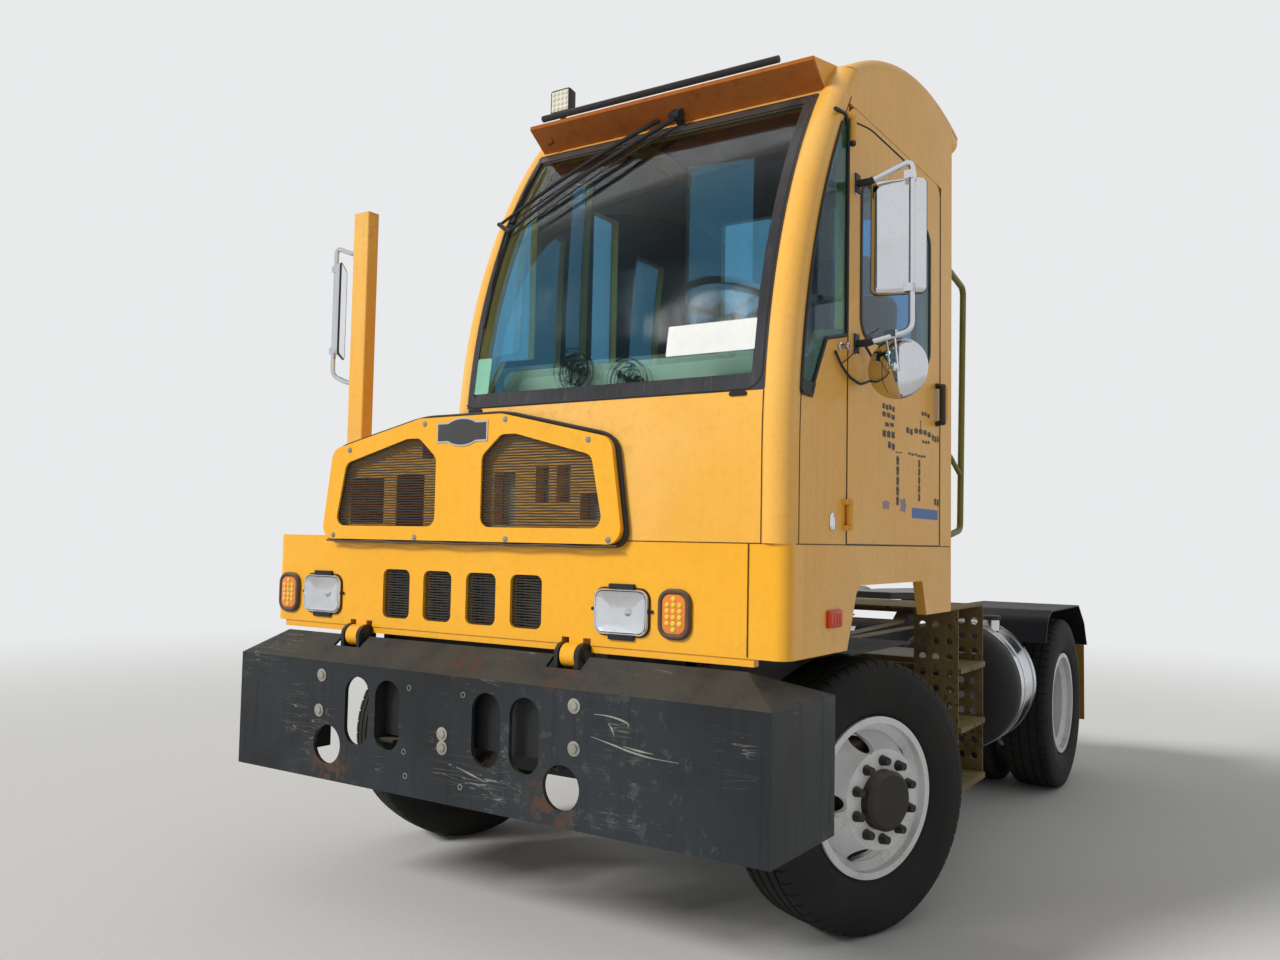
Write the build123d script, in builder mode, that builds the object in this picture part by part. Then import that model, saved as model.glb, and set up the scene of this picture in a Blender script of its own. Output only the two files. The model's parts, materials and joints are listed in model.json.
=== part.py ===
"""Terminal tractor with an offset tilt cab, a lifting fifth wheel and dual rear wheels.

The machine stands on z = 0 with its front axle over y = 0. Its front faces -Y and its left is +X.
All sizes are in millimetres. Each finished piece is moved so that the row's origin is the bottom
centre of the whole machine.
"""
import os
from math import cos, radians, sin, sqrt

from build123d import *

os.makedirs("parts", exist_ok=True)

# Gaps between pieces
SEAT_GAP = 0.3  # at a seat
PIN_GAP = 0.05  # radial, of a pin in its bore
SEAM_GAP = 3  # round a door in its opening
MOVE_GAP = 6  # beside a moving piece
SIDES = (1, -1)  # left, right

# Axles and wheels
WHEELBASE = 2946
TYRE_R = 508
TYRE_HALF = 138
TREAD_HALF = 112
TYRE_WALL = 20
BEAD_HALF = 104
RIM_HALF = 118
RIM_FLANGE_R = 298.5
RIM_SEAT_R = 285.7
RIM_WELL_R = 255
RIM_WALL = 12
DISC_FACE_R = 178
DISC_BORE_R = 110.5
STUD_CIRCLE_R = 142.9
STUD_COUNT = 10
STUD_R = 11
STUD_HOLE_R = 13
NUT_R = 20
HAND_HOLES = 5
HAND_HOLE_R = 33
HAND_HOLE_CIRCLE_R = 214
FRONT_DISC_FACE = 150  # from the rim's centre plane
DUAL_SPACING = 343
REST_STEER = -22.38  # degrees about +Z, the wheels as they are parked
KINGPIN_X = 930
KINGPIN_R = 20
RIM_OFFSET = 120  # from the kingpin to the front rim's centre plane
REAR_OUTER_X = 1082

# Frame
RAIL_OUTER_X = 432
RAIL_H = 260
RAIL_TOP = 940
RAIL_FLANGE = 90
RAIL_T = 10
RAIL_REAR_Y = WHEELBASE + 504
RAIL_BOTTOM = RAIL_TOP - RAIL_H
RAIL_WEB_X = RAIL_OUTER_X - RAIL_T
RAIL_INNER_X = RAIL_OUTER_X - RAIL_FLANGE

# Bumper
BUMPER_FRONT_Y = -1115
BUMPER_HALF = 1219
BUMPER_T = 16
BUMPER_BOTTOM = 502
BUMPER_TOP = 955
BUMPER_RETURN = 468
BEVEL_TOP_Z = 1050
BEVEL_TOP_Y = -995
BEVEL_TOP_X = 1077
BEVEL_T = 10
SLOT_X = (-524, -361, 124, 295)
SLOT_Z = 781
SLOT_LENGTH = 258
SLOT_WIDTH = 130
TOW_HOLES = ((-685, 638), (455, 631))  # x, z
TOW_HOLE_R = 75

# Cab pivot
PIVOT_Y = -985
PIVOT_Z = 1050
PIVOT_X = (-670, 400)
PIVOT_PIN_R = 22
PIVOT_BOSS_R = 42
PIVOT_ARM_W = 60
LUG_T = 16
LUG_BASE_TOP = 965

# Cab shell
CAB_FRONT_Y = -973
CAB_REAR_Y = 675
CAB_LEFT_X = 1199
CAB_RIGHT_X = -200
CAB_FLOOR_Z = 1446
FLOOR_T = 30
WALL_T = 40
PILLAR_T = 55
ROOF_T = 40
CORNER_R = 45
BEND_Z = 1750  # where the upright front starts to lean back
FRONT_ARC_R = 2200
ROOF_ARC_R = 1589
ROOF_ARC_CENTRE = (350, 1787)  # y, z
ROOF_LIP_Y = 760

# Lower body
BODY_HALF = CAB_LEFT_X
CLIP_BOTTOM = 1087
CLIP_T = 40
CLIP_RETURN = 110
LIP_BOTTOM = 1062
LIP_LEFT_X = 1082
LIP_RIGHT_X = -1136
SKIRT_REAR_Z = 1167
ARCH_TOP_Z = 1305
LOWER_SLOT_X = (-480, -262, -43, 172)
LOWER_SLOT_Z = 1222
LOWER_SLOT_W = 145
LOWER_SLOT_H = 191
LOWER_SLOT_R = 28
SHELF_INNER_X = -879
SHELF_T = 30

# Raised grille and hood
GRILLE_X = -134
GRILLE_BOTTOM = 1433
GRILLE_HALF = 745
GRILLE_SHOULDER_HALF = 690
GRILLE_SHOULDER_Z = 1795
GRILLE_TOP_HALF = 205
GRILLE_TOP_Z = 1900
GRILLE_PROUD = 40
GRILLE_WALL = 8
MESH_PITCH = 30
MESH_BAR = 12

# Windscreen
SCREEN_RIGHT_X = -166
SCREEN_LEFT_X = 1097
SCREEN_BOTTOM = 1935
SCREEN_TOP = 3025
SCREEN_CORNER_R = 60
GLASS_T = 6
GLASS_DEPTH = 3
GLASS_LAND = 26

# Left door
DOOR_FRONT_Y = -515
DOOR_REAR_Y = 510
DOOR_TOP_Z = 2990
DOOR_WINDOW = (-400, 376, 2190, 2760)  # y low, y high, z low, z high

# Rear door
REAR_DOOR_RIGHT_X = 545
REAR_DOOR_LEFT_X = 1135
REAR_DOOR_BOTTOM = 1440
REAR_DOOR_TOP = 3060
REAR_DOOR_T = 30

# Boom and fifth wheel
BOOM_PIVOT_Y = 1520
BOOM_PIVOT_Z = 880
BOOM_SHAFT_R = 30
BOOM_X = 280
BOOM_W = 80
BOOM_H = 110
FIFTH_Y = 2800
FIFTH_Z = 1050
FIFTH_TOP = 1155
FIFTH_T = 42
KINGPIN_BORE_R = 25.6
LIFT_X = 160
LIFT_BASE = (2050, 540)  # y, z
LIFT_TIP = (2140, 920)  # y, z
LIFT_PIN_R = 20
LIFT_BARREL_R = 50
LIFT_ROD_R = 32

HUB_Z = TYRE_R
FENDER_TOP_Z = 2 * TYRE_R + 69
FENDER_REAR_Y = WHEELBASE + TYRE_R + 166

finished = []  # every finished piece


def front_plane(y):
    """Upright plane across the machine at y. Its local axes are x and z, and it extrudes forward."""
    return Plane.XZ.offset(-y)


def side_plane(x):
    """Upright plane along the machine at x. Its local axes are y and z, and it extrudes to +X."""
    return Plane.YZ.offset(x)


def level_plane(z):
    """Level plane at z. It extrudes upwards."""
    return Plane.XY.offset(z)


def save(piece, name):
    """Label a finished piece and keep it for the export."""
    piece.part.label = name
    finished.append(piece.part)


def arc_about(centre, start, end):
    """Draw the shorter arc about a centre from start to end."""
    middle = Vector(*centre)
    first = Vector(*start) - middle
    last = Vector(*end) - middle
    way = (first.normalized() + last.normalized()).normalized()
    return ThreePointArc(start, middle + way * first.length, end)


def box(x_range, y_range, z_range, mode=Mode.ADD):
    """Box between two corners, given by its range along each axis."""
    low, high = (Vector(*corner) for corner in zip(x_range, y_range, z_range))
    size = high - low
    with Locations((low + high) / 2):
        Box(size.X, size.Y, size.Z, mode=mode)


def rod(start, end, radius, mode=Mode.ADD):
    """Round bar between two points."""
    way = Vector(*end) - Vector(*start)
    with BuildSketch(Plane(origin=start, z_dir=way)) as section:
        Circle(radius)
    extrude(section.sketch, amount=way.length, mode=mode)


def bent_tube(points, bend_r, radius):
    """Round tube along straight runs joined by bends of one radius."""
    with BuildLine() as path:
        FilletPolyline(*points, radius=bend_r)
    with BuildSketch(Plane(origin=path.line @ 0, z_dir=path.line % 0)) as section:
        Circle(radius)
    sweep(section.sketch, path=path.line)


# Curves of the cab's side view
FRONT_CENTRE = (CAB_FRONT_Y + FRONT_ARC_R, BEND_Z)


def front_y(z, depth=0):
    """Where the cab's front surface, or a surface at a depth inside it, lies at a height."""
    if z <= BEND_Z:
        return CAB_FRONT_Y + depth
    return FRONT_CENTRE[0] - sqrt((FRONT_ARC_R - depth) ** 2 - (z - BEND_Z) ** 2)


def roof_z(y, depth=0):
    """Where the roof's outer surface, or a surface at a depth inside it, lies at y."""
    return ROOF_ARC_CENTRE[1] + sqrt((ROOF_ARC_R - depth) ** 2 - (y - ROOF_ARC_CENTRE[0]) ** 2)


def brow(front_depth, roof_depth):
    """Point where the front arc and the roof arc meet, each at its depth."""
    gap = Vector(*ROOF_ARC_CENTRE) - Vector(*FRONT_CENTRE)
    r_front = FRONT_ARC_R - front_depth
    r_roof = ROOF_ARC_R - roof_depth
    along = (r_front**2 - r_roof**2 + gap.length**2) / (2 * gap.length)
    across = sqrt(r_front**2 - along**2)
    unit = gap.normalized()
    foot = Vector(*FRONT_CENTRE) + unit * along
    first = foot + Vector(-unit.Y, unit.X) * across
    second = foot - Vector(-unit.Y, unit.X) * across
    best = max((first, second), key=lambda point: point.Y)
    return (best.X, best.Y)


def cab_side_outline(front_depth, roof_depth, bottom, rear):
    """Closed side view of the cab between a bottom, a rear and the two arcs at their depths."""
    corner = brow(front_depth, roof_depth)
    bend = (CAB_FRONT_Y + front_depth, BEND_Z)
    top_rear = (rear, roof_z(rear, roof_depth))
    with BuildLine() as outline:
        Polyline(bend, (CAB_FRONT_Y + front_depth, bottom), (rear, bottom), top_rear)
        arc_about(ROOF_ARC_CENTRE, top_rear, corner)
        arc_about(FRONT_CENTRE, corner, bend)
    make_face(outline.edges())


# Chassis frame: two channel rails
with BuildPart() as frame_rails:
    for side in SIDES:
        with BuildSketch(front_plane(BUMPER_FRONT_Y + BUMPER_T)):
            with BuildLine():
                Polyline(
                    (side * RAIL_OUTER_X, RAIL_BOTTOM),
                    (side * RAIL_INNER_X, RAIL_BOTTOM),
                    (side * RAIL_INNER_X, RAIL_BOTTOM + RAIL_T),
                    (side * RAIL_WEB_X, RAIL_BOTTOM + RAIL_T),
                    (side * RAIL_WEB_X, RAIL_TOP - RAIL_T),
                    (side * RAIL_INNER_X, RAIL_TOP - RAIL_T),
                    (side * RAIL_INNER_X, RAIL_TOP),
                    (side * RAIL_OUTER_X, RAIL_TOP),
                    close=True,
                )
            make_face()
        extrude(amount=BUMPER_FRONT_Y + BUMPER_T - RAIL_REAR_Y)
save(frame_rails, "frame_rails")

# Engine: one plain block between the rails
ENGINE_HALF = 330
ENGINE_FRONT_Y = -420
ENGINE_REAR_Y = 620
ENGINE_BOTTOM = 620
ENGINE_TOP = 1330
with BuildPart() as engine:
    box((-ENGINE_HALF, ENGINE_HALF), (ENGINE_FRONT_Y, ENGINE_REAR_Y), (ENGINE_BOTTOM, ENGINE_TOP))
    chamfer(engine.edges().filter_by(Axis.Y).group_by(Axis.Z)[-1], 60)
save(engine, "engine")

# Crossmembers: plates between the webs, engine feet, cab rest, cab pivot lugs and cylinder brackets
CLEVIS_GAP = MOVE_GAP
CROSSMEMBERS = (  # y, thickness, z low, z high
    (-1030, 60, 700, 900),
    (1010, 60, 700, 900),
    (1960, 40, 695, 790),
    (RAIL_REAR_Y - 30, 20, 700, 900),
)
ENGINE_FEET_Y = (-250, 450)
CAB_REST_Y = 590
CAB_REST_X = 387
LIFT_BRACKET_LINE = [  # y, z about the cylinder's base pin
    (LIFT_BASE[0] + y, LIFT_BASE[1] + z)
    for y, z in ((-90, 240), (-90, 100), (-40, -50), (40, -50), (40, 60), (-70, 240))
]
with BuildPart() as crossmembers:
    for y, thick, low, high in CROSSMEMBERS:
        box((-RAIL_WEB_X, RAIL_WEB_X), (y - thick / 2, y + thick / 2), (low, high))
    for y in ENGINE_FEET_Y:
        for side in SIDES:
            inner, outer = sorted((side * ENGINE_HALF, side * RAIL_WEB_X))
            box((inner, outer), (y - 50, y + 50), (820, 870))
    # Portal that the cab's rear rests on
    rest_y = (CAB_REST_Y - 30, CAB_REST_Y + 30)
    for side in SIDES:
        box((side * CAB_REST_X - 30, side * CAB_REST_X + 30), rest_y, (RAIL_TOP, 1400))
    box((-CAB_REST_X - 30, CAB_REST_X + 30), rest_y, (1370, CAB_FLOOR_Z - MOVE_GAP))
    # Lugs with the cab's pivot pins, on one cross plate over the rails
    box(
        (min(PIVOT_X) - 90, max(PIVOT_X) + 90),
        (PIVOT_Y - 60, PIVOT_Y + 60),
        (RAIL_TOP, LUG_BASE_TOP),
    )
    for x in PIVOT_X:
        for side in SIDES:
            inner = x + side * (PIVOT_ARM_W / 2 + MOVE_GAP)
            low = min(inner, inner + side * LUG_T)
            with BuildSketch(side_plane(low)):
                with Locations((PIVOT_Y, PIVOT_Z)):
                    Circle(PIVOT_BOSS_R + 3)
                with Locations((PIVOT_Y, (LUG_BASE_TOP + PIVOT_Z) / 2)):
                    Rectangle(2 * PIVOT_BOSS_R + 6, PIVOT_Z - LUG_BASE_TOP)
            extrude(amount=LUG_T)
        reach = PIVOT_ARM_W / 2 + MOVE_GAP + LUG_T + 8
        rod((x - reach, PIVOT_Y, PIVOT_Z), (x + reach, PIVOT_Y, PIVOT_Z), PIVOT_PIN_R)
    # Shaft of the boom
    rod((-RAIL_WEB_X, BOOM_PIVOT_Y, BOOM_PIVOT_Z), (RAIL_WEB_X, BOOM_PIVOT_Y, BOOM_PIVOT_Z), BOOM_SHAFT_R)
    # Brackets with the cylinders' base pins
    for side in SIDES:
        for cheek in SIDES:
            inner = side * LIFT_X + cheek * (LIFT_BARREL_R + CLEVIS_GAP)
            low = min(inner, inner + cheek * 12)
            with BuildSketch(side_plane(low)):
                with BuildLine():
                    Polyline(*LIFT_BRACKET_LINE, close=True)
                make_face()
            extrude(amount=12)
        reach = LIFT_BARREL_R + CLEVIS_GAP + 12
        rod(
            (side * LIFT_X - reach, *LIFT_BASE),
            (side * LIFT_X + reach, *LIFT_BASE),
            LIFT_PIN_R,
        )
save(crossmembers, "crossmembers")

# Bumper: heavy face plate with side returns and a bevelled, mitred top


def bevel_plate(corners):
    """Flat plate through its corners, with its thickness below them."""
    ends = [Vector(*corner) for corner in corners]
    normal = (ends[1] - ends[0]).cross(ends[2] - ends[0])
    if normal.Z < 0:
        normal = -normal
    plane = Plane(origin=ends[0], x_dir=ends[1] - ends[0], z_dir=normal)
    with BuildSketch(plane) as outline:
        with BuildLine():
            Polyline(*[plane.to_local_coords(end) for end in ends], close=True)
        make_face()
    extrude(outline.sketch, amount=-BEVEL_T)


BUMPER_REAR_Y = BUMPER_FRONT_Y + BUMPER_RETURN
LUG_NOTCH_HALF = 75
LUG_NOTCH_Y = -1045
with BuildPart() as bumper:
    box((-BUMPER_HALF, BUMPER_HALF), (BUMPER_FRONT_Y, BUMPER_FRONT_Y + BUMPER_T), (BUMPER_BOTTOM, BUMPER_TOP))
    with BuildSketch(front_plane(BUMPER_FRONT_Y)):
        with Locations(*[(x, SLOT_Z) for x in SLOT_X]):
            SlotOverall(SLOT_LENGTH, SLOT_WIDTH, rotation=90)
        with Locations(*TOW_HOLES):
            Circle(TOW_HOLE_R)
    extrude(amount=-BUMPER_T, mode=Mode.SUBTRACT)
    bevel_plate(
        (
            (-BUMPER_HALF, BUMPER_FRONT_Y, BUMPER_TOP),
            (BUMPER_HALF, BUMPER_FRONT_Y, BUMPER_TOP),
            (BEVEL_TOP_X, BEVEL_TOP_Y, BEVEL_TOP_Z),
            (-BEVEL_TOP_X, BEVEL_TOP_Y, BEVEL_TOP_Z),
        )
    )
    for side in SIDES:
        x_low, x_high = sorted((side * BUMPER_HALF, side * (BUMPER_HALF - BUMPER_T)))
        box((x_low, x_high), (BUMPER_FRONT_Y + BUMPER_T, BUMPER_REAR_Y), (BUMPER_BOTTOM, BUMPER_TOP))
        bevel_plate(
            (
                (side * BUMPER_HALF, BUMPER_FRONT_Y, BUMPER_TOP),
                (side * BUMPER_HALF, BUMPER_REAR_Y, BUMPER_TOP),
                (side * BEVEL_TOP_X, BEVEL_TOP_Y, BEVEL_TOP_Z),
            )
        )
    for x in PIVOT_X:
        notch_x = (x - LUG_NOTCH_HALF, x + LUG_NOTCH_HALF)
        box(notch_x, (LUG_NOTCH_Y, BEVEL_TOP_Y + 30), (960, 1100), Mode.SUBTRACT)
save(bumper, "bumper")

# Front axle beam with its kingpin eyes and spring pads
AXLE_EYE_HALF = 65
AXLE_EYE_R = 45
AXLE_HALF_Y = 40
SPRING_X = 387
SPRING_PAD_TOP = 500
with BuildPart() as front_axle:
    with BuildSketch(front_plane(AXLE_HALF_Y)):
        with BuildLine():
            Polyline(
                (KINGPIN_X, HUB_Z - 50),
                (760, HUB_Z - 55),
                (640, 372),
                (-640, 372),
                (-760, HUB_Z - 55),
                (-KINGPIN_X, HUB_Z - 50),
                (-KINGPIN_X, HUB_Z + 50),
                (-740, HUB_Z + 50),
                (-600, 470),
                (600, 470),
                (740, HUB_Z + 50),
                (KINGPIN_X, HUB_Z + 50),
                close=True,
            )
        make_face()
    extrude(amount=2 * AXLE_HALF_Y)
    for side in SIDES:
        box((side * SPRING_X - 45, side * SPRING_X + 45), (-75, 75), (440, SPRING_PAD_TOP))
        with BuildSketch(level_plane(HUB_Z - AXLE_EYE_HALF)):
            with Locations((side * KINGPIN_X, 0)):
                Circle(AXLE_EYE_R)
        extrude(amount=2 * AXLE_EYE_HALF)
        with BuildSketch(level_plane(HUB_Z - AXLE_EYE_HALF)):
            with Locations((side * KINGPIN_X, 0)):
                Circle(KINGPIN_R + PIN_GAP)
        extrude(amount=2 * AXLE_EYE_HALF, mode=Mode.SUBTRACT)
save(front_axle, "front_axle")

# Leaf springs: three leaves each, with hangers under the rails
SPRING_W = 75
LEAF_T = 14
SPRING_END_Z = 630
LEAVES = (570, 430, 290)  # half length, from the top leaf down
with BuildPart() as leaf_springs:
    for side in SIDES:
        with BuildSketch(side_plane(side * SPRING_X - SPRING_W / 2)):
            for index, half in enumerate(LEAVES):
                low = SPRING_PAD_TOP + SEAT_GAP + (len(LEAVES) - 1 - index) * LEAF_T
                rise = (SPRING_END_Z - SPRING_PAD_TOP) * (half / LEAVES[0]) ** 2
                with BuildLine():
                    ThreePointArc((-half, low + rise), (0, low), (half, low + rise))
                    Line((half, low + rise), (half, low + rise + LEAF_T))
                    high = low + LEAF_T
                    ThreePointArc((half, high + rise), (0, high), (-half, high + rise))
                    Line((-half, high + rise), (-half, low + rise))
                make_face()
            for end in SIDES:
                with Locations((end * LEAVES[0], (RAIL_BOTTOM + SPRING_END_Z - 10) / 2)):
                    Rectangle(64, RAIL_BOTTOM - SPRING_END_Z + 10)
        extrude(amount=SPRING_W)
save(leaf_springs, "leaf_springs")

# Rear axle: tube, differential, spindles and the saddles that seat it under the rails
AXLE_TUBE_R = 65
REAR_SPINDLE_R = 60
REAR_SPINDLE_X = 1055
REAR_TUBE_X = 640
DIFF_R = 185
DIFF_HALF = 130
with BuildPart() as rear_axle:
    rod((-REAR_TUBE_X, WHEELBASE, HUB_Z), (REAR_TUBE_X, WHEELBASE, HUB_Z), AXLE_TUBE_R)
    rod((-REAR_SPINDLE_X, WHEELBASE, HUB_Z), (REAR_SPINDLE_X, WHEELBASE, HUB_Z), REAR_SPINDLE_R)
    rod((-DIFF_HALF, WHEELBASE, HUB_Z), (DIFF_HALF, WHEELBASE, HUB_Z), DIFF_R)
    fillet(rear_axle.edges().filter_by(GeomType.CIRCLE).filter_by(lambda e: abs(e.radius - DIFF_R) < 1), 60)
    rod((0, WHEELBASE - DIFF_R + 20, HUB_Z), (0, WHEELBASE - 330, HUB_Z + 20), 90)
    for side in SIDES:
        x_low, x_high = sorted((side * RAIL_INNER_X, side * RAIL_OUTER_X))
        box((x_low, x_high), (WHEELBASE - 110, WHEELBASE + 110), (HUB_Z, RAIL_BOTTOM))
save(rear_axle, "rear_axle")

# Radiator across the rails, behind the lower slots
with BuildPart() as radiator:
    box((-600, 440), (-915, -840), (RAIL_TOP, 1400))
    with BuildSketch(front_plane(-915)):
        with Locations((-80, 1170)):
            Rectangle(980, 360)
    extrude(amount=-14, mode=Mode.SUBTRACT)
save(radiator, "radiator")

# Fuel tank: round, with domed ends, two straps and its brackets to the left rail
TANK_X = 828
TANK_Z = 680
TANK_R = 348
TANK_FRONT_Y = 1951
TANK_REAR_Y = WHEELBASE - TYRE_R - 38
TANK_EDGE_R = 40
STRAP_Y = (TANK_FRONT_Y + 79, TANK_REAR_Y - 80)
STRAP_HALF = 22
FILLER_Y = sum(STRAP_Y) / 2
FILLER_R = 45
with BuildPart() as fuel_tank:
    rod((TANK_X, TANK_FRONT_Y, TANK_Z), (TANK_X, TANK_REAR_Y, TANK_Z), TANK_R)
    fillet(fuel_tank.edges().filter_by(GeomType.CIRCLE), TANK_EDGE_R)
    for y in STRAP_Y:
        strap_y = (y - STRAP_HALF, y + STRAP_HALF)
        rod((TANK_X, strap_y[0], TANK_Z), (TANK_X, strap_y[1], TANK_Z), TANK_R + 5)
        box((RAIL_OUTER_X, TANK_X - 300), strap_y, (RAIL_BOTTOM + 40, RAIL_BOTTOM + 120))
    rod((TANK_X + 150, FILLER_Y, TANK_Z + 300), (TANK_X + 150, FILLER_Y, TANK_Z + 360), FILLER_R)
save(fuel_tank, "fuel_tank")

# Battery box on the left and hydraulic tank on the right, hung on the rails
SIDE_BOXES = (  # x low, x high, y low, y high, z low, z high
    (RAIL_OUTER_X, 1000, 1300, 1850, 480, 880),
    (-1080, -RAIL_OUTER_X, 1250, 1900, 480, 930),
)
with BuildPart() as side_boxes:
    for x_low, x_high, y_low, y_high, z_low, z_high in SIDE_BOXES:
        box((x_low, x_high), (y_low, y_high), (z_low, z_high))
    fillet(side_boxes.edges().filter_by(Axis.Y), 25)
save(side_boxes, "side_boxes")

# Access ladder behind the left skirt: two stringers, pierced, with treads between them
LADDER_FRONT_Y = 780
LADDER_REAR_Y = 1180
LADDER_IN_X = 1000
LADDER_OUT_X = 1200
DECK_Z = 1175
DECK_T = 10
TREADS = (395, 650, 910)  # z of each tread's top
with BuildPart() as access_ladder:
    for y in (LADDER_FRONT_Y, LADDER_REAR_Y - 8):
        box((LADDER_IN_X, LADDER_OUT_X), (y, y + 8), (370, DECK_Z - DECK_T))
        with BuildSketch(front_plane(y)):
            with Locations((1100, 780)):
                with GridLocations(60, 70, 3, 10):
                    Circle(16)
        extrude(amount=-8, mode=Mode.SUBTRACT)
    for z in TREADS:
        box((LADDER_IN_X, LADDER_OUT_X + 12), (LADDER_FRONT_Y + 8, LADDER_REAR_Y - 8), (z - 25, z))
    for y in (LADDER_FRONT_Y + 40, LADDER_REAR_Y - 90):
        box((RAIL_OUTER_X, LADDER_IN_X), (y, y + 40), (860, 910))
save(access_ladder, "access_ladder")

# Deck behind the cab, on four posts over the rails
DECK_FRONT_Y = 692
DECK_REAR_Y = 1240
DECK_HALF = 1180
with BuildPart() as rear_deck:
    box((-DECK_HALF, DECK_HALF), (DECK_FRONT_Y, DECK_REAR_Y), (DECK_Z - DECK_T, DECK_Z))
    box((-DECK_HALF, DECK_HALF), (DECK_REAR_Y - 8, DECK_REAR_Y), (DECK_Z - 60, DECK_Z))
    for side in SIDES:
        for y in (900, 1180):
            box(
                (side * CAB_REST_X - 25, side * CAB_REST_X + 25),
                (y - 25, y + 25),
                (RAIL_TOP, DECK_Z - DECK_T),
            )
save(rear_deck, "rear_deck")

# Fenders: plates over the front wheels and curved covers over the twin wheels, on the rails
FRONT_PLATE_Z = 2 * TYRE_R + 34
FENDER_IN_X = 620
FENDER_OUT_X = 1219
FENDER_T = 8
FENDER_TUBE_Z = 900
FENDER_BRACKETS = (  # y, top z
    (WHEELBASE - TYRE_R + 92, FENDER_TOP_Z - 35),
    (WHEELBASE + TYRE_R - 39, FENDER_TOP_Z - 70),
)
FENDER_LINE = (  # y, z of the outer surface
    (WHEELBASE - TYRE_R - 26, FENDER_TOP_Z - 180),
    (WHEELBASE - TYRE_R + 32, FENDER_TOP_Z - 45),
    (WHEELBASE - TYRE_R + 137, FENDER_TOP_Z),
    (WHEELBASE + TYRE_R - 104, FENDER_TOP_Z),
    (WHEELBASE + TYRE_R + 76, FENDER_TOP_Z - 125),
    (FENDER_REAR_Y, FENDER_TOP_Z - 275),
)
with BuildPart() as fenders:
    for side in SIDES:
        x_low, x_high = sorted((side * 560, side * 1140))
        box((x_low, x_high), (-330, 330), (FRONT_PLATE_Z, FRONT_PLATE_Z + 6))
        for y in (-200, 200):
            x_low, x_high = sorted((side * 440, side * 580))
            box((x_low, x_high), (y - 20, y + 20), (FRONT_PLATE_Z - 30, FRONT_PLATE_Z))
            x_low, x_high = sorted((side * 400, side * 445))
            box((x_low, x_high), (y - 20, y + 20), (RAIL_TOP, FRONT_PLATE_Z))
        with BuildSketch(side_plane(min(side * FENDER_IN_X, side * FENDER_OUT_X))) as section:
            with BuildLine() as line:
                FilletPolyline(*FENDER_LINE, radius=70)
            trace(line.line, 2 * FENDER_T)
            with BuildLine() as cover:
                Line(FENDER_LINE[0], FENDER_LINE[-1])
                add(line.line)
            make_face(cover.edges(), mode=Mode.INTERSECT)
        extrude(section.sketch, amount=FENDER_OUT_X - FENDER_IN_X)
        for y, top in FENDER_BRACKETS:
            x_low, x_high = sorted((side * FENDER_IN_X, side * (FENDER_IN_X + FENDER_T)))
            box((x_low, x_high), (y - 28, y + 28), (FENDER_TUBE_Z - 30, top))
            rod((side * RAIL_OUTER_X, y, FENDER_TUBE_Z), (side * FENDER_IN_X, y, FENDER_TUBE_Z), 22)
save(fenders, "fenders")

# Mudflaps on the rear ends of the fenders
FLAP_X = (650, 1200)
FLAP_BOTTOM = 320
with BuildPart() as mudflaps:
    for side in SIDES:
        flap_z = (FLAP_BOTTOM, FENDER_LINE[-1][1] - SEAT_GAP)
        box(sorted(side * x for x in FLAP_X), (FENDER_REAR_Y - FENDER_T, FENDER_REAR_Y), flap_z)
save(mudflaps, "mudflaps")

# Tail lamps on the rear crossmember
TAIL_X = 300
TAIL_Z = 800
TAIL_R = 55
with BuildPart() as tail_lamps:
    for side in SIDES:
        rod((side * TAIL_X, RAIL_REAR_Y - 20, TAIL_Z), (side * TAIL_X, RAIL_REAR_Y + 25, TAIL_Z), TAIL_R)
save(tail_lamps, "tail_lamps")

# Steering knuckles


def outboard(side, turn):
    """Direction of a front wheel's axle, away from the machine, at a steering angle."""
    return Vector(side * cos(radians(turn)), side * sin(radians(turn)), 0)


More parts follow.
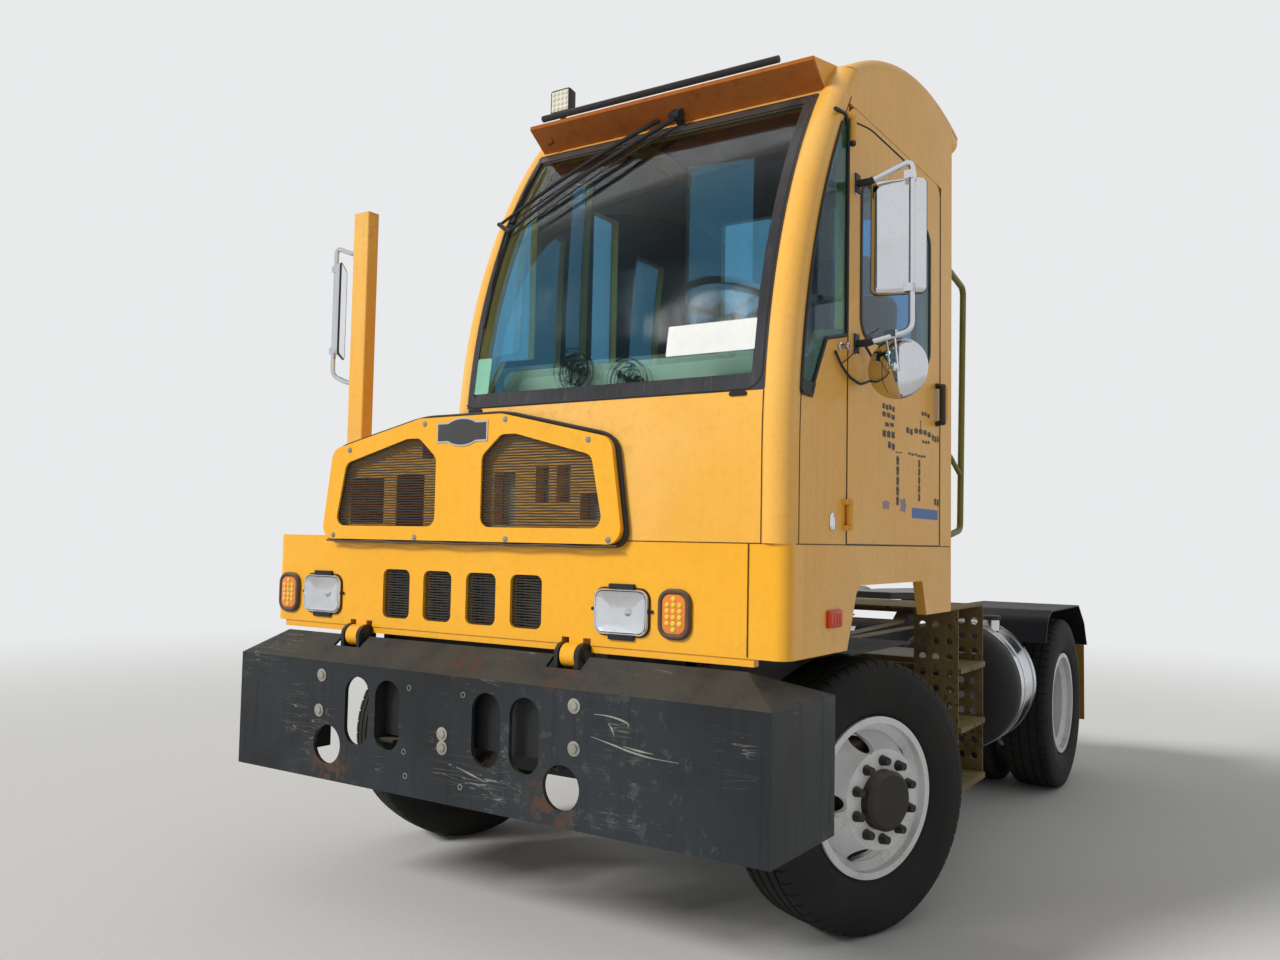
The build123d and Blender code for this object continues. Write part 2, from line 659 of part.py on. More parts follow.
FORK_IN = 70
FORK_T = 40
FORK_R = 45
PLATE_IN = 60
PLATE_OUT = 80
FRONT_SPINDLE_R = 40
FRONT_SPINDLE_END = RIM_OFFSET + 160
STEER_ARM = 190
STEER_PIN_R = 12
TIE_TOP = 394
TIE_BOTTOM = 350
TIE_TUBE_R = 18
for side, name in ((1, "knuckle_left"), (-1, "knuckle_right")):
    out = outboard(side, REST_STEER)
    with BuildPart() as knuckle:
        for z in (HUB_Z - FORK_IN - FORK_T, HUB_Z + FORK_IN):
            with BuildSketch(Plane(origin=(side * KINGPIN_X, 0, z), x_dir=out, z_dir=(0, 0, 1))):
                Circle(FORK_R)
                with Locations((PLATE_OUT / 2, 0)):
                    Rectangle(PLATE_OUT, 2 * FORK_R)
            extrude(amount=FORK_T)
        low = HUB_Z - FORK_IN - FORK_T
        with BuildSketch(Plane(origin=(side * KINGPIN_X, 0, low), x_dir=out, z_dir=(0, 0, 1))):
            with Locations(((PLATE_IN + PLATE_OUT) / 2, 0)):
                Rectangle(PLATE_OUT - PLATE_IN, 2 * FORK_R + 20)
        extrude(amount=2 * (FORK_IN + FORK_T))
        with BuildSketch(Plane(origin=(side * KINGPIN_X, 0, low), x_dir=out, z_dir=(0, 0, 1))):
            Circle(KINGPIN_R)
            with Locations((0, side * STEER_ARM)):
                Circle(30)
            with Locations((20, side * STEER_ARM / 2)):
                Rectangle(44, STEER_ARM)
        extrude(amount=36)
        with BuildSketch(Plane(origin=(side * KINGPIN_X, 0, low), x_dir=out, z_dir=(0, 0, 1))):
            Circle(KINGPIN_R)
        extrude(amount=2 * (FORK_IN + FORK_T))
        with BuildSketch(Plane(origin=(side * KINGPIN_X, 0, TIE_BOTTOM - 6), x_dir=out, z_dir=(0, 0, 1))):
            with Locations((0, side * STEER_ARM)):
                Circle(STEER_PIN_R)
        extrude(amount=low - TIE_BOTTOM + 6)
        centre = Vector(side * KINGPIN_X, 0, HUB_Z)
        rod(centre + out * PLATE_IN, centre + out * FRONT_SPINDLE_END, FRONT_SPINDLE_R)
    save(knuckle, name)

# Tie rod between the steering arms' pins
TIE_EYE_R = 26
with BuildPart() as tie_rod:
    ends = []
    for side in SIDES:
        out = outboard(side, REST_STEER)
        back = Vector(0, 0, 1).cross(out) * side
        ends.append(Vector(side * KINGPIN_X, 0, 0) + back * STEER_ARM)
    for end, play in zip(ends, (PIN_GAP, 1.0)):
        with BuildSketch(level_plane(TIE_BOTTOM)):
            with Locations((end.X, end.Y)):
                Circle(TIE_EYE_R)
        extrude(amount=TIE_TOP - TIE_BOTTOM)
    middle = (TIE_TOP + TIE_BOTTOM) / 2
    rod((ends[0].X, ends[0].Y, middle), (ends[1].X, ends[1].Y, middle), TIE_TUBE_R)
    for end, play in zip(ends, (PIN_GAP, 1.0)):
        with BuildSketch(level_plane(TIE_BOTTOM)):
            with Locations((end.X, end.Y)):
                Circle(STEER_PIN_R + play)
        extrude(amount=TIE_TOP - TIE_BOTTOM, mode=Mode.SUBTRACT)
save(tie_rod, "tie_rod")

# Wheels: every section is drawn in a plane whose x runs outboard along the axle and whose y is up


def axle_plane(origin, out):
    """Plane through an axle: local x along the outboard direction, local y up."""
    return Plane(origin=origin, x_dir=out, z_dir=out.cross(Vector(0, 0, 1)))


def revolve_about(plane, section):
    """Turn a drawn section about the plane's local x axis."""
    revolve(section.sketch, axis=Axis(plane.origin, plane.x_dir))


def draw_tyre(plane):
    """Tyre casing, open towards the rim."""
    bore = RIM_SEAT_R + SEAT_GAP
    with BuildSketch(plane) as section:
        with BuildLine():
            Polyline((0, TYRE_R - TYRE_WALL - 8), (0, TYRE_R), (TREAD_HALF, TYRE_R))
            Line((TREAD_HALF, TYRE_R), (TREAD_HALF + 12, TYRE_R - 14))
            ThreePointArc((TREAD_HALF + 12, TYRE_R - 14), (TYRE_HALF, 400), (BEAD_HALF, bore + 16))
            toe = BEAD_HALF - 24
            Polyline((BEAD_HALF, bore + 16), (BEAD_HALF, bore), (toe, bore), (toe, bore + 20))
            ThreePointArc(
                (toe, bore + 20), (TYRE_HALF - TYRE_WALL, 400), (TREAD_HALF - 10, TYRE_R - TYRE_WALL - 8)
            )
            Line((TREAD_HALF - 10, TYRE_R - TYRE_WALL - 8), (0, TYRE_R - TYRE_WALL - 8))
        make_face()
        mirror(about=Plane.YZ)
    revolve_about(plane, section)


def draw_rim(plane, facing, disc_face):
    """Rim barrel and the disc on the facing side, with its stud holes and hand holes."""
    in_r = RIM_WELL_R - RIM_WALL
    lip_r = RIM_SEAT_R - RIM_WALL
    with BuildSketch(plane) as section:
        with BuildLine():
            Polyline(
                (-RIM_HALF, RIM_FLANGE_R),
                (-RIM_HALF + 12, RIM_FLANGE_R),
                (-RIM_HALF + 12, RIM_SEAT_R),
                (-84, RIM_SEAT_R),
                (-62, RIM_WELL_R),
                (62, RIM_WELL_R),
                (84, RIM_SEAT_R),
                (RIM_HALF - 12, RIM_SEAT_R),
                (RIM_HALF - 12, RIM_FLANGE_R),
                (RIM_HALF, RIM_FLANGE_R),
                (RIM_HALF, lip_r),
                (88, lip_r),
                (66, in_r),
                (-66, in_r),
                (-88, lip_r),
                (-RIM_HALF, lip_r),
                close=True,
            )
        make_face()
        with BuildLine():
            Polyline(
                (facing * 40, in_r + 4),
                (facing * 58, in_r + 4),
                (facing * 66, in_r - 4),
                (facing * disc_face, DISC_FACE_R + 6),
                (facing * disc_face, DISC_BORE_R),
                (facing * (disc_face - RIM_WALL), DISC_BORE_R),
                (facing * (disc_face - RIM_WALL), DISC_FACE_R),
                (facing * 46, in_r - 10),
                close=True,
            )
        make_face()
    revolve_about(plane, section)
    turned = Plane(origin=plane.origin, z_dir=plane.x_dir, x_dir=plane.y_dir)
    with BuildSketch(turned.offset(facing * (disc_face + 5))) as studs:
        with PolarLocations(STUD_CIRCLE_R, STUD_COUNT):
            Circle(STUD_HOLE_R)
    extrude(studs.sketch, amount=-facing * (RIM_WALL + 10), mode=Mode.SUBTRACT)
    with BuildSketch(turned.offset(facing * (disc_face + 5))) as holes:
        with PolarLocations(HAND_HOLE_CIRCLE_R, HAND_HOLES, start_angle=18):
            Circle(HAND_HOLE_R)
    extrude(holes.sketch, amount=-facing * (disc_face - 30), mode=Mode.SUBTRACT)


def draw_nuts(plane, seat):
    """Ring of wheel nuts and their studs; the nuts sit just off the disc's face at seat."""
    turned = Plane(origin=plane.origin, z_dir=plane.x_dir, x_dir=plane.y_dir)
    with BuildSketch(turned.offset(seat - 2 * RIM_WALL - 6)) as studs:
        with PolarLocations(STUD_CIRCLE_R, STUD_COUNT):
            Circle(STUD_R)
    extrude(studs.sketch, amount=2 * RIM_WALL + 10)
    with BuildSketch(turned.offset(seat + SEAT_GAP)) as nuts:
        with PolarLocations(STUD_CIRCLE_R, STUD_COUNT):
            Circle(NUT_R)
    extrude(nuts.sketch, amount=32, taper=10)


for side, name in ((1, "front_left"), (-1, "front_right")):
    out = outboard(side, REST_STEER)
    wheel = axle_plane(Vector(side * KINGPIN_X, 0, HUB_Z) + out * RIM_OFFSET, out)
    with BuildPart() as tyre:
        draw_tyre(wheel)
    save(tyre, f"tyre_{name}")
    with BuildPart() as rim:
        draw_rim(wheel, 1, FRONT_DISC_FACE)
    save(rim, f"rim_{name}")
    # Hub with its brake drum, wheel flange, nose and nuts
    flange = FRONT_DISC_FACE - RIM_WALL
    bore = FRONT_SPINDLE_R + PIN_GAP
    bore_end = FRONT_SPINDLE_END - RIM_OFFSET + 5
    with BuildPart() as hub:
        with BuildSketch(wheel) as section:
            with BuildLine():
                Polyline(
                    (-33, bore),
                    (-33, 78),
                    (70, 78),
                    (70, 192),
                    (-33, 192),
                    (-33, 205),
                    (85, 205),
                    (85, 166),
                    (flange, 166),
                    (flange, DISC_BORE_R - 0.5),
                    (flange + 44, DISC_BORE_R - 0.5),
                    (flange + 56, 96),
                    (flange + 56, 0),
                    (bore_end, 0),
                    (bore_end, bore),
                    close=True,
                )
            make_face()
        revolve_about(wheel, section)
        draw_nuts(wheel, FRONT_DISC_FACE)
    save(hub, f"hub_{name}")

DUAL_X = REAR_OUTER_X - DUAL_SPACING / 2
for side, name in ((1, "rear_left"), (-1, "rear_right")):
    out = Vector(side, 0, 0)
    outer = axle_plane(Vector(side * REAR_OUTER_X, WHEELBASE, HUB_Z), out)
    inner = axle_plane(Vector(side * (REAR_OUTER_X - DUAL_SPACING), WHEELBASE, HUB_Z), out)
    with BuildPart() as tyre:
        draw_tyre(outer)
        draw_tyre(inner)
    save(tyre, f"tyre_{name}")
    # Two rims with their discs back to back
    with BuildPart() as rim:
        draw_rim(outer, -1, DUAL_SPACING / 2)
        draw_rim(inner, 1, DUAL_SPACING / 2)
    save(rim, f"rim_{name}")
    # Hub with its drum, through both discs
    middle = axle_plane(Vector(side * DUAL_X, WHEELBASE, HUB_Z), out)
    flange = -RIM_WALL
    bore = REAR_SPINDLE_R + PIN_GAP
    bore_end = REAR_SPINDLE_X - DUAL_X + 5
    with BuildPart() as hub:
        with BuildSketch(middle) as section:
            with BuildLine():
                Polyline(
                    (-240, bore),
                    (-240, 85),
                    (-105, 85),
                    (-105, 182),
                    (-240, 182),
                    (-240, 195),
                    (-90, 195),
                    (-60, 166),
                    (flange, 166),
                    (flange, DISC_BORE_R - 0.5),
                    (40, DISC_BORE_R - 0.5),
                    (60, 100),
                    (160, 100),
                    (175, 85),
                    (175, 0),
                    (bore_end, 0),
                    (bore_end, bore),
                    close=True,
                )
            make_face()
        revolve_about(middle, section)
        draw_nuts(middle, RIM_WALL)
    save(hub, f"hub_{name}")

# Boom: two arms on the pivot shaft, a cross tube, a seat for the fifth wheel and the rod pins
BOOM_BOSS_R = 58
FIFTH_PIN_R = 30
FIFTH_CRADLE_R = 50
with BuildPart() as boom:
    for side in SIDES:
        with BuildSketch(side_plane(side * BOOM_X - BOOM_W / 2)):
            with BuildLine():
                Polyline(
                    (BOOM_PIVOT_Y, BOOM_PIVOT_Z - BOOM_H / 2),
                    (2500, BOOM_PIVOT_Z - BOOM_H / 2),
                    (2720, 880),
                    (2880, 880),
                    (FIFTH_Y + FIFTH_CRADLE_R, FIFTH_Z),
                    (FIFTH_Y - FIFTH_CRADLE_R, FIFTH_Z),
                    (2600, 960),
                    (BOOM_PIVOT_Y, BOOM_PIVOT_Z + BOOM_H / 2),
                    close=True,
                )
            make_face()
            with Locations((BOOM_PIVOT_Y, BOOM_PIVOT_Z)):
                Circle(BOOM_BOSS_R)
            with Locations((FIFTH_Y, FIFTH_Z)):
                Circle(FIFTH_CRADLE_R)
        extrude(amount=BOOM_W)
        with BuildSketch(side_plane(side * BOOM_X - BOOM_W / 2)):
            with Locations((BOOM_PIVOT_Y, BOOM_PIVOT_Z)):
                Circle(BOOM_SHAFT_R + PIN_GAP)
            with Locations((FIFTH_Y, FIFTH_Z)):
                Circle(FIFTH_PIN_R + PIN_GAP)
        extrude(amount=BOOM_W, mode=Mode.SUBTRACT)
        near = side * (LIFT_X - LIFT_BARREL_R)
        rod((near, *LIFT_TIP), (side * (BOOM_X - BOOM_W / 2), *LIFT_TIP), LIFT_PIN_R)
    for y, z, radius in ((1720, 880, 40), (2640, 930, 45)):
        rod((-BOOM_X, y, z), (BOOM_X, y, z), radius)
save(boom, "boom")

# Fifth wheel: plate with its throat and kingpin bore, ribs below and its own rocking pins
FIFTH_HALF = 450
FIFTH_FRONT_Y = FIFTH_Y - 380
FIFTH_REAR_Y = FIFTH_Y + 470
with BuildPart() as fifth_wheel:
    with BuildSketch(level_plane(FIFTH_TOP - FIFTH_T)):
        with BuildLine():
            Polyline(
                (-300, FIFTH_FRONT_Y),
                (300, FIFTH_FRONT_Y),
                (FIFTH_HALF, FIFTH_FRONT_Y + 180),
                (FIFTH_HALF, FIFTH_Y + 120),
                (330, FIFTH_REAR_Y),
                (190, FIFTH_REAR_Y),
                (KINGPIN_BORE_R, FIFTH_Y + 130),
                (KINGPIN_BORE_R, FIFTH_Y + 20),
                (-KINGPIN_BORE_R, FIFTH_Y + 20),
                (-KINGPIN_BORE_R, FIFTH_Y + 130),
                (-190, FIFTH_REAR_Y),
                (-330, FIFTH_REAR_Y),
                (-FIFTH_HALF, FIFTH_Y + 120),
                (-FIFTH_HALF, FIFTH_FRONT_Y + 180),
                close=True,
            )
        make_face()
        with Locations((0, FIFTH_Y)):
            Circle(KINGPIN_BORE_R, mode=Mode.SUBTRACT)
    extrude(amount=FIFTH_T)
    for side in SIDES:
        near = side * (BOOM_X + BOOM_W / 2 + MOVE_GAP)
        x_low, x_high = sorted((near, near + side * 30))
        with BuildSketch(side_plane(x_low)):
            with Locations((FIFTH_Y, FIFTH_Z)):
                Circle(48)
            with Locations((FIFTH_Y, (FIFTH_Z + FIFTH_TOP - FIFTH_T) / 2)):
                Rectangle(110, FIFTH_TOP - FIFTH_T - FIFTH_Z + 4)
        extrude(amount=30)
        rod((side * (BOOM_X - BOOM_W / 2), FIFTH_Y, FIFTH_Z), (near, FIFTH_Y, FIFTH_Z), FIFTH_PIN_R)
save(fifth_wheel, "fifth_wheel")

# Lift cylinders: barrels on the frame's pins and rods on the boom's pins
LIFT_WAY = (Vector(0, *LIFT_TIP) - Vector(0, *LIFT_BASE)).normalized()
LIFT_CLOSED = (Vector(*LIFT_TIP) - Vector(*LIFT_BASE)).length
LIFT_EYE_R = 38
LIFT_EYE_HALF = 42
LIFT_GLAND = LIFT_CLOSED - 62
with BuildPart() as lift_barrels:
    for side in SIDES:
        base = Vector(side * LIFT_X, *LIFT_BASE)
        rod((base.X - LIFT_EYE_HALF, base.Y, base.Z), (base.X + LIFT_EYE_HALF, base.Y, base.Z), LIFT_EYE_R)
        rod(base + LIFT_WAY * 20, base + LIFT_WAY * LIFT_GLAND, LIFT_BARREL_R)
        rod(base + LIFT_WAY * 75, base + LIFT_WAY * (LIFT_GLAND + 1), LIFT_ROD_R + PIN_GAP, Mode.SUBTRACT)
        rod(
            (base.X - LIFT_BARREL_R - 5, base.Y, base.Z),
            (base.X + LIFT_BARREL_R + 5, base.Y, base.Z),
            LIFT_PIN_R + PIN_GAP,
            Mode.SUBTRACT,
        )
save(lift_barrels, "lift_barrels")
with BuildPart() as lift_rods:
    for side in SIDES:
        base = Vector(side * LIFT_X, *LIFT_BASE)
        tip = Vector(side * LIFT_X, *LIFT_TIP)
        rod(base + LIFT_WAY * 90, tip, LIFT_ROD_R)
        rod((tip.X - 30, tip.Y, tip.Z), (tip.X + 30, tip.Y, tip.Z), LIFT_EYE_R)
        rod((tip.X - 60, tip.Y, tip.Z), (tip.X + 60, tip.Y, tip.Z), LIFT_PIN_R + 2.5, Mode.SUBTRACT)
save(lift_rods, "lift_rods")

# Lower front clip: face with rounded corners, lip, four slots and the cab's pivot arms
with BuildPart() as front_clip:
    with BuildSketch(level_plane(CLIP_BOTTOM)):
        with BuildLine():
            Polyline(
                (-BODY_HALF, CAB_FRONT_Y + CLIP_RETURN),
                (-BODY_HALF, CAB_FRONT_Y),
                (BODY_HALF, CAB_FRONT_Y),
                (BODY_HALF, CAB_FRONT_Y + CLIP_RETURN),
                (BODY_HALF - CLIP_T, CAB_FRONT_Y + CLIP_RETURN),
                (BODY_HALF - CLIP_T, CAB_FRONT_Y + CLIP_T),
                (-BODY_HALF + CLIP_T, CAB_FRONT_Y + CLIP_T),
                (-BODY_HALF + CLIP_T, CAB_FRONT_Y + CLIP_RETURN),
                close=True,
            )
        make_face()
    extrude(amount=CAB_FLOOR_Z - CLIP_BOTTOM)
    fillet(front_clip.edges().filter_by(Axis.Z).group_by(Axis.Y)[0], CORNER_R)
    box((LIP_RIGHT_X, LIP_LEFT_X), (CAB_FRONT_Y + 6, CAB_FRONT_Y + CLIP_T), (LIP_BOTTOM, CLIP_BOTTOM))
    with BuildSketch(front_plane(CAB_FRONT_Y)):
        with Locations(*[(x, LOWER_SLOT_Z) for x in LOWER_SLOT_X]):
            RectangleRounded(LOWER_SLOT_W, LOWER_SLOT_H, LOWER_SLOT_R)
    extrude(amount=-CLIP_T, mode=Mode.SUBTRACT)
    for x in PIVOT_X:
        box(
            (x - PIVOT_ARM_W / 2, x + PIVOT_ARM_W / 2),
            (CAB_FRONT_Y + 6, PIVOT_Y + 60),
            (PIVOT_Z, CAB_FLOOR_Z),
        )
        rod((x - PIVOT_ARM_W / 2, PIVOT_Y, PIVOT_Z), (x + PIVOT_ARM_W / 2, PIVOT_Y, PIVOT_Z), PIVOT_BOSS_R)
        reach = PIVOT_ARM_W / 2 + MOVE_GAP + LUG_T + 10
        for side in SIDES:
            near, far = sorted((x + side * PIVOT_ARM_W / 2, x + side * reach))
            box((near, far), (CAB_FRONT_Y - 5, PIVOT_Y + 70), (LIP_BOTTOM - 5, 1110), Mode.SUBTRACT)
        rod(
            (x - PIVOT_ARM_W / 2, PIVOT_Y, PIVOT_Z),
            (x + PIVOT_ARM_W / 2, PIVOT_Y, PIVOT_Z),
            PIVOT_PIN_R + PIN_GAP,
            Mode.SUBTRACT,
        )
save(front_clip, "front_clip")

# Side skirts with the wheel openings; the right one carries the level shelf beside the hood
SKIRT_LINE = (  # y, z round the lower edge, from the front
    (CAB_FRONT_Y + CLIP_RETURN, CLIP_BOTTOM),
    (-500, CLIP_BOTTOM),
    (-420, 1275),
    (-390, ARCH_TOP_Z),
    (290, ARCH_TOP_Z),
    (345, SKIRT_REAR_Z),
    (CAB_REAR_Y, SKIRT_REAR_Z),
)
with BuildPart() as side_skirts:
    for side in SIDES:
        x_low, x_high = sorted((side * BODY_HALF, side * (BODY_HALF - CLIP_T)))
        with BuildSketch(side_plane(x_low)):
            with BuildLine():
                Polyline(
                    (SKIRT_LINE[0][0], CAB_FLOOR_Z),
                    *SKIRT_LINE,
                    (CAB_REAR_Y, CAB_FLOOR_Z),
                    close=True,
                )
            make_face()
        extrude(amount=CLIP_T)
    box(
        (-BODY_HALF + CLIP_T, SHELF_INNER_X),
        (CAB_FRONT_Y + CLIP_T, CAB_REAR_Y),
        (CAB_FLOOR_Z - SHELF_T, CAB_FLOOR_Z),
    )
save(side_skirts, "side_skirts")


# Raised grille panel: a shallow tray with two openings, and the hood that continues its outline
def grille_outline(depth, mode=Mode.ADD):
    """Face of the grille panel's outline, drawn in by a depth."""
    corners = []
    for side in (1, -1):
        row = [
            (GRILLE_X + side * (GRILLE_HALF - depth), GRILLE_BOTTOM + depth),
            (GRILLE_X + side * (GRILLE_SHOULDER_HALF - depth), GRILLE_SHOULDER_Z - 0.7 * depth),
            (GRILLE_X + side * (GRILLE_TOP_HALF - 0.1 * depth), GRILLE_TOP_Z - depth),
        ]
        corners += row if side == 1 else row[::-1]
    with BuildLine() as line:
        FilletPolyline(*corners, radius=55 - depth, close=True)
    make_face(line.edges(), mode=mode)


OPENING = (  # distance from the grille's middle, z
    (114, 1486),
    (114, 1748),
    (205, 1824),
    (272, 1824),
    (610, 1738),
    (665, 1486),
)


def opening_outline(side, depth=0, mode=Mode.ADD):
    """Face of one grille opening, drawn in by a depth."""
    with BuildLine() as line:
        FilletPolyline(*[(GRILLE_X + side * x, z) for x, z in OPENING], radius=40, close=True)
        if depth:
            offset(amount=-depth)
    make_face(line.edges(), mode=mode)


with BuildPart() as grille_panel:
    with BuildSketch(front_plane(CAB_FRONT_Y)):
        grille_outline(0)
    extrude(amount=GRILLE_PROUD)
    with BuildSketch(front_plane(CAB_FRONT_Y)):
        grille_outline(GRILLE_WALL)
    extrude(amount=GRILLE_PROUD - GRILLE_WALL, mode=Mode.SUBTRACT)
    with BuildSketch(front_plane(CAB_FRONT_Y)):
        for side in SIDES:
            opening_outline(side)
    extrude(amount=GRILLE_PROUD, mode=Mode.SUBTRACT)
save(grille_panel, "grille_panel")

# Meshes behind the two openings and in the four lower slots: frames with level bars
MESH_FRAME = 12
MESH_T = 8
MESH_BACK_Y = CAB_FRONT_Y - GRILLE_PROUD + GRILLE_WALL + MESH_T
LOWER_MESH_Y = CAB_FRONT_Y + 18
with BuildPart() as grille_mesh:
    for side in SIDES:
        with BuildSketch(front_plane(MESH_BACK_Y)):
            opening_outline(side, -14)
        extrude(amount=MESH_T)
        with BuildSketch(front_plane(MESH_BACK_Y)):
            with Locations((GRILLE_X + side * 390, 1655)):
                with GridLocations(1, MESH_PITCH, 1, 12):
                    Rectangle(700, MESH_PITCH - MESH_BAR)
            opening_outline(side, 2, mode=Mode.INTERSECT)
        extrude(amount=MESH_T, mode=Mode.SUBTRACT)
    for x in LOWER_SLOT_X:
        with BuildSketch(front_plane(LOWER_MESH_Y)):
            with Locations((x, LOWER_SLOT_Z)):
                RectangleRounded(
                    LOWER_SLOT_W - 2 * SEAT_GAP, LOWER_SLOT_H - 2 * SEAT_GAP, LOWER_SLOT_R - SEAT_GAP
                )
                with GridLocations(1, MESH_PITCH, 1, 6):
                    Rectangle(LOWER_SLOT_W - 2 * MESH_FRAME, MESH_PITCH - MESH_BAR, mode=Mode.SUBTRACT)
        extrude(amount=MESH_T)
save(grille_mesh, "grille_mesh")

# Hood: shell of the grille's outline beside the cab, with a pierced front wall
HOOD_T = 20
HOOD_CUTS = (  # x, z, width, height
    (-660, 1590, 190, 180),
    (-420, 1560, 150, 260),
    (-330, 1780, 60, 60),
)
with BuildPart() as hood:
    with BuildSketch(front_plane(CAB_REAR_Y)):
        grille_outline(0)
        with Locations(((CAB_RIGHT_X + 2000), 1700)):
            Rectangle(4000, 1200, mode=Mode.SUBTRACT)
        with Locations((0, CAB_FLOOR_Z - 300)):
            Rectangle(4000, 600, mode=Mode.SUBTRACT)
    extrude(amount=CAB_REAR_Y - CAB_FRONT_Y)
    with BuildSketch(front_plane(CAB_REAR_Y)):
        grille_outline(HOOD_T)
        with Locations(((CAB_RIGHT_X + 2000), 1700)):
            Rectangle(4000, 1200, mode=Mode.SUBTRACT)
    extrude(amount=CAB_REAR_Y - CAB_FRONT_Y - 2, mode=Mode.SUBTRACT)
    with BuildSketch(front_plane(CAB_FRONT_Y + 6)):
        grille_outline(HOOD_T - 2)
        with Locations(((CAB_RIGHT_X + 2000), 1700)):
            Rectangle(4000, 1200, mode=Mode.SUBTRACT)
        with Locations((0, CAB_FLOOR_Z - 300)):
            Rectangle(4000, 600, mode=Mode.SUBTRACT)
        for x, z, width, height in HOOD_CUTS:
            with Locations((x, z)):
                Rectangle(width, height, mode=Mode.SUBTRACT)
    extrude(amount=6)
    with BuildSketch(front_plane(CAB_FRONT_Y + 10)):
        for x, z, width, height in HOOD_CUTS:
            with Locations((x, z)):
                Rectangle(width, height)
    extrude(amount=20, mode=Mode.SUBTRACT)
save(hood, "hood")


# Windscreen sheet: follows the front arc between two depths, inside a rounded outline
def screen_sheet(outer_depth, inner_depth, inset):
    """Sheet along the front arc, drawn in from the windscreen's outline by an inset."""
    width = SCREEN_LEFT_X - SCREEN_RIGHT_X
    height = SCREEN_TOP - SCREEN_BOTTOM
    low, high = SCREEN_BOTTOM - 60, SCREEN_TOP + 60
    with BuildPart() as sheet:
        with BuildSketch(side_plane(SCREEN_RIGHT_X - 50)) as section:
            with BuildLine() as line:
                arc_about(FRONT_CENTRE, (front_y(low, outer_depth), low), (front_y(high, outer_depth), high))
                Line((front_y(high, outer_depth), high), (front_y(high, inner_depth), high))
                arc_about(FRONT_CENTRE, (front_y(high, inner_depth), high), (front_y(low, inner_depth), low))
                Line((front_y(low, inner_depth), low), (front_y(low, outer_depth), low))
            make_face(line.edges())
        extrude(section.sketch, amount=width + 100)
        with BuildSketch(front_plane(CAB_FRONT_Y - 200)) as outline:
            with Locations(((SCREEN_LEFT_X + SCREEN_RIGHT_X) / 2, (SCREEN_TOP + SCREEN_BOTTOM) / 2)):
                RectangleRounded(width - 2 * inset, height - 2 * inset, SCREEN_CORNER_R - inset)
        extrude(outline.sketch, amount=-1200, mode=Mode.INTERSECT)
    return sheet.part


# Cab front: firewall and windscreen frame in one band, with rounded pillars
FRONT_CUTS = (  # x, z, width, height
    (60, 1590, 100, 190),
    (235, 1640, 60, 130),
    (330, 1640, 60, 130),
    (450, 1560, 90, 90),
)
BROW_OUT = brow(0, 0)
BROW_IN = brow(PILLAR_T, ROOF_T)
with BuildPart() as cab_front:
    with BuildSketch(side_plane(CAB_RIGHT_X)):
        with BuildLine():
            Polyline(
                (CAB_FRONT_Y, BEND_Z),
                (CAB_FRONT_Y, CAB_FLOOR_Z),
                (CAB_FRONT_Y + PILLAR_T, CAB_FLOOR_Z),
                (CAB_FRONT_Y + PILLAR_T, BEND_Z),
            )
            arc_about(FRONT_CENTRE, (CAB_FRONT_Y + PILLAR_T, BEND_Z), BROW_IN)
            Line(BROW_IN, BROW_OUT)
            arc_about(FRONT_CENTRE, BROW_OUT, (CAB_FRONT_Y, BEND_Z))
        make_face()
    extrude(amount=CAB_LEFT_X - CAB_RIGHT_X)
    outer_edges = cab_front.edges().filter_by(
        lambda e: abs((e @ 0.5).Y - front_y((e @ 0.5).Z)) < 1
        and min(abs((e @ 0.5).X - CAB_LEFT_X), abs((e @ 0.5).X - CAB_RIGHT_X)) < 1
    )
    fillet(outer_edges, CORNER_R)
    add(screen_sheet(-20, GLASS_DEPTH + GLASS_T + SEAT_GAP, -SEAT_GAP), mode=Mode.SUBTRACT)
    add(screen_sheet(-20, PILLAR_T + 20, GLASS_LAND), mode=Mode.SUBTRACT)
    with BuildSketch(front_plane(CAB_FRONT_Y)):
        for x, z, width, height in FRONT_CUTS:
            with Locations((x, z)):
                Rectangle(width, height)
    extrude(amount=-PILLAR_T, mode=Mode.SUBTRACT)
save(cab_front, "cab_front")


# Quarter windows
QUARTER_TOP = 2930
QUARTER_STRIP = 6  # of the panel, ahead of and behind the glass
QUARTER_REAR_Y = DOOR_FRONT_Y - SEAM_GAP - QUARTER_STRIP
QUARTER_POINTS = (  # y, z, and how each corner moves as the outline is drawn in by 1
    (QUARTER_REAR_Y, 2163, -1.0, 1.0),
    (-703, 2128, -0.7, 1.0),
    (-819, 1940, -0.7, 1.0),
)
QUARTER_BOTTOM = 1925


def quarter_outline(inset, mode=Mode.ADD):
    """Face of a quarter window's outline, drawn in by an inset."""
    depth = PILLAR_T + QUARTER_STRIP + inset
    top = QUARTER_TOP - 4.5 * inset
    bottom = QUARTER_BOTTOM + inset
    rear = QUARTER_REAR_Y - inset
    with BuildLine() as line:
        arc_about(FRONT_CENTRE, (front_y(bottom, depth), bottom), (front_y(top, depth), top))
        Polyline(
            (front_y(top, depth), top),
            (rear, top),
            *[(y + inset * dy, z + inset * dz) for y, z, dy, dz in QUARTER_POINTS],
            (QUARTER_POINTS[-1][0] - inset, bottom),
            (front_y(bottom, depth), bottom),
        )
    make_face(line.edges(), mode=mode)


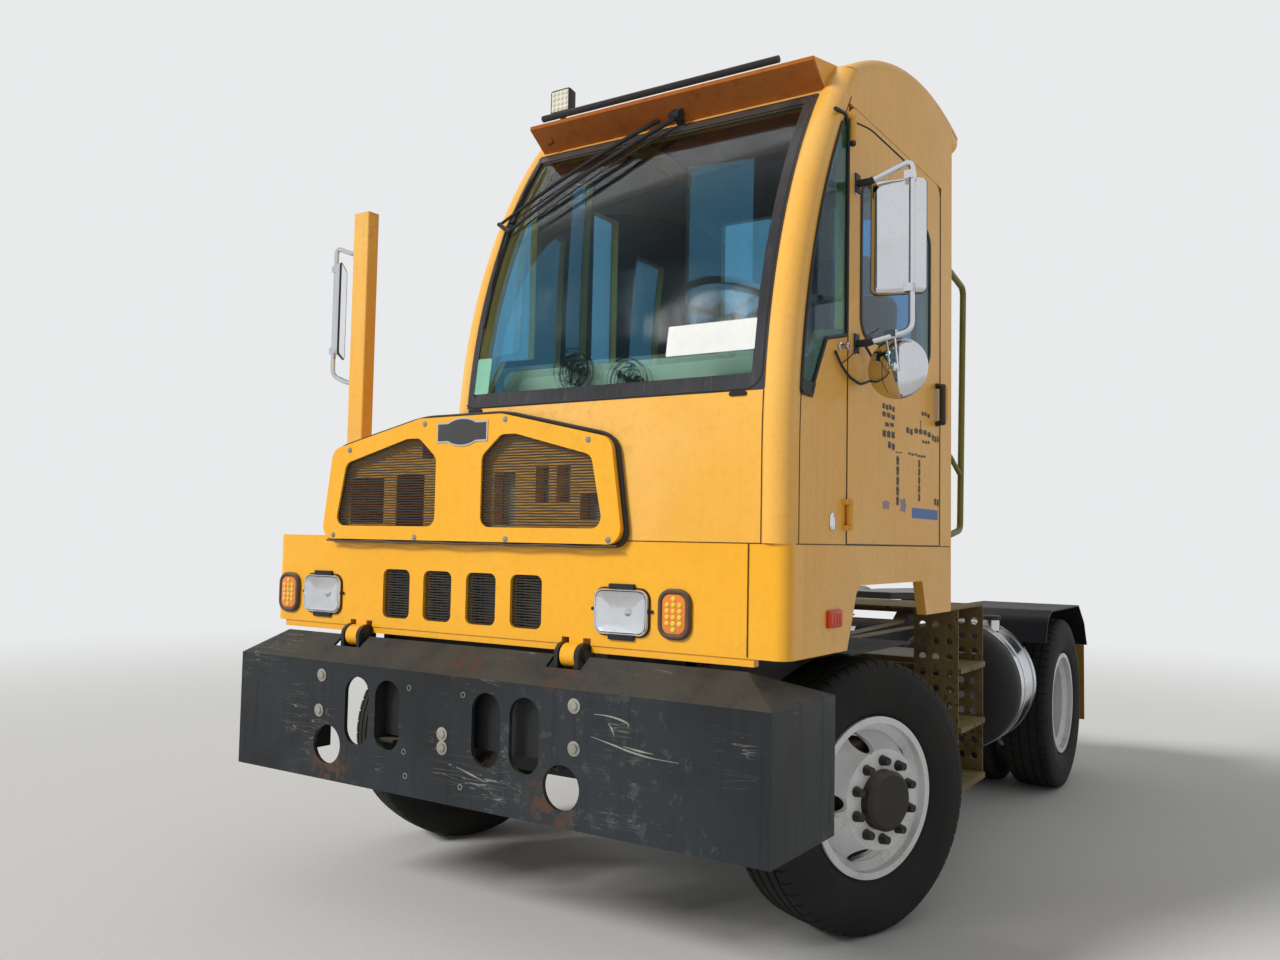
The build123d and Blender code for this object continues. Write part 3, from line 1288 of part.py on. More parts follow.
REBATE = GLASS_T + SEAT_GAP
RIGHT_WINDOW = (-165, 60, 2190, 2937)  # y low, y high, z low, z high
HINGE_PIN_R = 8
HINGE_R = 13
HINGE_Y = DOOR_FRONT_Y - SEAM_GAP
LOWER_HINGE = (1514, 1583)
UPPER_HINGE = (2850, 2928)
LUG_H = 18
with BuildPart() as side_panels:
    for x_low in (CAB_RIGHT_X, CAB_LEFT_X - WALL_T):
        with BuildSketch(side_plane(x_low)) as section:
            cab_side_outline(PILLAR_T + SEAT_GAP, ROOF_T + SEAT_GAP, CAB_FLOOR_Z, CAB_REAR_Y)
        extrude(section.sketch, amount=WALL_T)
    # Hinge lugs and pins for the left door
    for low, high in (
        (LOWER_HINGE[0] - 1 - LUG_H, LOWER_HINGE[0] - 1),
        (LOWER_HINGE[1] + 1, LOWER_HINGE[1] + 1 + LUG_H),
        (UPPER_HINGE[1] + 1, UPPER_HINGE[1] + 1 + LUG_H),
    ):
        with BuildSketch(level_plane(low)):
            with Locations((CAB_LEFT_X + HINGE_R + 1, HINGE_Y)):
                Circle(HINGE_R)
            with Locations((CAB_LEFT_X + HINGE_R / 2, HINGE_Y - 16)):
                Rectangle(HINGE_R + 3, 28)
        extrude(amount=high - low)
    hinge_x = CAB_LEFT_X + HINGE_R + 1
    rod((hinge_x, HINGE_Y, LOWER_HINGE[0] - 8), (hinge_x, HINGE_Y, LOWER_HINGE[1] + 8), HINGE_PIN_R)
    rod((hinge_x, HINGE_Y, UPPER_HINGE[0] + 20), (hinge_x, HINGE_Y, UPPER_HINGE[1] + 8), HINGE_PIN_R)
    # Quarter window openings
    for x_low in (CAB_RIGHT_X, CAB_LEFT_X - WALL_T):
        with BuildSketch(side_plane(x_low)) as section:
            quarter_outline(25)
        extrude(section.sketch, amount=WALL_T, mode=Mode.SUBTRACT)
    for x_low in (CAB_RIGHT_X, CAB_LEFT_X - REBATE):
        with BuildSketch(side_plane(x_low)) as section:
            quarter_outline(0)
        extrude(section.sketch, amount=REBATE, mode=Mode.SUBTRACT)
    # Door opening in the left wall
    box(
        (CAB_LEFT_X - WALL_T, CAB_LEFT_X),
        (DOOR_FRONT_Y - SEAM_GAP, DOOR_REAR_Y + SEAM_GAP),
        (CAB_FLOOR_Z, DOOR_TOP_Z + SEAM_GAP),
        Mode.SUBTRACT,
    )
    # Fixed window in the right wall
    y_low, y_high, z_low, z_high = RIGHT_WINDOW
    box((CAB_RIGHT_X, CAB_RIGHT_X + REBATE), (y_low, y_high), (z_low, z_high), Mode.SUBTRACT)
    box(
        (CAB_RIGHT_X, CAB_RIGHT_X + WALL_T),
        (y_low + 15, y_high - 15),
        (z_low + 15, z_high - 15),
        Mode.SUBTRACT,
    )
save(side_panels, "side_panels")

# Rear panel with its window, doorway and the sliding door's rails
REAR_WINDOW = (44, 420, 2150, 3050)  # x low, x high, z low, z high
DOORWAY = (REAR_DOOR_RIGHT_X + 20, REAR_DOOR_LEFT_X - 20, CAB_FLOOR_Z + FLOOR_T, REAR_DOOR_TOP - 25)
SLIDE_RAIL_Z = REAR_DOOR_TOP + 14
with BuildPart() as rear_panel:
    with BuildSketch(side_plane(CAB_RIGHT_X + WALL_T + SEAT_GAP)) as section:
        cab_side_outline(PILLAR_T + SEAT_GAP, ROOF_T + SEAT_GAP, CAB_FLOOR_Z, CAB_REAR_Y)
        with Locations((CAB_REAR_Y - WALL_T - 2000, 2400)):
            Rectangle(4000, 4000, mode=Mode.SUBTRACT)
    extrude(section.sketch, amount=CAB_LEFT_X - CAB_RIGHT_X - 2 * (WALL_T + SEAT_GAP))
    x_low, x_high, z_low, z_high = REAR_WINDOW
    box((x_low, x_high), (CAB_REAR_Y - REBATE, CAB_REAR_Y), (z_low, z_high), Mode.SUBTRACT)
    wall_y = (CAB_REAR_Y - WALL_T, CAB_REAR_Y)
    box((x_low + 15, x_high - 15), wall_y, (z_low + 15, z_high - 15), Mode.SUBTRACT)
    x_low, x_high, z_low, z_high = DOORWAY
    box((x_low, x_high), wall_y, (z_low, z_high), Mode.SUBTRACT)
    rail_x = (CAB_RIGHT_X + WALL_T + SEAT_GAP, REAR_DOOR_LEFT_X)
    guide_top = REAR_DOOR_BOTTOM - MOVE_GAP
    box(rail_x, (CAB_REAR_Y - 2, CAB_REAR_Y + 20), (SLIDE_RAIL_Z, SLIDE_RAIL_Z + 16))
    box(rail_x, (CAB_REAR_Y - 8, CAB_REAR_Y), (guide_top - 16, CAB_FLOOR_Z + 10))
    box(rail_x, (CAB_REAR_Y - 8, CAB_REAR_Y + 36), (guide_top - 16, guide_top))
save(rear_panel, "rear_panel")

# Roof: curved band over the cab with rounded side edges and a lip over the rear
ROOF_EDGE_R = 34
with BuildPart() as roof:
    with BuildSketch(side_plane(CAB_RIGHT_X)):
        with BuildLine():
            arc_about(ROOF_ARC_CENTRE, BROW_OUT, (ROOF_LIP_Y, roof_z(ROOF_LIP_Y)))
            Line((ROOF_LIP_Y, roof_z(ROOF_LIP_Y)), (ROOF_LIP_Y, roof_z(ROOF_LIP_Y, ROOF_T)))
            arc_about(ROOF_ARC_CENTRE, (ROOF_LIP_Y, roof_z(ROOF_LIP_Y, ROOF_T)), BROW_IN)
            Line(BROW_IN, BROW_OUT)
        make_face()
    extrude(amount=CAB_LEFT_X - CAB_RIGHT_X)
    fillet(
        roof.edges().filter_by(
            lambda e: abs((e @ 0.5).Z - roof_z((e @ 0.5).Y)) < 1
            and min(abs((e @ 0.5).X - CAB_LEFT_X), abs((e @ 0.5).X - CAB_RIGHT_X)) < 1
        ),
        ROOF_EDGE_R,
    )
save(roof, "roof")

# Visor: folded sheet over the windscreen with closed ends
VISOR_X = (-127, 1120)
VISOR_LIP = (-652, 3126)  # y, z
with BuildPart() as visor:
    with BuildSketch(side_plane(VISOR_X[0])) as section:
        with BuildLine():
            Polyline(
                VISOR_LIP,
                (-440, 3172),
                (-440, 3040),
                (-545, 3036),
                (VISOR_LIP[0], VISOR_LIP[1] - 14),
                close=True,
            )
        make_face()
        with BuildLine() as cab_line:
            corner = brow(-SEAT_GAP, -SEAT_GAP)
            bend = (CAB_FRONT_Y - SEAT_GAP, BEND_Z)
            top_rear = (CAB_REAR_Y, roof_z(CAB_REAR_Y, -SEAT_GAP))
            Polyline(bend, (CAB_REAR_Y, BEND_Z), top_rear)
            arc_about(ROOF_ARC_CENTRE, top_rear, corner)
            arc_about(FRONT_CENTRE, corner, bend)
        make_face(cab_line.edges(), mode=Mode.SUBTRACT)
    extrude(section.sketch, amount=VISOR_X[1] - VISOR_X[0])
save(visor, "visor")

# Cab floor with the seat's pedestal
SEAT_X = 813
with BuildPart() as cab_floor:
    box(
        (CAB_RIGHT_X + WALL_T, CAB_LEFT_X - WALL_T),
        (CAB_FRONT_Y + PILLAR_T, CAB_REAR_Y - WALL_T),
        (CAB_FLOOR_Z, CAB_FLOOR_Z + FLOOR_T),
    )
    with BuildSketch(level_plane(CAB_FLOOR_Z + FLOOR_T)):
        with Locations((SEAT_X, 90)):
            RectangleRounded(360, 380, 40)
    extrude(amount=350, taper=4)
save(cab_floor, "cab_floor")

# Seat: cushion, back and headrest
SEAT_Z = CAB_FLOOR_Z + FLOOR_T + 350 + SEAT_GAP
with BuildPart() as seat:
    box((SEAT_X - 250, SEAT_X + 250), (-150, 340), (SEAT_Z, SEAT_Z + 120))
    box((SEAT_X - 240, SEAT_X + 240), (300, 420), (SEAT_Z + 60, SEAT_Z + 700))
    box((SEAT_X - 140, SEAT_X + 140), (320, 410), (SEAT_Z + 690, SEAT_Z + 880))
    fillet(seat.edges().filter_by(Axis.X, reverse=True).group_by(Axis.Z)[-1], 25)
save(seat, "seat")

# Dash under the windscreen with the steering column
WHEEL_CENTRE = Vector(760, -500, 2250)
WHEEL_UP = Vector(0, 0.5, 0.866).normalized()
DASH_X = (CAB_RIGHT_X + WALL_T, CAB_LEFT_X - WALL_T)
COLUMN_R = 34
with BuildPart() as dash:
    with BuildSketch(side_plane(DASH_X[0])):
        with BuildLine():
            Polyline(
                (CAB_FRONT_Y + PILLAR_T, CAB_FLOOR_Z + FLOOR_T),
                (CAB_FRONT_Y + PILLAR_T, BEND_Z),
                (front_y(1890, PILLAR_T) + SEAT_GAP, 1890),
                (-860, 1915),
                (-700, 1905),
                (-640, 1840),
                (-660, 1760),
                (-790, 1640),
                (-800, CAB_FLOOR_Z + FLOOR_T),
                close=True,
            )
        make_face()
    extrude(amount=DASH_X[1] - DASH_X[0])
    rod(WHEEL_CENTRE - WHEEL_UP * 460, WHEEL_CENTRE - WHEEL_UP * 30.3, COLUMN_R)
save(dash, "dash")

# Steering wheel: rim, hub and three spokes
STEERING_R = 225
with BuildPart() as steering_wheel:
    wheel_plane = Plane(origin=WHEEL_CENTRE, x_dir=(1, 0, 0), z_dir=WHEEL_UP)
    with BuildSketch(Plane(origin=WHEEL_CENTRE, x_dir=(1, 0, 0), z_dir=wheel_plane.y_dir)) as section:
        with Locations((STEERING_R - 14, 0)):
            Circle(14)
    revolve(section.sketch, axis=Axis(WHEEL_CENTRE, WHEEL_UP))
    rod(WHEEL_CENTRE - WHEEL_UP * 30, WHEEL_CENTRE + WHEEL_UP * 14, 55)
    for angle in (90, 210, 330):
        way = wheel_plane.x_dir * cos(radians(angle)) + wheel_plane.y_dir * sin(radians(angle))
        rod(WHEEL_CENTRE, WHEEL_CENTRE + way * (STEERING_R - 14), 11)
save(steering_wheel, "steering_wheel")

# Lamps: headlamps with the square work lamp on the visor, then the amber ones
HEADLAMPS = ((590, 1208), (-898, 1206))  # x, z
AMBER = ((799, 1211), (-1105, 1204))  # x, z
HEADLAMP_SIZE = (208, 146, 28)  # width, height, corner radius
AMBER_SIZE = (124, 164, 46)
MARKER = (-623, 1201, 125, 60)  # y, z, length, height
WORK_LAMP = (-30, -560, 3190)
WORK_LAMP_SEAT = 3149
with BuildPart() as headlamps:
    for x, z in HEADLAMPS:
        with BuildSketch(front_plane(CAB_FRONT_Y)):
            with Locations((x, z)):
                RectangleRounded(*HEADLAMP_SIZE)
        extrude(amount=16, taper=12)
    x, y, z = WORK_LAMP
    with BuildSketch(front_plane(y + 25)):
        with Locations((x, z + 50)):
            RectangleRounded(100, 100, 14)
    extrude(amount=50)
    box((x - 12, x + 12), (y - 12, y + 12), (WORK_LAMP_SEAT, z + 10))
save(headlamps, "headlamps")
with BuildPart() as amber_lamps:
    for x, z in AMBER:
        with BuildSketch(front_plane(CAB_FRONT_Y)):
            with Locations((x, z)):
                RectangleRounded(*AMBER_SIZE)
        extrude(amount=18, taper=10)
    for side in SIDES:
        x_low, x_high = sorted((side * BODY_HALF, side * (BODY_HALF + 10)))
        box(
            (x_low, x_high),
            (MARKER[0] - MARKER[2] / 2, MARKER[0] + MARKER[2] / 2),
            (MARKER[1] - MARKER[3] / 2, MARKER[1] + MARKER[3] / 2),
        )
save(amber_lamps, "amber_lamps")

# Right mirror's post and mirror
POST_X = (-1010, -915)
POST_Y = (-785, -723)
POST_TOP = 2865
with BuildPart() as mirror_post:
    box(POST_X, POST_Y, (CAB_FLOOR_Z, POST_TOP))
    fillet(mirror_post.edges().filter_by(Axis.Z), 8)
save(mirror_post, "mirror_post")


def mirror_head(centre, normal, width, height, thick):
    """Mirror head as a rounded slab about its centre, facing along its normal."""
    plane = Plane(origin=Vector(*centre), x_dir=Vector(*normal).cross(Vector(0, 0, 1)), z_dir=normal)
    with BuildSketch(plane.offset(-thick / 2)) as section:
        RectangleRounded(width, height, 22)
    extrude(section.sketch, amount=thick)


MIRROR_W = 190
MIRROR_H = 410
ARM_R = 11
with BuildPart() as mirror_right:
    bent_tube(
        [
            (POST_X[0] - SEAT_GAP, -754, 2700),
            (POST_X[0] - 40, -754, 2700),
            (-1150, -754, 2740),
            (-1150, -754, 2160),
            (POST_X[0] - 40, -754, 2120),
            (POST_X[0] - SEAT_GAP, -754, 2120),
        ],
        28,
        ARM_R,
    )
    mirror_head((-1133, -740, 2450), (0.75, 0.66, 0), MIRROR_W, MIRROR_H, 26)
save(mirror_right, "mirror_right")

# Grab rail at the cab's rear left corner
RAIL_X = 1176
RAIL_TUBE_R = 14
with BuildPart() as grab_rail:
    start_y = CAB_REAR_Y + SEAT_GAP
    bent_tube(
        [
            (RAIL_X, start_y, 2676),
            (RAIL_X, start_y + 50, 2676),
            (RAIL_X, 930, 2640),
            (RAIL_X, 888, 1523),
            (RAIL_X, start_y + 50, 1497),
            (RAIL_X, start_y, 1497),
        ],
        40,
        RAIL_TUBE_R,
    )
    brace = [(RAIL_X, start_y, 1847), (RAIL_X, start_y + 60, 1847), (RAIL_X, 896, 1770)]
    bent_tube(brace, 40, RAIL_TUBE_R - 3)
save(grab_rail, "grab_rail")

# Left door: flat panel with its window, hinge barrels and pull handle
with BuildPart() as door_left:
    y_low, y_high, z_low, z_high = DOOR_WINDOW
    box((CAB_LEFT_X - WALL_T, CAB_LEFT_X), (DOOR_FRONT_Y, DOOR_REAR_Y), (CAB_FLOOR_Z + SEAM_GAP, DOOR_TOP_Z))
    fillet(door_left.edges().filter_by(Axis.X).group_by(Axis.Z)[-1], 60)
    with BuildSketch(side_plane(CAB_LEFT_X - REBATE)):
        with Locations(((y_low + y_high) / 2, (z_low + z_high) / 2)):
            RectangleRounded(y_high - y_low, z_high - z_low, 70)
    extrude(amount=REBATE, mode=Mode.SUBTRACT)
    with BuildSketch(side_plane(CAB_LEFT_X - WALL_T)):
        with Locations(((y_low + y_high) / 2, (z_low + z_high) / 2)):
            RectangleRounded(y_high - y_low - 40, z_high - z_low - 40, 50)
    extrude(amount=WALL_T, mode=Mode.SUBTRACT)
    for low, high in (LOWER_HINGE, UPPER_HINGE):
        with BuildSketch(level_plane(low)):
            with Locations((hinge_x, HINGE_Y)):
                Circle(HINGE_R)
            with Locations((CAB_LEFT_X + HINGE_R / 2, HINGE_Y + 20)):
                Rectangle(HINGE_R + 3, 30)
        extrude(amount=high - low)
        rod((hinge_x, HINGE_Y, low), (hinge_x, HINGE_Y, high), HINGE_PIN_R + PIN_GAP, Mode.SUBTRACT)
    handle_x = (CAB_LEFT_X - 2, CAB_LEFT_X + 42)
    handle = [(handle_x[0], 1962), (handle_x[1], 1972), (handle_x[1], 2114), (handle_x[0], 2124)]
    bent_tube([(x, 462, z) for x, z in handle], 14, 9)
save(door_left, "door_left")

# Left mirror on the door: tube arm, rectangular head and round spot mirror
with BuildPart() as mirror_left:
    bent_tube(
        [
            (CAB_LEFT_X + SEAT_GAP, -455, 2720),
            (CAB_LEFT_X + 50, -455, 2720),
            (1385, -400, 2790),
            (1385, -400, 2190),
            (CAB_LEFT_X + 50, -455, 2150),
            (CAB_LEFT_X + SEAT_GAP, -455, 2150),
        ],
        30,
        ARM_R,
    )
    mirror_head((1334, -392, 2530), (-0.26, 0.966, 0), MIRROR_W, MIRROR_H, 26)
    rod((1385, -400, 2240), (1345, -385, 2070), 8)
    rod((1330, -400, 2065), (1330, -375, 2065), 108)
save(mirror_left, "mirror_left")

# Fixed glass: windscreen, quarter windows, right wall window and rear window
with BuildPart() as cab_glass:
    add(screen_sheet(GLASS_DEPTH, GLASS_DEPTH + GLASS_T, 0))
    for x_low in (CAB_RIGHT_X, CAB_LEFT_X - GLASS_T):
        with BuildSketch(side_plane(x_low)) as section:
            quarter_outline(SEAT_GAP)
        extrude(section.sketch, amount=GLASS_T)
    y_low, y_high, z_low, z_high = RIGHT_WINDOW
    box(
        (CAB_RIGHT_X, CAB_RIGHT_X + GLASS_T),
        (y_low + SEAT_GAP, y_high - SEAT_GAP),
        (z_low + SEAT_GAP, z_high - SEAT_GAP),
    )
    x_low, x_high, z_low, z_high = REAR_WINDOW
    box(
        (x_low + SEAT_GAP, x_high - SEAT_GAP),
        (CAB_REAR_Y - GLASS_T, CAB_REAR_Y),
        (z_low + SEAT_GAP, z_high - SEAT_GAP),
    )
save(cab_glass, "cab_glass")

# Window of the left door
with BuildPart() as door_glass:
    y_low, y_high, z_low, z_high = DOOR_WINDOW
    with BuildSketch(side_plane(CAB_LEFT_X - GLASS_T)):
        with Locations(((y_low + y_high) / 2, (z_low + z_high) / 2)):
            RectangleRounded(y_high - y_low - 2 * SEAT_GAP, z_high - z_low - 2 * SEAT_GAP, 70 - SEAT_GAP)
    extrude(amount=GLASS_T)
save(door_glass, "door_glass")

# Rear sliding door, hung on its rail, and its window
REAR_DOOR_Y = CAB_REAR_Y + MOVE_GAP
REAR_DOOR_WINDOW = (REAR_DOOR_RIGHT_X + 110, REAR_DOOR_LEFT_X - 110, 2150, 2980)
with BuildPart() as rear_door:
    box(
        (REAR_DOOR_RIGHT_X, REAR_DOOR_LEFT_X),
        (REAR_DOOR_Y, REAR_DOOR_Y + REAR_DOOR_T),
        (REAR_DOOR_BOTTOM, REAR_DOOR_TOP),
    )
    x_low, x_high, z_low, z_high = REAR_DOOR_WINDOW
    outer_y = REAR_DOOR_Y + REAR_DOOR_T
    box((x_low, x_high), (outer_y - REBATE, outer_y), (z_low, z_high), Mode.SUBTRACT)
    box(
        (x_low + 15, x_high - 15),
        (REAR_DOOR_Y, REAR_DOOR_Y + REAR_DOOR_T),
        (z_low + 15, z_high - 15),
        Mode.SUBTRACT,
    )
    hook = SLIDE_RAIL_Z + 16 + SEAT_GAP
    for x in (REAR_DOOR_RIGHT_X + 60, REAR_DOOR_LEFT_X - 60):
        hanger_y = (CAB_REAR_Y + 20 + 5, REAR_DOOR_Y + REAR_DOOR_T)
        box((x - 40, x + 40), hanger_y, (REAR_DOOR_TOP - 5, hook + 10))
        box((x - 40, x + 40), (CAB_REAR_Y + 3, CAB_REAR_Y + 26), (hook, hook + 10))
save(rear_door, "rear_door")
with BuildPart() as rear_door_glass:
    box(
        (x_low + SEAT_GAP, x_high - SEAT_GAP),
        (REAR_DOOR_Y + REAR_DOOR_T - GLASS_T, REAR_DOOR_Y + REAR_DOOR_T),
        (z_low + SEAT_GAP, z_high - SEAT_GAP),
    )
save(rear_door_glass, "rear_door_glass")

# Move the whole machine to the row's origin and write each piece
lowest = Vector(*[min(getattr(piece.bounding_box().min, axis) for piece in finished) for axis in "XYZ"])
highest = Vector(*[max(getattr(piece.bounding_box().max, axis) for piece in finished) for axis in "XYZ"])
row_origin = Location((-(lowest.X + highest.X) / 2, -(lowest.Y + highest.Y) / 2, 0))
for piece in finished:
    shifted = piece.moved(row_origin)
    shifted.label = piece.label
    export_step(shifted, f"parts/{piece.label}.step")
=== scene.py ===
"""Looks of a terminal tractor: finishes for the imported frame, and its tyres, lamps, glass and trim.

Sizes are millimetres on the machine's own axes: x to the driver's left from the middle of the
rails, y backwards from the front axle, z up from the ground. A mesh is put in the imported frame,
in metres, when it is shown. A sheet is drawn in two of the axes.
"""

import json
import logging
import math
from dataclasses import dataclass, field
from enum import Enum
from typing import Callable, Sequence

import bmesh
import bpy
import numpy as np
from mathutils import Matrix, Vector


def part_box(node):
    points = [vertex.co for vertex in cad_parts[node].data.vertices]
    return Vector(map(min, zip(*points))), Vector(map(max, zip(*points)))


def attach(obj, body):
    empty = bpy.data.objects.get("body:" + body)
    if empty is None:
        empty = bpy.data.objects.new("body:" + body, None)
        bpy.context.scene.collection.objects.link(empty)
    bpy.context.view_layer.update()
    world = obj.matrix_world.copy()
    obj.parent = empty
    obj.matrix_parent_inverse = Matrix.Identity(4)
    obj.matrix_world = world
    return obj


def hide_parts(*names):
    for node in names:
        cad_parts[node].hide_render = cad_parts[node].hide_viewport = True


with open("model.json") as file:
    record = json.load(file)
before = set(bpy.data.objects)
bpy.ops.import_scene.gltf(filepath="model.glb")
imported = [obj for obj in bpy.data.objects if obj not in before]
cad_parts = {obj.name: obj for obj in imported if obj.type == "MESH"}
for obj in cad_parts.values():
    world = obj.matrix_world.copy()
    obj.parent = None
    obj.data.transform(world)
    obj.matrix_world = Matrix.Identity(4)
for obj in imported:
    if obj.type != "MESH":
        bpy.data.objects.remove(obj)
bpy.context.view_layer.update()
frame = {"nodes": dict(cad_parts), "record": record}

MM = 0.001
PHOTO_WIDTH = 1280
Pair = tuple[float, float]
Triple = tuple[float, float, float]
Floats = tuple[float, ...]
Pairs = tuple[Pair, ...]
Line = tuple[Triple, ...]
Array = np.ndarray
Place = Callable[[Array, Array, Array], Array]
Node = bpy.types.Node
Socket = bpy.types.NodeSocket
AHEAD, BACK, UP, SIDE = (0, -1, 0), (0, 1, 0), (0, 0, 1), (1, 0, 0)
UNDER_HALF = 0.49  # the most of a leg that a path's bend takes
USUAL_SLOT = {"rubber_black": "mesh_black", "chrome": "mirror_chrome"}  # slot of a finish where none is named
log = logging.getLogger("terminal_tractor")


def middle(node: str, axis: int) -> float:
    """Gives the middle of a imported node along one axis, in metres."""
    low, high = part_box(node)
    return (low[axis] + high[axis]) / 2


HOME = np.array([middle("frame_rails", 0), middle("front_axle", 1), 0.0])


class Body(Enum):
    """Bodies of the frame that the pieces ride on."""

    CHASSIS = "chassis"
    CAB = "cab"
    DOOR = "door_left"
    REAR_DOOR = "rear_door"
    FRONT_WHEEL_LEFT = "wheel_front_left"
    FRONT_WHEEL_RIGHT = "wheel_front_right"
    REAR_WHEEL_LEFT = "wheel_rear_left"
    REAR_WHEEL_RIGHT = "wheel_rear_right"


class Tread(Enum):
    """Tread patterns, each with the distance from the middle at which its cross cuts start."""

    RIB = 84
    BLOCK = 34


# Shapes


@dataclass
class Shape:
    """A closed mesh in millimetres: its points, its quads and the flat faces that close its ends."""

    points: Array
    quads: Array
    caps: list[Array] = field(default_factory=list)


def joined(shapes: Sequence[Shape]) -> Shape:
    """Puts several shapes in one, their point numbers following on.

    Args:
        shapes: The shapes to join.

    Returns:
        One shape with the points of all.
    """
    starts = np.cumsum([0] + [len(shape.points) for shape in shapes])
    quads = np.vstack([shape.quads + start for shape, start in zip(shapes, starts)])
    caps = [cap + start for shape, start in zip(shapes, starts) for cap in shape.caps]
    return Shape(np.vstack([shape.points for shape in shapes]), quads, caps)


def skin(grid: Array, wrap_rows: bool = False) -> Shape:
    """Joins a grid of points with quads: each takes two neighbours of a row and the same two of the next.

    Columns always close on themselves. Rows close too, or each end row gets one flat face.

    Args:
        grid: Points as (rows, columns, 3).
        wrap_rows: Whether the last row joins the first.

    Returns:
        The closed shape.
    """
    rows, columns, _ = grid.shape
    index = np.arange(rows * columns).reshape(rows, columns)
    near = index if wrap_rows else index[:-1]
    far = np.roll(index, -1, axis=0) if wrap_rows else index[1:]
    quads = np.stack([near, np.roll(near, -1, 1), np.roll(far, -1, 1), far], -1).reshape(-1, 4)
    caps = [] if wrap_rows else [index[0][::-1], index[-1]]
    return Shape(grid.reshape(-1, 3), quads, caps)


def around(steps: int) -> Array:
    """Gives the angles of a full turn cut into equal steps."""
    return np.linspace(0, 2 * np.pi, steps, endpoint=False)


@dataclass(frozen=True)
class Flat:
    """A flat drawing sheet: a point is origin + a u + b v + h (u x v)."""

    origin: Triple
    u: Triple
    v: Triple = UP

    def __call__(self, a: Array, b: Array, h: Array) -> Array:
        """Gives the points, x, y and z last, for places a, b on the sheet at height h."""
        a, b, h = (np.asarray(value, float)[..., None] for value in (a, b, h))
        return self.origin + a * self.u + b * self.v + h * np.cross(self.u, self.v)


@dataclass(frozen=True)
class FrontArc:
    """The cab's front: upright below the bend and an arc above it, drawn in x and z."""

    centre_y: float = 1227
    bend_z: float = 1750
    radius: float = 2200

    def __call__(self, a: Array, b: Array, h: Array) -> Array:
        """Puts (x, z) on the arc and pushes it out by h along the arc's own radius.

        Args:
            a: Places along x.
            b: Places along z.
            h: Heights over the face.

        Returns:
            Points with x, y and z last.
        """
        a, b, h = np.broadcast_arrays(a, b, h)
        lean = np.arcsin(np.clip(b - self.bend_z, 0, None) / self.radius)
        return np.stack([a, self.centre_y - (self.radius + h) * np.cos(lean), b + h * np.sin(lean)], -1)


ARC = FrontArc()


def front(y: float) -> Flat:
    """A sheet facing forwards at y, drawn in x and z."""
    return Flat((0, y, 0), SIDE)


def left(x: float) -> Flat:
    """A sheet facing the driver's left at x, drawn in y and z."""
    return Flat((x, 0, 0), BACK)


def right(x: float) -> Flat:
    """A sheet facing the driver's right at x, drawn in minus y and z."""
    return Flat((x, 0, 0), AHEAD)


def rear(y: float) -> Flat:
    """A sheet facing backwards at y, drawn in minus x and z."""
    return Flat((0, y, 0), (-1, 0, 0))


def top(z: float) -> Flat:
    """A sheet facing up at z, drawn in x and y."""
    return Flat((0, 0, z), SIDE, BACK)


@dataclass(frozen=True)
class RoundRect:
    """A rectangle with rounded corners, by its limits."""

    a_low: float
    a_high: float
    b_low: float
    b_high: float
    radius: float

    @classmethod
    def about(cls, a: float, b: float, width: float, height: float, radius: float) -> "RoundRect":
        """Makes one about its middle."""
        return cls(a - width / 2, a + width / 2, b - height / 2, b + height / 2, radius)

    def inset(self, by: float) -> "RoundRect":
        """Moves every side in, or out where by is negative."""
        limits = self.a_low + by, self.a_high - by, self.b_low + by, self.b_high - by
        return RoundRect(*limits, max(self.radius - by, 0.5))

    def outline(self, corner_steps: int = 6, side_steps: int = 1) -> Array:
        """Walks round the edge: four quarter circles about the corner centres, joined by straight sides.

        Args:
            corner_steps: Points on each quarter circle.
            side_steps: Parts that each straight side is cut into.

        Returns:
            Points as (n, 2).
        """
        turn = np.linspace(0, np.pi / 2, corner_steps)[None] + np.arange(4)[:, None] * np.pi / 2
        r = min(self.radius, (self.a_high - self.a_low) / 2, (self.b_high - self.b_low) / 2)
        a = np.array([self.a_high - r, self.a_low + r, self.a_low + r, self.a_high - r])[:, None]
        b = np.array([self.b_high - r, self.b_high - r, self.b_low + r, self.b_low + r])[:, None]
        ring = np.stack([a + r * np.cos(turn), b + r * np.sin(turn)], -1).reshape(-1, 2)
        ring = np.vstack([ring, ring[:1]])
        sides = corner_steps - 1 + np.arange(side_steps) / side_steps
        steps = np.concatenate([np.arange(corner_steps - 1), sides])
        at = (steps[None] + np.arange(4)[:, None] * corner_steps).ravel()
        return np.stack([np.interp(at, np.arange(len(ring)), ring[:, axis]) for axis in (0, 1)], -1)


def stacked(
    rings: Sequence[tuple[RoundRect, float]], place: Place, steps: int, sides: int, wrap: bool
) -> Shape:
    """Skins outlines that stand over a sheet, one ring for each outline and its height.

    Args:
        rings: Pairs of outline and height.
        place: Puts sheet places in space.
        steps: Points on a corner.
        sides: Parts of a straight side.
        wrap: Whether the last ring joins the first.

    Returns:
        The closed shape.
    """
    drawn = [(rect.outline(steps, sides), height) for rect, height in rings]
    return skin(np.stack([place(ring[:, 0], ring[:, 1], height) for ring, height in drawn]), wrap)


def slab(rect: RoundRect, profile: Pairs, place: Place, steps: int = 6, sides: int = 1) -> Shape:
    """Stacks the outline, drawn in by each inset of the profile, at each height, and closes both ends."""
    return stacked([(rect.inset(inset), height) for inset, height in profile], place, steps, sides, False)


def band(outer: RoundRect, inner: RoundRect, low: float, high: float, place: Place, sides: int = 1) -> Shape:
    """Makes a flat ring between two outlines and two heights, as four rings of points that wrap."""
    return stacked(((outer, low), (outer, high), (inner, high), (inner, low)), place, 8, sides, True)


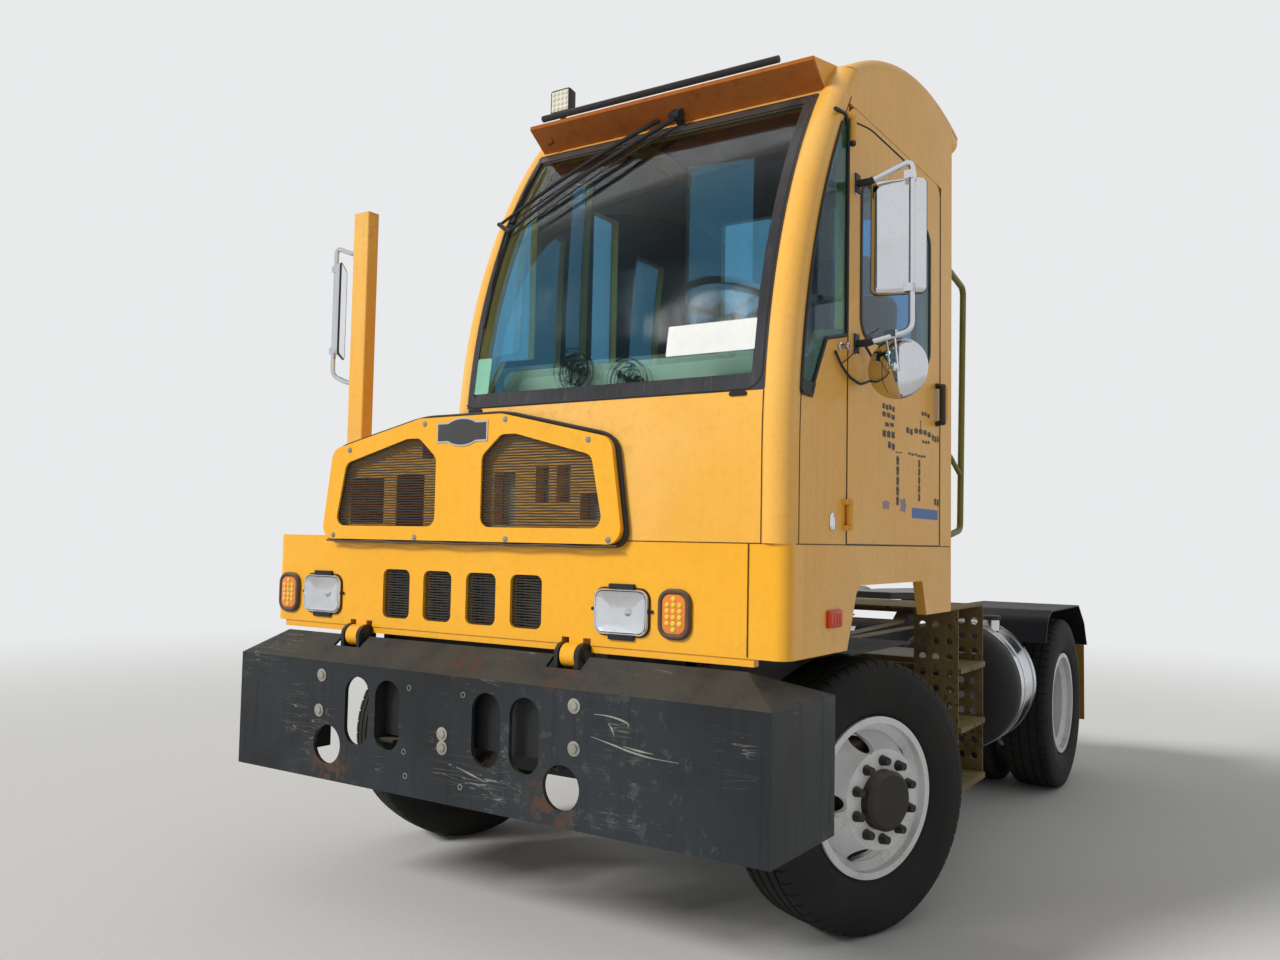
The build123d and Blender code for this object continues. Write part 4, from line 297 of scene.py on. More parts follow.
def bead(
    rect: RoundRect, width: float, height: float, place: Place, sides: int = 1, base: float = 0
) -> Shape:
    """Runs a rubber along an outline: its section is an ellipse about the edge line, base over the sheet."""
    rings = [(rect.inset(width * math.cos(turn)), base + height * math.sin(turn)) for turn in around(10)]
    return stacked(rings, place, 8, sides, True)


def plate(outline: Array, low: float, high: float, place: Place) -> Shape:
    """Gives a drawn outline its thickness between two heights."""
    return skin(place(outline[None, :, 0], outline[None, :, 1], np.array([low, high])[:, None]))


def block(centre: Sequence[float], half: Triple) -> Shape:
    """Makes a plain bar from its middle and its half sizes."""
    rect = RoundRect.about(centre[0], centre[1], 2 * half[0], 2 * half[1], 0.5)
    return slab(rect, ((0, centre[2] - half[2]), (0, centre[2] + half[2])), top(0), steps=2)


def across(axis: Sequence[float]) -> tuple[Array, Array, Array]:
    """Makes three unit directions that are square to each other.

    Args:
        axis: The way of the first.

    Returns:
        The axis and two directions square to it.
    """
    way = np.array(axis, float) / np.linalg.norm(axis)
    helper = np.array([0, 0, 1.0]) if abs(way[2]) < 0.9 else np.array([1.0, 0, 0])
    first = np.cross(helper, way)
    first /= np.linalg.norm(first)
    return way, first, np.cross(way, first)


def turned(profile: Pairs, centre: Sequence[float], axis: Sequence[float], sides: int) -> Shape:
    """Turns a profile about an axis: a point is centre + h axis + r (cos t first + sin t second).

    Args:
        profile: Pairs of radius r and distance h along the axis.
        centre: A point on the axis.
        axis: The axis.
        sides: Points round the turn.

    Returns:
        The turned shape with flat ends.
    """
    way, first, second = across(axis)
    r, h = np.array(profile, float).T[..., None, None]
    turn = around(sides)[:, None]
    return skin(np.array(centre) + h * way + r * (np.cos(turn) * first + np.sin(turn) * second)[None])


def studs(profile: Pairs, places: Sequence[Pair], y: float, sides: int) -> list[Shape]:
    """Turns one profile about the way ahead at each place of x and z on a face at y."""
    return [turned(profile, (x, y, z), AHEAD, sides) for x, z in places]


def hoop(radius: float, wire: float, centre: Sequence[float], axis: Sequence[float], sides: int) -> Shape:
    """Makes a torus: a small circle of radius wire carried round a large circle.

    Args:
        radius: The large circle's radius.
        wire: The small circle's radius.
        centre: The middle.
        axis: The way through the hoop.
        sides: Points round the large circle.

    Returns:
        The closed hoop.
    """
    way, first, second = across(axis)
    big, small = around(sides)[:, None], around(8)[:, None, None]
    outward = np.cos(big) * first + np.sin(big) * second
    reach = (radius + wire * np.cos(small)) * outward[None]
    return skin(np.array(centre) + reach + wire * np.sin(small) * way, wrap_rows=True)


def tube(path: Array, radius: float | Array, sides: int, up: Triple = UP, flat: float = 1.0) -> Shape:
    """Carries a circle along a path: each ring is square to the path, its first axis square to up.

    Args:
        path: Points as (n, 3).
        radius: One radius, or one for each point.
        sides: Points round the tube.
        up: A direction that the path never runs along.
        flat: Scale of the circle along up.

    Returns:
        The tube with flat ends.
    """
    path = np.array(path, float)
    way = np.gradient(path, axis=0)
    way /= np.linalg.norm(way, axis=1, keepdims=True)
    side = np.cross(way, np.array(up, float))
    side /= np.linalg.norm(side, axis=1, keepdims=True)
    other = np.cross(side, way) * flat
    turn = around(sides)[None, :, None]
    ring = np.cos(turn) * side[:, None] + np.sin(turn) * other[:, None]
    size = np.broadcast_to(np.asarray(radius, float), (len(path),))
    return skin(path[:, None] + size[:, None, None] * ring)


def curve(start: Array, corner: Array, end: Array, steps: int) -> Array:
    """Draws a quadratic curve: (1 - t)^2 start + 2 t (1 - t) corner + t^2 end."""
    t = np.linspace(0, 1, steps)[:, None]
    return (1 - t) ** 2 * start + 2 * t * (1 - t) * corner + t**2 * end


def bends(corners: Sequence[Triple], radius: float, steps: int = 8) -> Array:
    """Rounds the corners of a path: each becomes a quadratic curve between two points on its legs.

    Args:
        corners: The path's corner points.
        radius: Distance from a corner to where its curve starts.
        steps: Points on each curve.

    Returns:
        The rounded path as (n, 3).
    """
    points = np.array(corners, float)
    parts = [points[:1]]
    for before, corner, after in zip(points, points[1:], points[2:]):
        legs = np.stack([before, after]) - corner
        shares = np.minimum(radius / np.linalg.norm(legs, axis=1, keepdims=True), UNDER_HALF)
        start, end = corner + legs * shares
        parts.append(curve(start, corner, end, steps))
    return np.vstack(parts + [points[-1:]])


def placed(name: str, data: bpy.types.ID) -> bpy.types.Object:
    """Puts an object for a mesh, a camera or a lamp in the scene.

    Args:
        name: The object's name.
        data: What it holds.

    Returns:
        The object.
    """
    made = bpy.data.objects.new(name, data)
    bpy.context.scene.collection.objects.link(made)
    return made


def mesh_of(name: str, shape: Shape, material: bpy.types.Material) -> bpy.types.Mesh:
    """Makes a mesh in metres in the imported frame.

    Args:
        name: The mesh's name.
        shape: The shape in millimetres.
        material: What it wears.

    Returns:
        The mesh.
    """
    mesh = bpy.data.meshes.new(name)
    faces = shape.quads.tolist() + [cap.tolist() for cap in shape.caps]
    mesh.from_pydata((shape.points * MM + HOME).tolist(), [], faces)
    mesh.materials.append(material)
    return mesh


def show(
    name: str,
    shape: Shape | Sequence[Shape],
    finish: "Finish",
    slot: str | None = None,
    body: Body = Body.CAB,
    replaces: Sequence[str] = (),
    bevel: float = 0,
    smooth: float = 38,
) -> bpy.types.Object:
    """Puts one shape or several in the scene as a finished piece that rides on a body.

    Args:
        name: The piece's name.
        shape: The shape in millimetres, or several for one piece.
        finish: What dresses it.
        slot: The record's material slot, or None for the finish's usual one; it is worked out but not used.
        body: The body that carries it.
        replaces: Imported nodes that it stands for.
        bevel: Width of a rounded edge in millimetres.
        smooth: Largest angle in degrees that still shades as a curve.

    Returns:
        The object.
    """
    whole = shape if isinstance(shape, Shape) else joined(shape)
    mesh = mesh_of(name, whole, finish.material())
    build = bmesh.new()
    build.from_mesh(mesh)
    bmesh.ops.recalc_face_normals(build, faces=build.faces)
    build.to_mesh(mesh)
    build.free()
    mesh.shade_smooth()
    mesh.set_sharp_from_angle(angle=math.radians(smooth))
    piece = placed(name, mesh)
    if bevel:
        soft = piece.modifiers.new("edges", "BEVEL")
        soft.width, soft.segments, soft.limit_method = bevel * MM, 2, "ANGLE"
    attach(piece, body.value)
    slot = slot or USUAL_SLOT.get(finish.name)
    if replaces:
        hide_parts(*replaces)
    log.info("%s: %d points on %s", name, len(whole.points), body.value)
    return piece


# Finishes

CAB_MIDDLE_X = 499.5
CAB_INNER_HALF = 661
CAB_GLASS_HALF = 680
CAB_INNER_REAR = 637
CAB_FLOOR_Z = 1448
CAB_INNER_ARCS = ((1227, 1750, 2148), (350, 1787, 1551))  # centre y, centre z, radius of each inner face
FLAT_GLOW = 12.92  # the three values of the screen's colour curve
CURVE_FOOT, CURVE_OFFSET, CURVE_POWER = 0.04045, 0.055, 2.4


def shade(code: str) -> tuple[float, float, float, float]:
    """Turns a #rrggbb screen colour into linear light.

    Args:
        code: The colour.

    Returns:
        Red, green, blue and a full alpha.
    """
    parts = [int(code[i : i + 2], 16) / 255 for i in (1, 3, 5)]
    lit = [((part + CURVE_OFFSET) / (1 + CURVE_OFFSET)) ** CURVE_POWER for part in parts]
    return (*[part / FLAT_GLOW if part <= CURVE_FOOT else full for part, full in zip(parts, lit)], 1.0)


@dataclass
class Graph:
    """Short hand for adding and joining the nodes of one tree."""

    tree: bpy.types.NodeTree

    def feed(self, node: Node, values: dict) -> Node:
        """Joins or sets a node's inputs.

        Args:
            node: The node.
            values: A socket or a value for each input, by name or number.

        Returns:
            The same node.
        """
        for key, value in values.items():
            if isinstance(value, Socket):
                self.tree.links.new(value, node.inputs[key])
            else:
                node.inputs[key].default_value = value
        return node

    def add(self, kind: str, inputs: dict | None = None, **settings: object) -> Node:
        """Adds a node.

        Args:
            kind: The node's type.
            inputs: Values or sockets for its inputs, by name or number.
            **settings: The node's own properties.

        Returns:
            The node.
        """
        node = self.tree.nodes.new(kind)
        for key, value in settings.items():
            setattr(node, key, value)
        return self.feed(node, inputs or {})

    def math(self, operation: str, first: object, second: object = 0.5, clamp: bool = False) -> Socket:
        """Adds a Math node and gives its result."""
        node = self.add("ShaderNodeMath", {0: first, 1: second}, operation=operation, use_clamp=clamp)
        return node.outputs[0]

    def times(self, first: object, second: object) -> Socket:
        """Multiplies two values."""
        return self.math("MULTIPLY", first, second)

    def plus(self, first: object, second: object, clamp: bool = False) -> Socket:
        """Adds two values."""
        return self.math("ADD", first, second, clamp)

    def less(self, first: object, second: object) -> Socket:
        """Takes the second value from the first."""
        return self.math("SUBTRACT", first, second)

    def blend(self, factor: object, first: object, second: object) -> Socket:
        """Mixes two colours and gives the result."""
        return self.add("ShaderNodeMix", {0: factor, 6: first, 7: second}, data_type="RGBA").outputs[2]

    def noise(self, vector: object, scale: object, detail: float = 4, rough: float = 0.55) -> Socket:
        """Adds a noise texture and gives its value."""
        values = {"Vector": vector, "Scale": scale, "Detail": detail, "Roughness": rough}
        return self.add("ShaderNodeTexNoise", values).outputs[0]

    def window(self, value: object, low: object, high: object) -> Socket:
        """Maps a value smoothly from 0 at low to 1 at high."""
        values = {"Value": value, "From Min": low, "From Max": high}
        return self.add("ShaderNodeMapRange", values, interpolation_type="SMOOTHSTEP").outputs[0]

    def stretch(self, vector: object, scale: Triple, turn: Triple = (0, 0, 0)) -> Socket:
        """Scales and turns a position."""
        return self.add("ShaderNodeMapping", {"Vector": vector, "Rotation": turn, "Scale": scale}).outputs[0]

    def split(self, vector: object) -> Sequence[Socket]:
        """Gives x, y and z of a vector."""
        return self.add("ShaderNodeSeparateXYZ", {0: vector}).outputs

    def wave(self, values: dict, way: str) -> Socket:
        """Adds a wave texture with its bands along one axis and gives its value."""
        return self.add("ShaderNodeTexWave", values, bands_direction=way).outputs["Fac"]

    def bump(self, height: Socket, strength: float, distance: float) -> Socket:
        """Turns a height into a normal."""
        values = {"Height": height, "Strength": strength, "Distance": distance}
        return self.add("ShaderNodeBump", values).outputs[0]


GROUPS: dict[str, bpy.types.NodeTree] = {}
PLACE = ("Position", "NodeSocketVector", (0, 0, 0))
COLOUR, VALUE = "NodeSocketColor", "NodeSocketFloat"


def group(
    name: str, inputs: Sequence[tuple], outputs: Sequence[tuple]
) -> tuple[Graph, Sequence[Socket], Node]:
    """Starts a shared node group with named sockets.

    Args:
        name: The group's name.
        inputs: Name, socket type and default of each input.
        outputs: Name and socket type of each output.

    Returns:
        Its graph, the sockets that it is given and its output node.
    """
    tree = bpy.data.node_groups.new(name, "ShaderNodeTree")
    for label, kind, default in inputs:
        tree.interface.new_socket(name=label, in_out="INPUT", socket_type=kind).default_value = default
    for label, kind in outputs:
        tree.interface.new_socket(name=label, in_out="OUTPUT", socket_type=kind)
    GROUPS[name] = tree
    graph = Graph(tree)
    return graph, graph.add("NodeGroupInput").outputs, graph.add("NodeGroupOutput")


def build_weathering() -> None:
    """Builds the shared effect of fading, grime, rain streaks, chips, dust on level faces and fine relief."""
    inputs = [PLACE] + [(n, COLOUR, (0.5, 0.5, 0.5, 1)) for n in ("Base", "Faded", "Grime", "Dust", "Chip")]
    inputs += [(n, VALUE, 0.0) for n in ("Fade", "Grime Cover", "Streak Cover", "Chip Cover", "Dust Cover")]
    inputs += [("Dull", VALUE, 0.5), ("Scale", VALUE, 1.0)]
    outputs = (("Colour", COLOUR), ("Roughness", VALUE), ("Height", VALUE))
    g, s, out = group("weathering", inputs, outputs)
    place = g.add("ShaderNodeVectorMath", {0: s["Position"], 3: s["Scale"]}, operation="SCALE").outputs[0]
    fine, broad = g.noise(place, 42.0, 5), g.noise(place, 0.9, 3)
    tint = g.blend(g.times(g.window(broad, 0.35, 0.68), s["Fade"]), s["Base"], s["Faded"])
    tint = g.blend(g.times(g.window(fine, 0.45, 0.8), 0.10), tint, s["Grime"])
    grime = g.times(g.window(g.noise(place, 2.3, 7, 0.64), 0.48, 0.76), s["Grime Cover"])
    runs = g.noise(g.stretch(place, (9, 9, 0.5)), 3.1, 4)
    streak = g.times(g.window(runs, 0.5, 0.8), s["Streak Cover"])
    dirt = g.math("MAXIMUM", grime, streak)
    tint = g.blend(dirt, tint, s["Grime"])
    spots = g.times(g.noise(place, 16.0, 4, 0.72), g.window(broad, 0.3, 0.6))
    chip = g.times(g.window(spots, 0.575, 0.6), s["Chip Cover"])
    tint = g.blend(chip, tint, s["Chip"])
    normal = g.split(g.add("ShaderNodeNewGeometry").outputs["Normal"])[2]
    lying = g.times(g.window(normal, 0.3, 0.95), g.window(g.noise(place, 3.7, 6, 0.6), 0.22, 0.6))
    dust = g.times(lying, s["Dust Cover"])
    dull = g.plus(s["Dull"], g.times(g.less(fine, 0.5), 0.16))
    dull = g.plus(g.plus(dull, g.times(dirt, 0.3)), g.times(g.plus(dust, chip), 0.4), clamp=True)
    height = g.less(g.plus(g.times(fine, 0.35), g.times(dust, 0.4)), chip)
    g.feed(out, {"Colour": g.blend(dust, tint, s["Dust"]), "Roughness": dull, "Height": height})


def build_scratches() -> None:
    """Builds the shared effect of thin scratches: narrow level lines of stretched noise, in patches."""
    g, s, out = group("scratches", (PLACE, ("Amount", VALUE, 0.5)), (("Mask", VALUE),))
    total: object = 0.0
    lines = (((0, 0.25, 0), 1.4, 0.0035), ((0.9, 1.2, 0.3), 2.1, 0.002), ((0, 1.5, 0), 1.1, 0.002))
    for turn, scale, width in lines:
        away = g.math("ABSOLUTE", g.less(g.noise(g.stretch(s["Position"], (1, 1, 11), turn), scale, 3), 0.5))
        total = g.math("MAXIMUM", total, g.math("LESS_THAN", away, width))
    patch = g.window(g.noise(s["Position"], 2.6, 3), 0.5, 0.62)
    g.feed(out, {"Mask": g.times(g.times(total, patch), s["Amount"])})


def build_cab_inside() -> None:
    """Builds the mask of the cab's inner faces: 1 where a point lies inside walls, front arc and roof arc."""
    g, s, out = group("cab_inside", (PLACE,), (("Mask", VALUE),))
    centre = (CAB_MIDDLE_X * MM + HOME[0], 0.0, 0.0)
    moved = g.add("ShaderNodeVectorMath", {0: s[0], 1: centre}, operation="SUBTRACT").outputs[0]
    x, y, z = g.split(moved)
    mask = g.math("LESS_THAN", g.math("ABSOLUTE", x), CAB_INNER_HALF * MM)
    mask = g.times(mask, g.math("LESS_THAN", y, CAB_INNER_REAR * MM + HOME[1]))
    mask = g.times(mask, g.math("GREATER_THAN", z, CAB_FLOOR_Z * MM))
    for centre_y, centre_z, reach in CAB_INNER_ARCS:
        y_off = g.less(y, centre_y * MM + HOME[1])
        z_off = g.math("MAXIMUM", g.less(z, centre_z * MM), 0.0)
        squares = g.plus(g.times(y_off, y_off), g.times(z_off, z_off))
        mask = g.times(mask, g.math("LESS_THAN", squares, (reach * MM) ** 2))
    g.feed(out, {"Mask": mask})


def cleared(owner: bpy.types.Material | bpy.types.World) -> Graph:
    """Turns on a material's or the world's nodes, empties them and gives their graph.

    Args:
        owner: What holds the nodes.

    Returns:
        The graph.
    """
    owner.use_nodes = True
    owner.node_tree.nodes.clear()
    return Graph(owner.node_tree)


class Finish:
    """A finish that makes its material once and hands out the same one afterwards."""

    made: dict[str, bpy.types.Material] = {}
    name: str

    def material(self) -> bpy.types.Material:
        """Gives the material, made on the first call.

        Returns:
            The material.
        """
        if self.name not in Finish.made:
            made = bpy.data.materials.new(self.name)
            graph = cleared(made)
            surface = graph.add("ShaderNodeBsdfPrincipled")
            graph.add("ShaderNodeOutputMaterial", {0: surface.outputs[0]})
            graph.feed(surface, self.sockets(graph, graph.add("ShaderNodeTexCoord").outputs["Object"]))
            Finish.made[self.name] = made
        return Finish.made[self.name]

    def sockets(self, graph: Graph, position: Socket) -> dict[str, object]:
        """Gives what feeds the surface's sockets; each finish has its own."""
        raise NotImplementedError


@dataclass(frozen=True)
class Weathered(Finish):
    """Paint, bare metal, plastic or rubber that has stood outdoors."""

    name: str
    base: str
    faded: str
    dull: float = 0.6
    fade: float = 0.5
    grime: str = "#3b342b"
    grimy: float = 0.25
    streaks: float = 0.1
    dust: str = "#93836b"
    dusty: float = 0.35
    chip: str = "#4a2f20"
    chips: float = 0.0
    scratches: float = 0.0
    scratch_colour: str = "#b9b4a6"
    metallic: float = 0.0
    coat: float = 0.0
    gloss: float = 0.5
    relief: float = 0.12
    scale: float = 1.0

    def sockets(self, graph: Graph, position: Socket) -> dict[str, object]:
        """Takes colour, roughness and relief from the weathering group, with scratches and marks on top.

        Args:
            graph: The material's nodes.
            position: Object coordinates.

        Returns:
            Sockets and values for the surface.
        """
        values = {"Position": position, "Base": shade(self.base), "Faded": shade(self.faded)}
        values |= {"Grime": shade(self.grime), "Dust": shade(self.dust), "Chip": shade(self.chip)}
        values |= {"Fade": self.fade, "Grime Cover": self.grimy, "Streak Cover": self.streaks}
        values |= {"Chip Cover": self.chips, "Dust Cover": self.dusty, "Dull": self.dull, "Scale": self.scale}
        worn = graph.add("ShaderNodeGroup", values, node_tree=GROUPS["weathering"]).outputs
        colour = worn["Colour"]
        if self.scratches:
            values = {"Position": position, "Amount": self.scratches}
            lines = graph.add("ShaderNodeGroup", values, node_tree=GROUPS["scratches"]).outputs[0]
            colour = graph.blend(lines, colour, shade(self.scratch_colour))
        return {
            "Base Color": self.marks(graph, position, colour),
            "Roughness": worn["Roughness"],
            "Normal": graph.bump(worn["Height"], self.relief, 0.004),
            "Metallic": self.metallic,
            "Coat Weight": self.coat,
            "Coat Roughness": 0.12,
            "Specular IOR Level": self.gloss,
        }

    def marks(self, graph: Graph, position: Socket, colour: Socket) -> Socket:
        """Adds marks of the piece's own over the colour; plain finishes have none."""
        return colour


@dataclass(frozen=True)
class RustMarked(Weathered):
    """A weathered finish with rust round named places."""

    places: Line = ()
    reach: float = 0.11
    rust: str = "#8a4a1d"

    def marks(self, graph: Graph, position: Socket, colour: Socket) -> Socket:
        """Adds rust that thins out with the distance from each place, broken up by noise.

        Args:
            graph: The material's nodes.
            position: Object coordinates.
            colour: The colour below.

        Returns:
            The marked colour.
        """
        broken = graph.window(graph.noise(position, 22.0, 5, 0.65), 0.42, 0.58)
        for spot in self.places:
            ends = {0: position, 1: tuple(np.array(spot) * MM + HOME)}
            far = graph.add("ShaderNodeVectorMath", ends, operation="DISTANCE").outputs["Value"]
            near = graph.window(far, self.reach, self.reach * 0.3)
            colour = graph.blend(graph.times(near, broken), colour, shade(self.rust))
        return colour


@dataclass(frozen=True)
class CabPaint(Weathered):
    """Cab paint outside, dark vinyl on the faces inside the cab."""

    lining: str = "#2b2e31"
    lining_worn: str = "#3b3f41"

    def marks(self, graph: Graph, position: Socket, colour: Socket) -> Socket:
        """Changes to vinyl where the point lies inside the cab.

        Args:
            graph: The material's nodes.
            position: Object coordinates.
            colour: The paint.

        Returns:
            Paint or vinyl.
        """
        inside = graph.add("ShaderNodeGroup", {0: position}, node_tree=GROUPS["cab_inside"]).outputs[0]
        vinyl = graph.blend(graph.noise(position, 240.0, 3), shade(self.lining), shade(self.lining_worn))
        return graph.blend(inside, colour, vinyl)


@dataclass(frozen=True)
class VisorPaint(Weathered):
    """Underside darkened by dirt and by painted shade, clean paint on the faces above the sloping line from
    the lip to the brow.
    """

    upper: str = "#efb045"
    upper_faded: str = "#f2b95c"
    lip: Pair = (-652, 3126)
    slope: float = -0.84
    thickness: float = 7

    def marks(self, graph: Graph, position: Socket, colour: Socket) -> Socket:
        """Changes to clean paint where the point lies more than the thickness above the underside's line;
        below it the paint keeps its dirt and painted shade.

        Args:
            graph: The material's nodes.
            position: Object coordinates.
            colour: The underside's paint, darkened by dirt and painted shade.

        Returns:
            Underside paint with dirt and painted shade, or clean paint.
        """
        _, y, z = graph.split(position)
        run = graph.times(graph.less(y, self.lip[0] * MM + HOME[1]), self.slope)
        above = graph.less(graph.less(z, self.lip[1] * MM), run)
        upper = graph.blend(graph.noise(position, 9.0, 5), shade(self.upper), shade(self.upper_faded))
        return graph.blend(graph.math("GREATER_THAN", above, self.thickness * MM), colour, upper)


@dataclass(frozen=True)
class Glass(Finish):
    """Tinted window or lamp glass with a film of dust, flutes where it is a lamp's, and a blue painted sky
    reflection on far panes.
    """

    name: str
    tint: str
    film: str = "#a9a596"
    film_cover: float = 0.12
    clear: float = 0.5
    dull: float = 0.03
    flutes: float = 0.0
    bend: float = 1.2
    painted_sky_tint: str = ""
    far_clear: float = 0.9

    def sockets(self, graph: Graph, position: Socket) -> dict[str, object]:
        """Runs dust through noise into colour, roughness and cover, and gives far panes, by their place, a
        blue tint that paints the sky.

        Args:
            graph: The material's nodes.
            position: Object coordinates.

        Returns:
            Sockets and values for the surface.
        """
        runs = graph.noise(graph.stretch(position, (5, 5, 1)), 2.2, 7, 0.66)
        film = graph.times(graph.window(runs, 0.42, 0.8), self.film_cover)
        tint, clear = shade(self.tint), self.clear
        # Far panes, beside and behind the cab, take a blue that paints the sky reflected in them and seen
        # through them.
        if self.painted_sky_tint:
            x, y, _ = graph.split(position)
            beside = graph.math("ABSOLUTE", graph.less(x, CAB_MIDDLE_X * MM + HOME[0]))
            beside = graph.math("GREATER_THAN", beside, CAB_GLASS_HALF * MM)
            far = graph.math("MAXIMUM", beside, graph.math("GREATER_THAN", y, HOME[1]))
            tint = graph.blend(far, tint, shade(self.painted_sky_tint))
            clear = graph.plus(clear, graph.times(far, self.far_clear - self.clear))
        values = {
            "Base Color": graph.blend(film, tint, shade(self.film)),
            "Roughness": graph.plus(self.dull, graph.times(film, 0.5)),
            "Alpha": graph.plus(clear, graph.times(film, 0.8), clamp=True),
            "Transmission Weight": 1.0,
            "Metallic": 0.0,
            "IOR": self.bend,
        }
        if self.flutes:
            waves = {"Vector": position, "Scale": self.flutes, "Distortion": 0.6, "Detail": 1.0}
            values["Normal"] = graph.bump(graph.wave(waves, "X"), 0.6, 0.003)
        return values


@dataclass(frozen=True)
class Woven(Finish):
    """Seat cloth: two crossing waves of thread with worn, dusty patches."""

    name: str
    base: str
    worn: str
    thread: float = 150.0

    def sockets(self, graph: Graph, position: Socket) -> dict[str, object]:
        """Makes the cloth's colour and relief from its weave and wear.

        Args:
            graph: The material's nodes.
            position: Object coordinates.

        Returns:
            Sockets and values for the surface.
        """
        values = {"Vector": position, "Scale": self.thread}
        weave = graph.times(graph.wave(values, "X"), graph.wave(values, "Z"))
        patch = graph.window(graph.noise(position, 6.0, 5), 0.4, 0.7)
        colour = graph.blend(graph.times(patch, 0.6), shade(self.base), shade(self.worn))
        colour = graph.blend(graph.times(weave, 0.3), colour, shade(self.worn))
        normal = graph.bump(weave, 0.4, 0.001)
        return {"Base Color": colour, "Normal": normal, "Roughness": 0.9, "Sheen Weight": 0.3}


CAB_YELLOW = CabPaint(
    "cab_yellow", "#efb045", "#f4bf6c", dull=0.4, fade=0.8, grime="#8a6233", grimy=0.14,
    dust="#b58f5c", dusty=0.3, chips=0.1, chip="#6a3d1c", coat=0.08, relief=0.04, gloss=0.25,
)
PILLAR_YELLOW = Weathered(
    "pillar_yellow", "#f0b247", "#f4bf69", dull=0.34, fade=0.6, grime="#8a6233", grimy=0.1, streaks=0.05,
    dust="#b58f5c", dusty=0.2, coat=0.2, relief=0.03,
)
SEAM_BROWN = Weathered("seam_brown", "#5a3b17", "#6e4b20", dull=0.8, grimy=0.3, scale=4.0)
PANEL_YELLOW = Weathered(
    "panel_yellow", "#f3ad18", "#f5b436", dull=0.34, grime="#99651f", grimy=0.1, streaks=0.06,
    dust="#b58f5c", dusty=0.3, chips=0.06, chip="#6a3d1c", coat=0.15, relief=0.04,
)
# The visor's brown base and heavy grime are partly dirt and partly painted shade of its shaded underside.
VISOR_DIRT_AND_SHADE = VisorPaint(
    "visor_dirt_and_shade", "#a35712", "#c07a26", fade=0.4, grime="#46240c", grimy=0.7, streaks=0.4,
    chips=0.3, chip="#2c1508",
)
BUMPER_BLACK = RustMarked(
    "bumper_black", "#1c1f22", "#2b3034", dull=0.44, fade=0.9, grime="#101112", grimy=0.5, streaks=0.6,
    dust="#4c483e", dusty=0.85, chip="#6f6f6a", chips=0.16, scratches=0.3, relief=0.16, scale=1.3,
    gloss=0.35, rust="#4d382b", places=(
        (-640, -1115, 548), (-690, -1115, 560), (430, -1115, 548), (392, -1115, 590), (-20, -1055, 1000),
        (420, -1055, 1000),
    ),
)
CHASSIS_BLACK = Weathered(
    "chassis_black", "#1c1d1f", "#2b2b2b", dull=0.55, grime="#2d2418", grimy=0.6, streaks=0.3,
    dust="#6b5c47", dusty=0.7, chips=0.5, chip="#5c3219", relief=0.2,
)
# Black paint whose slight blue cast is a painted reflection of the sky.
FENDER_BLACK_SKY_CAST = Weathered(
    "fender_black_sky_cast", "#0c1016", "#151a21", dull=0.5, grime="#2d261c", grimy=0.3, dust="#4c4840",
    dusty=0.25, gloss=0.2,
)
ENGINE_GREY = Weathered("engine_grey", "#3b3d3e", "#4a4a48", grime="#1c1813", grimy=0.7, dusty=0.6)
BOX_GREY = Weathered("box_grey", "#2b2c2c", "#3a3b39", dull=0.5, grime="#2d261c", grimy=0.5, streaks=0.3)
STEP_METAL = Weathered(
    "step_metal", "#6b5736", "#8f7a48", dull=0.65, metallic=0.2, grime="#2a2118", grimy=0.8, streaks=0.4,
    dust="#938653", dusty=0.8, chips=1.0, chip="#241b12", relief=0.4, scale=3.2,
)
TANK_METAL = Weathered(
    "tank_metal", "#c3c6ca", "#aeb2b7", dull=0.16, metallic=1.0, grime="#5a5348", streaks=0.2,
    dust="#8a8172", dusty=0.5, relief=0.04,
)
FLAP_YELLOW = Weathered(
    "flap_yellow", "#8f6b10", "#b98b16", dull=0.7, grime="#241f18", grimy=0.6, streaks=0.5, relief=0.2,
)
FIN_METAL = Weathered("fin_metal", "#54565a", "#6a6c70", metallic=0.6, grime="#2d261c", grimy=0.7)
TYRE_RUBBER = Weathered(
    "tyre_rubber", "#1d1d1e", "#2a2927", dull=0.78, fade=0.8, grime="#3d362c", grimy=0.35, streaks=0.0,
    dust="#57503f", dusty=0.2, relief=0.25, scale=2.5, gloss=0.25,
)
RIM_WHITE = Weathered(
    "rim_white", "#e4e5e8", "#eceae4", dull=0.42, fade=0.6, grime="#a08d70", grimy=0.4, streaks=0.2,
    dust="#a5967c", dusty=0.3, chips=0.25, chip="#6b3f22", coat=0.1, scale=3.0, relief=0.06,
)
HUB_DARK = Weathered(
    "hub_dark", "#1f1d1b", "#2e2a26", dull=0.65, grime="#3f2e20", grimy=0.7, dusty=0.5, chips=0.4,
    chip="#5c3219", scale=4.0, relief=0.3,
)
MESH_BLACK = Weathered("mesh_black", "#2c2b29", "#3d3a35", grime="#5c4d38", grimy=0.5, scale=3.0)
RUBBER = Weathered(
    "rubber_black", "#151516", "#26262a", fade=0.7, grime="#3f3a33", grimy=0.4, streaks=0.3,
    scale=3.0,
)
GROMMET_GREY = Weathered(
    "grommet_grey", "#55483f", "#6d5d50", dull=0.75, grime="#2e2721", grimy=0.3, scale=5.0,
)
BORDER_BLACK = Weathered(
    "border_black", "#1a1b1f", "#35363c", dull=0.35, fade=0.9, grime="#5a5448", grimy=0.3, streaks=0.6,
    scale=2.0,
)
CHROME = Weathered(
    "chrome", "#d8dade", "#c3c5c9", dull=0.06, metallic=1.0, fade=0.4, grime="#8a8578", grimy=0.12,
    streaks=0.05, dusty=0.15, relief=0.02, scale=3.0,
)
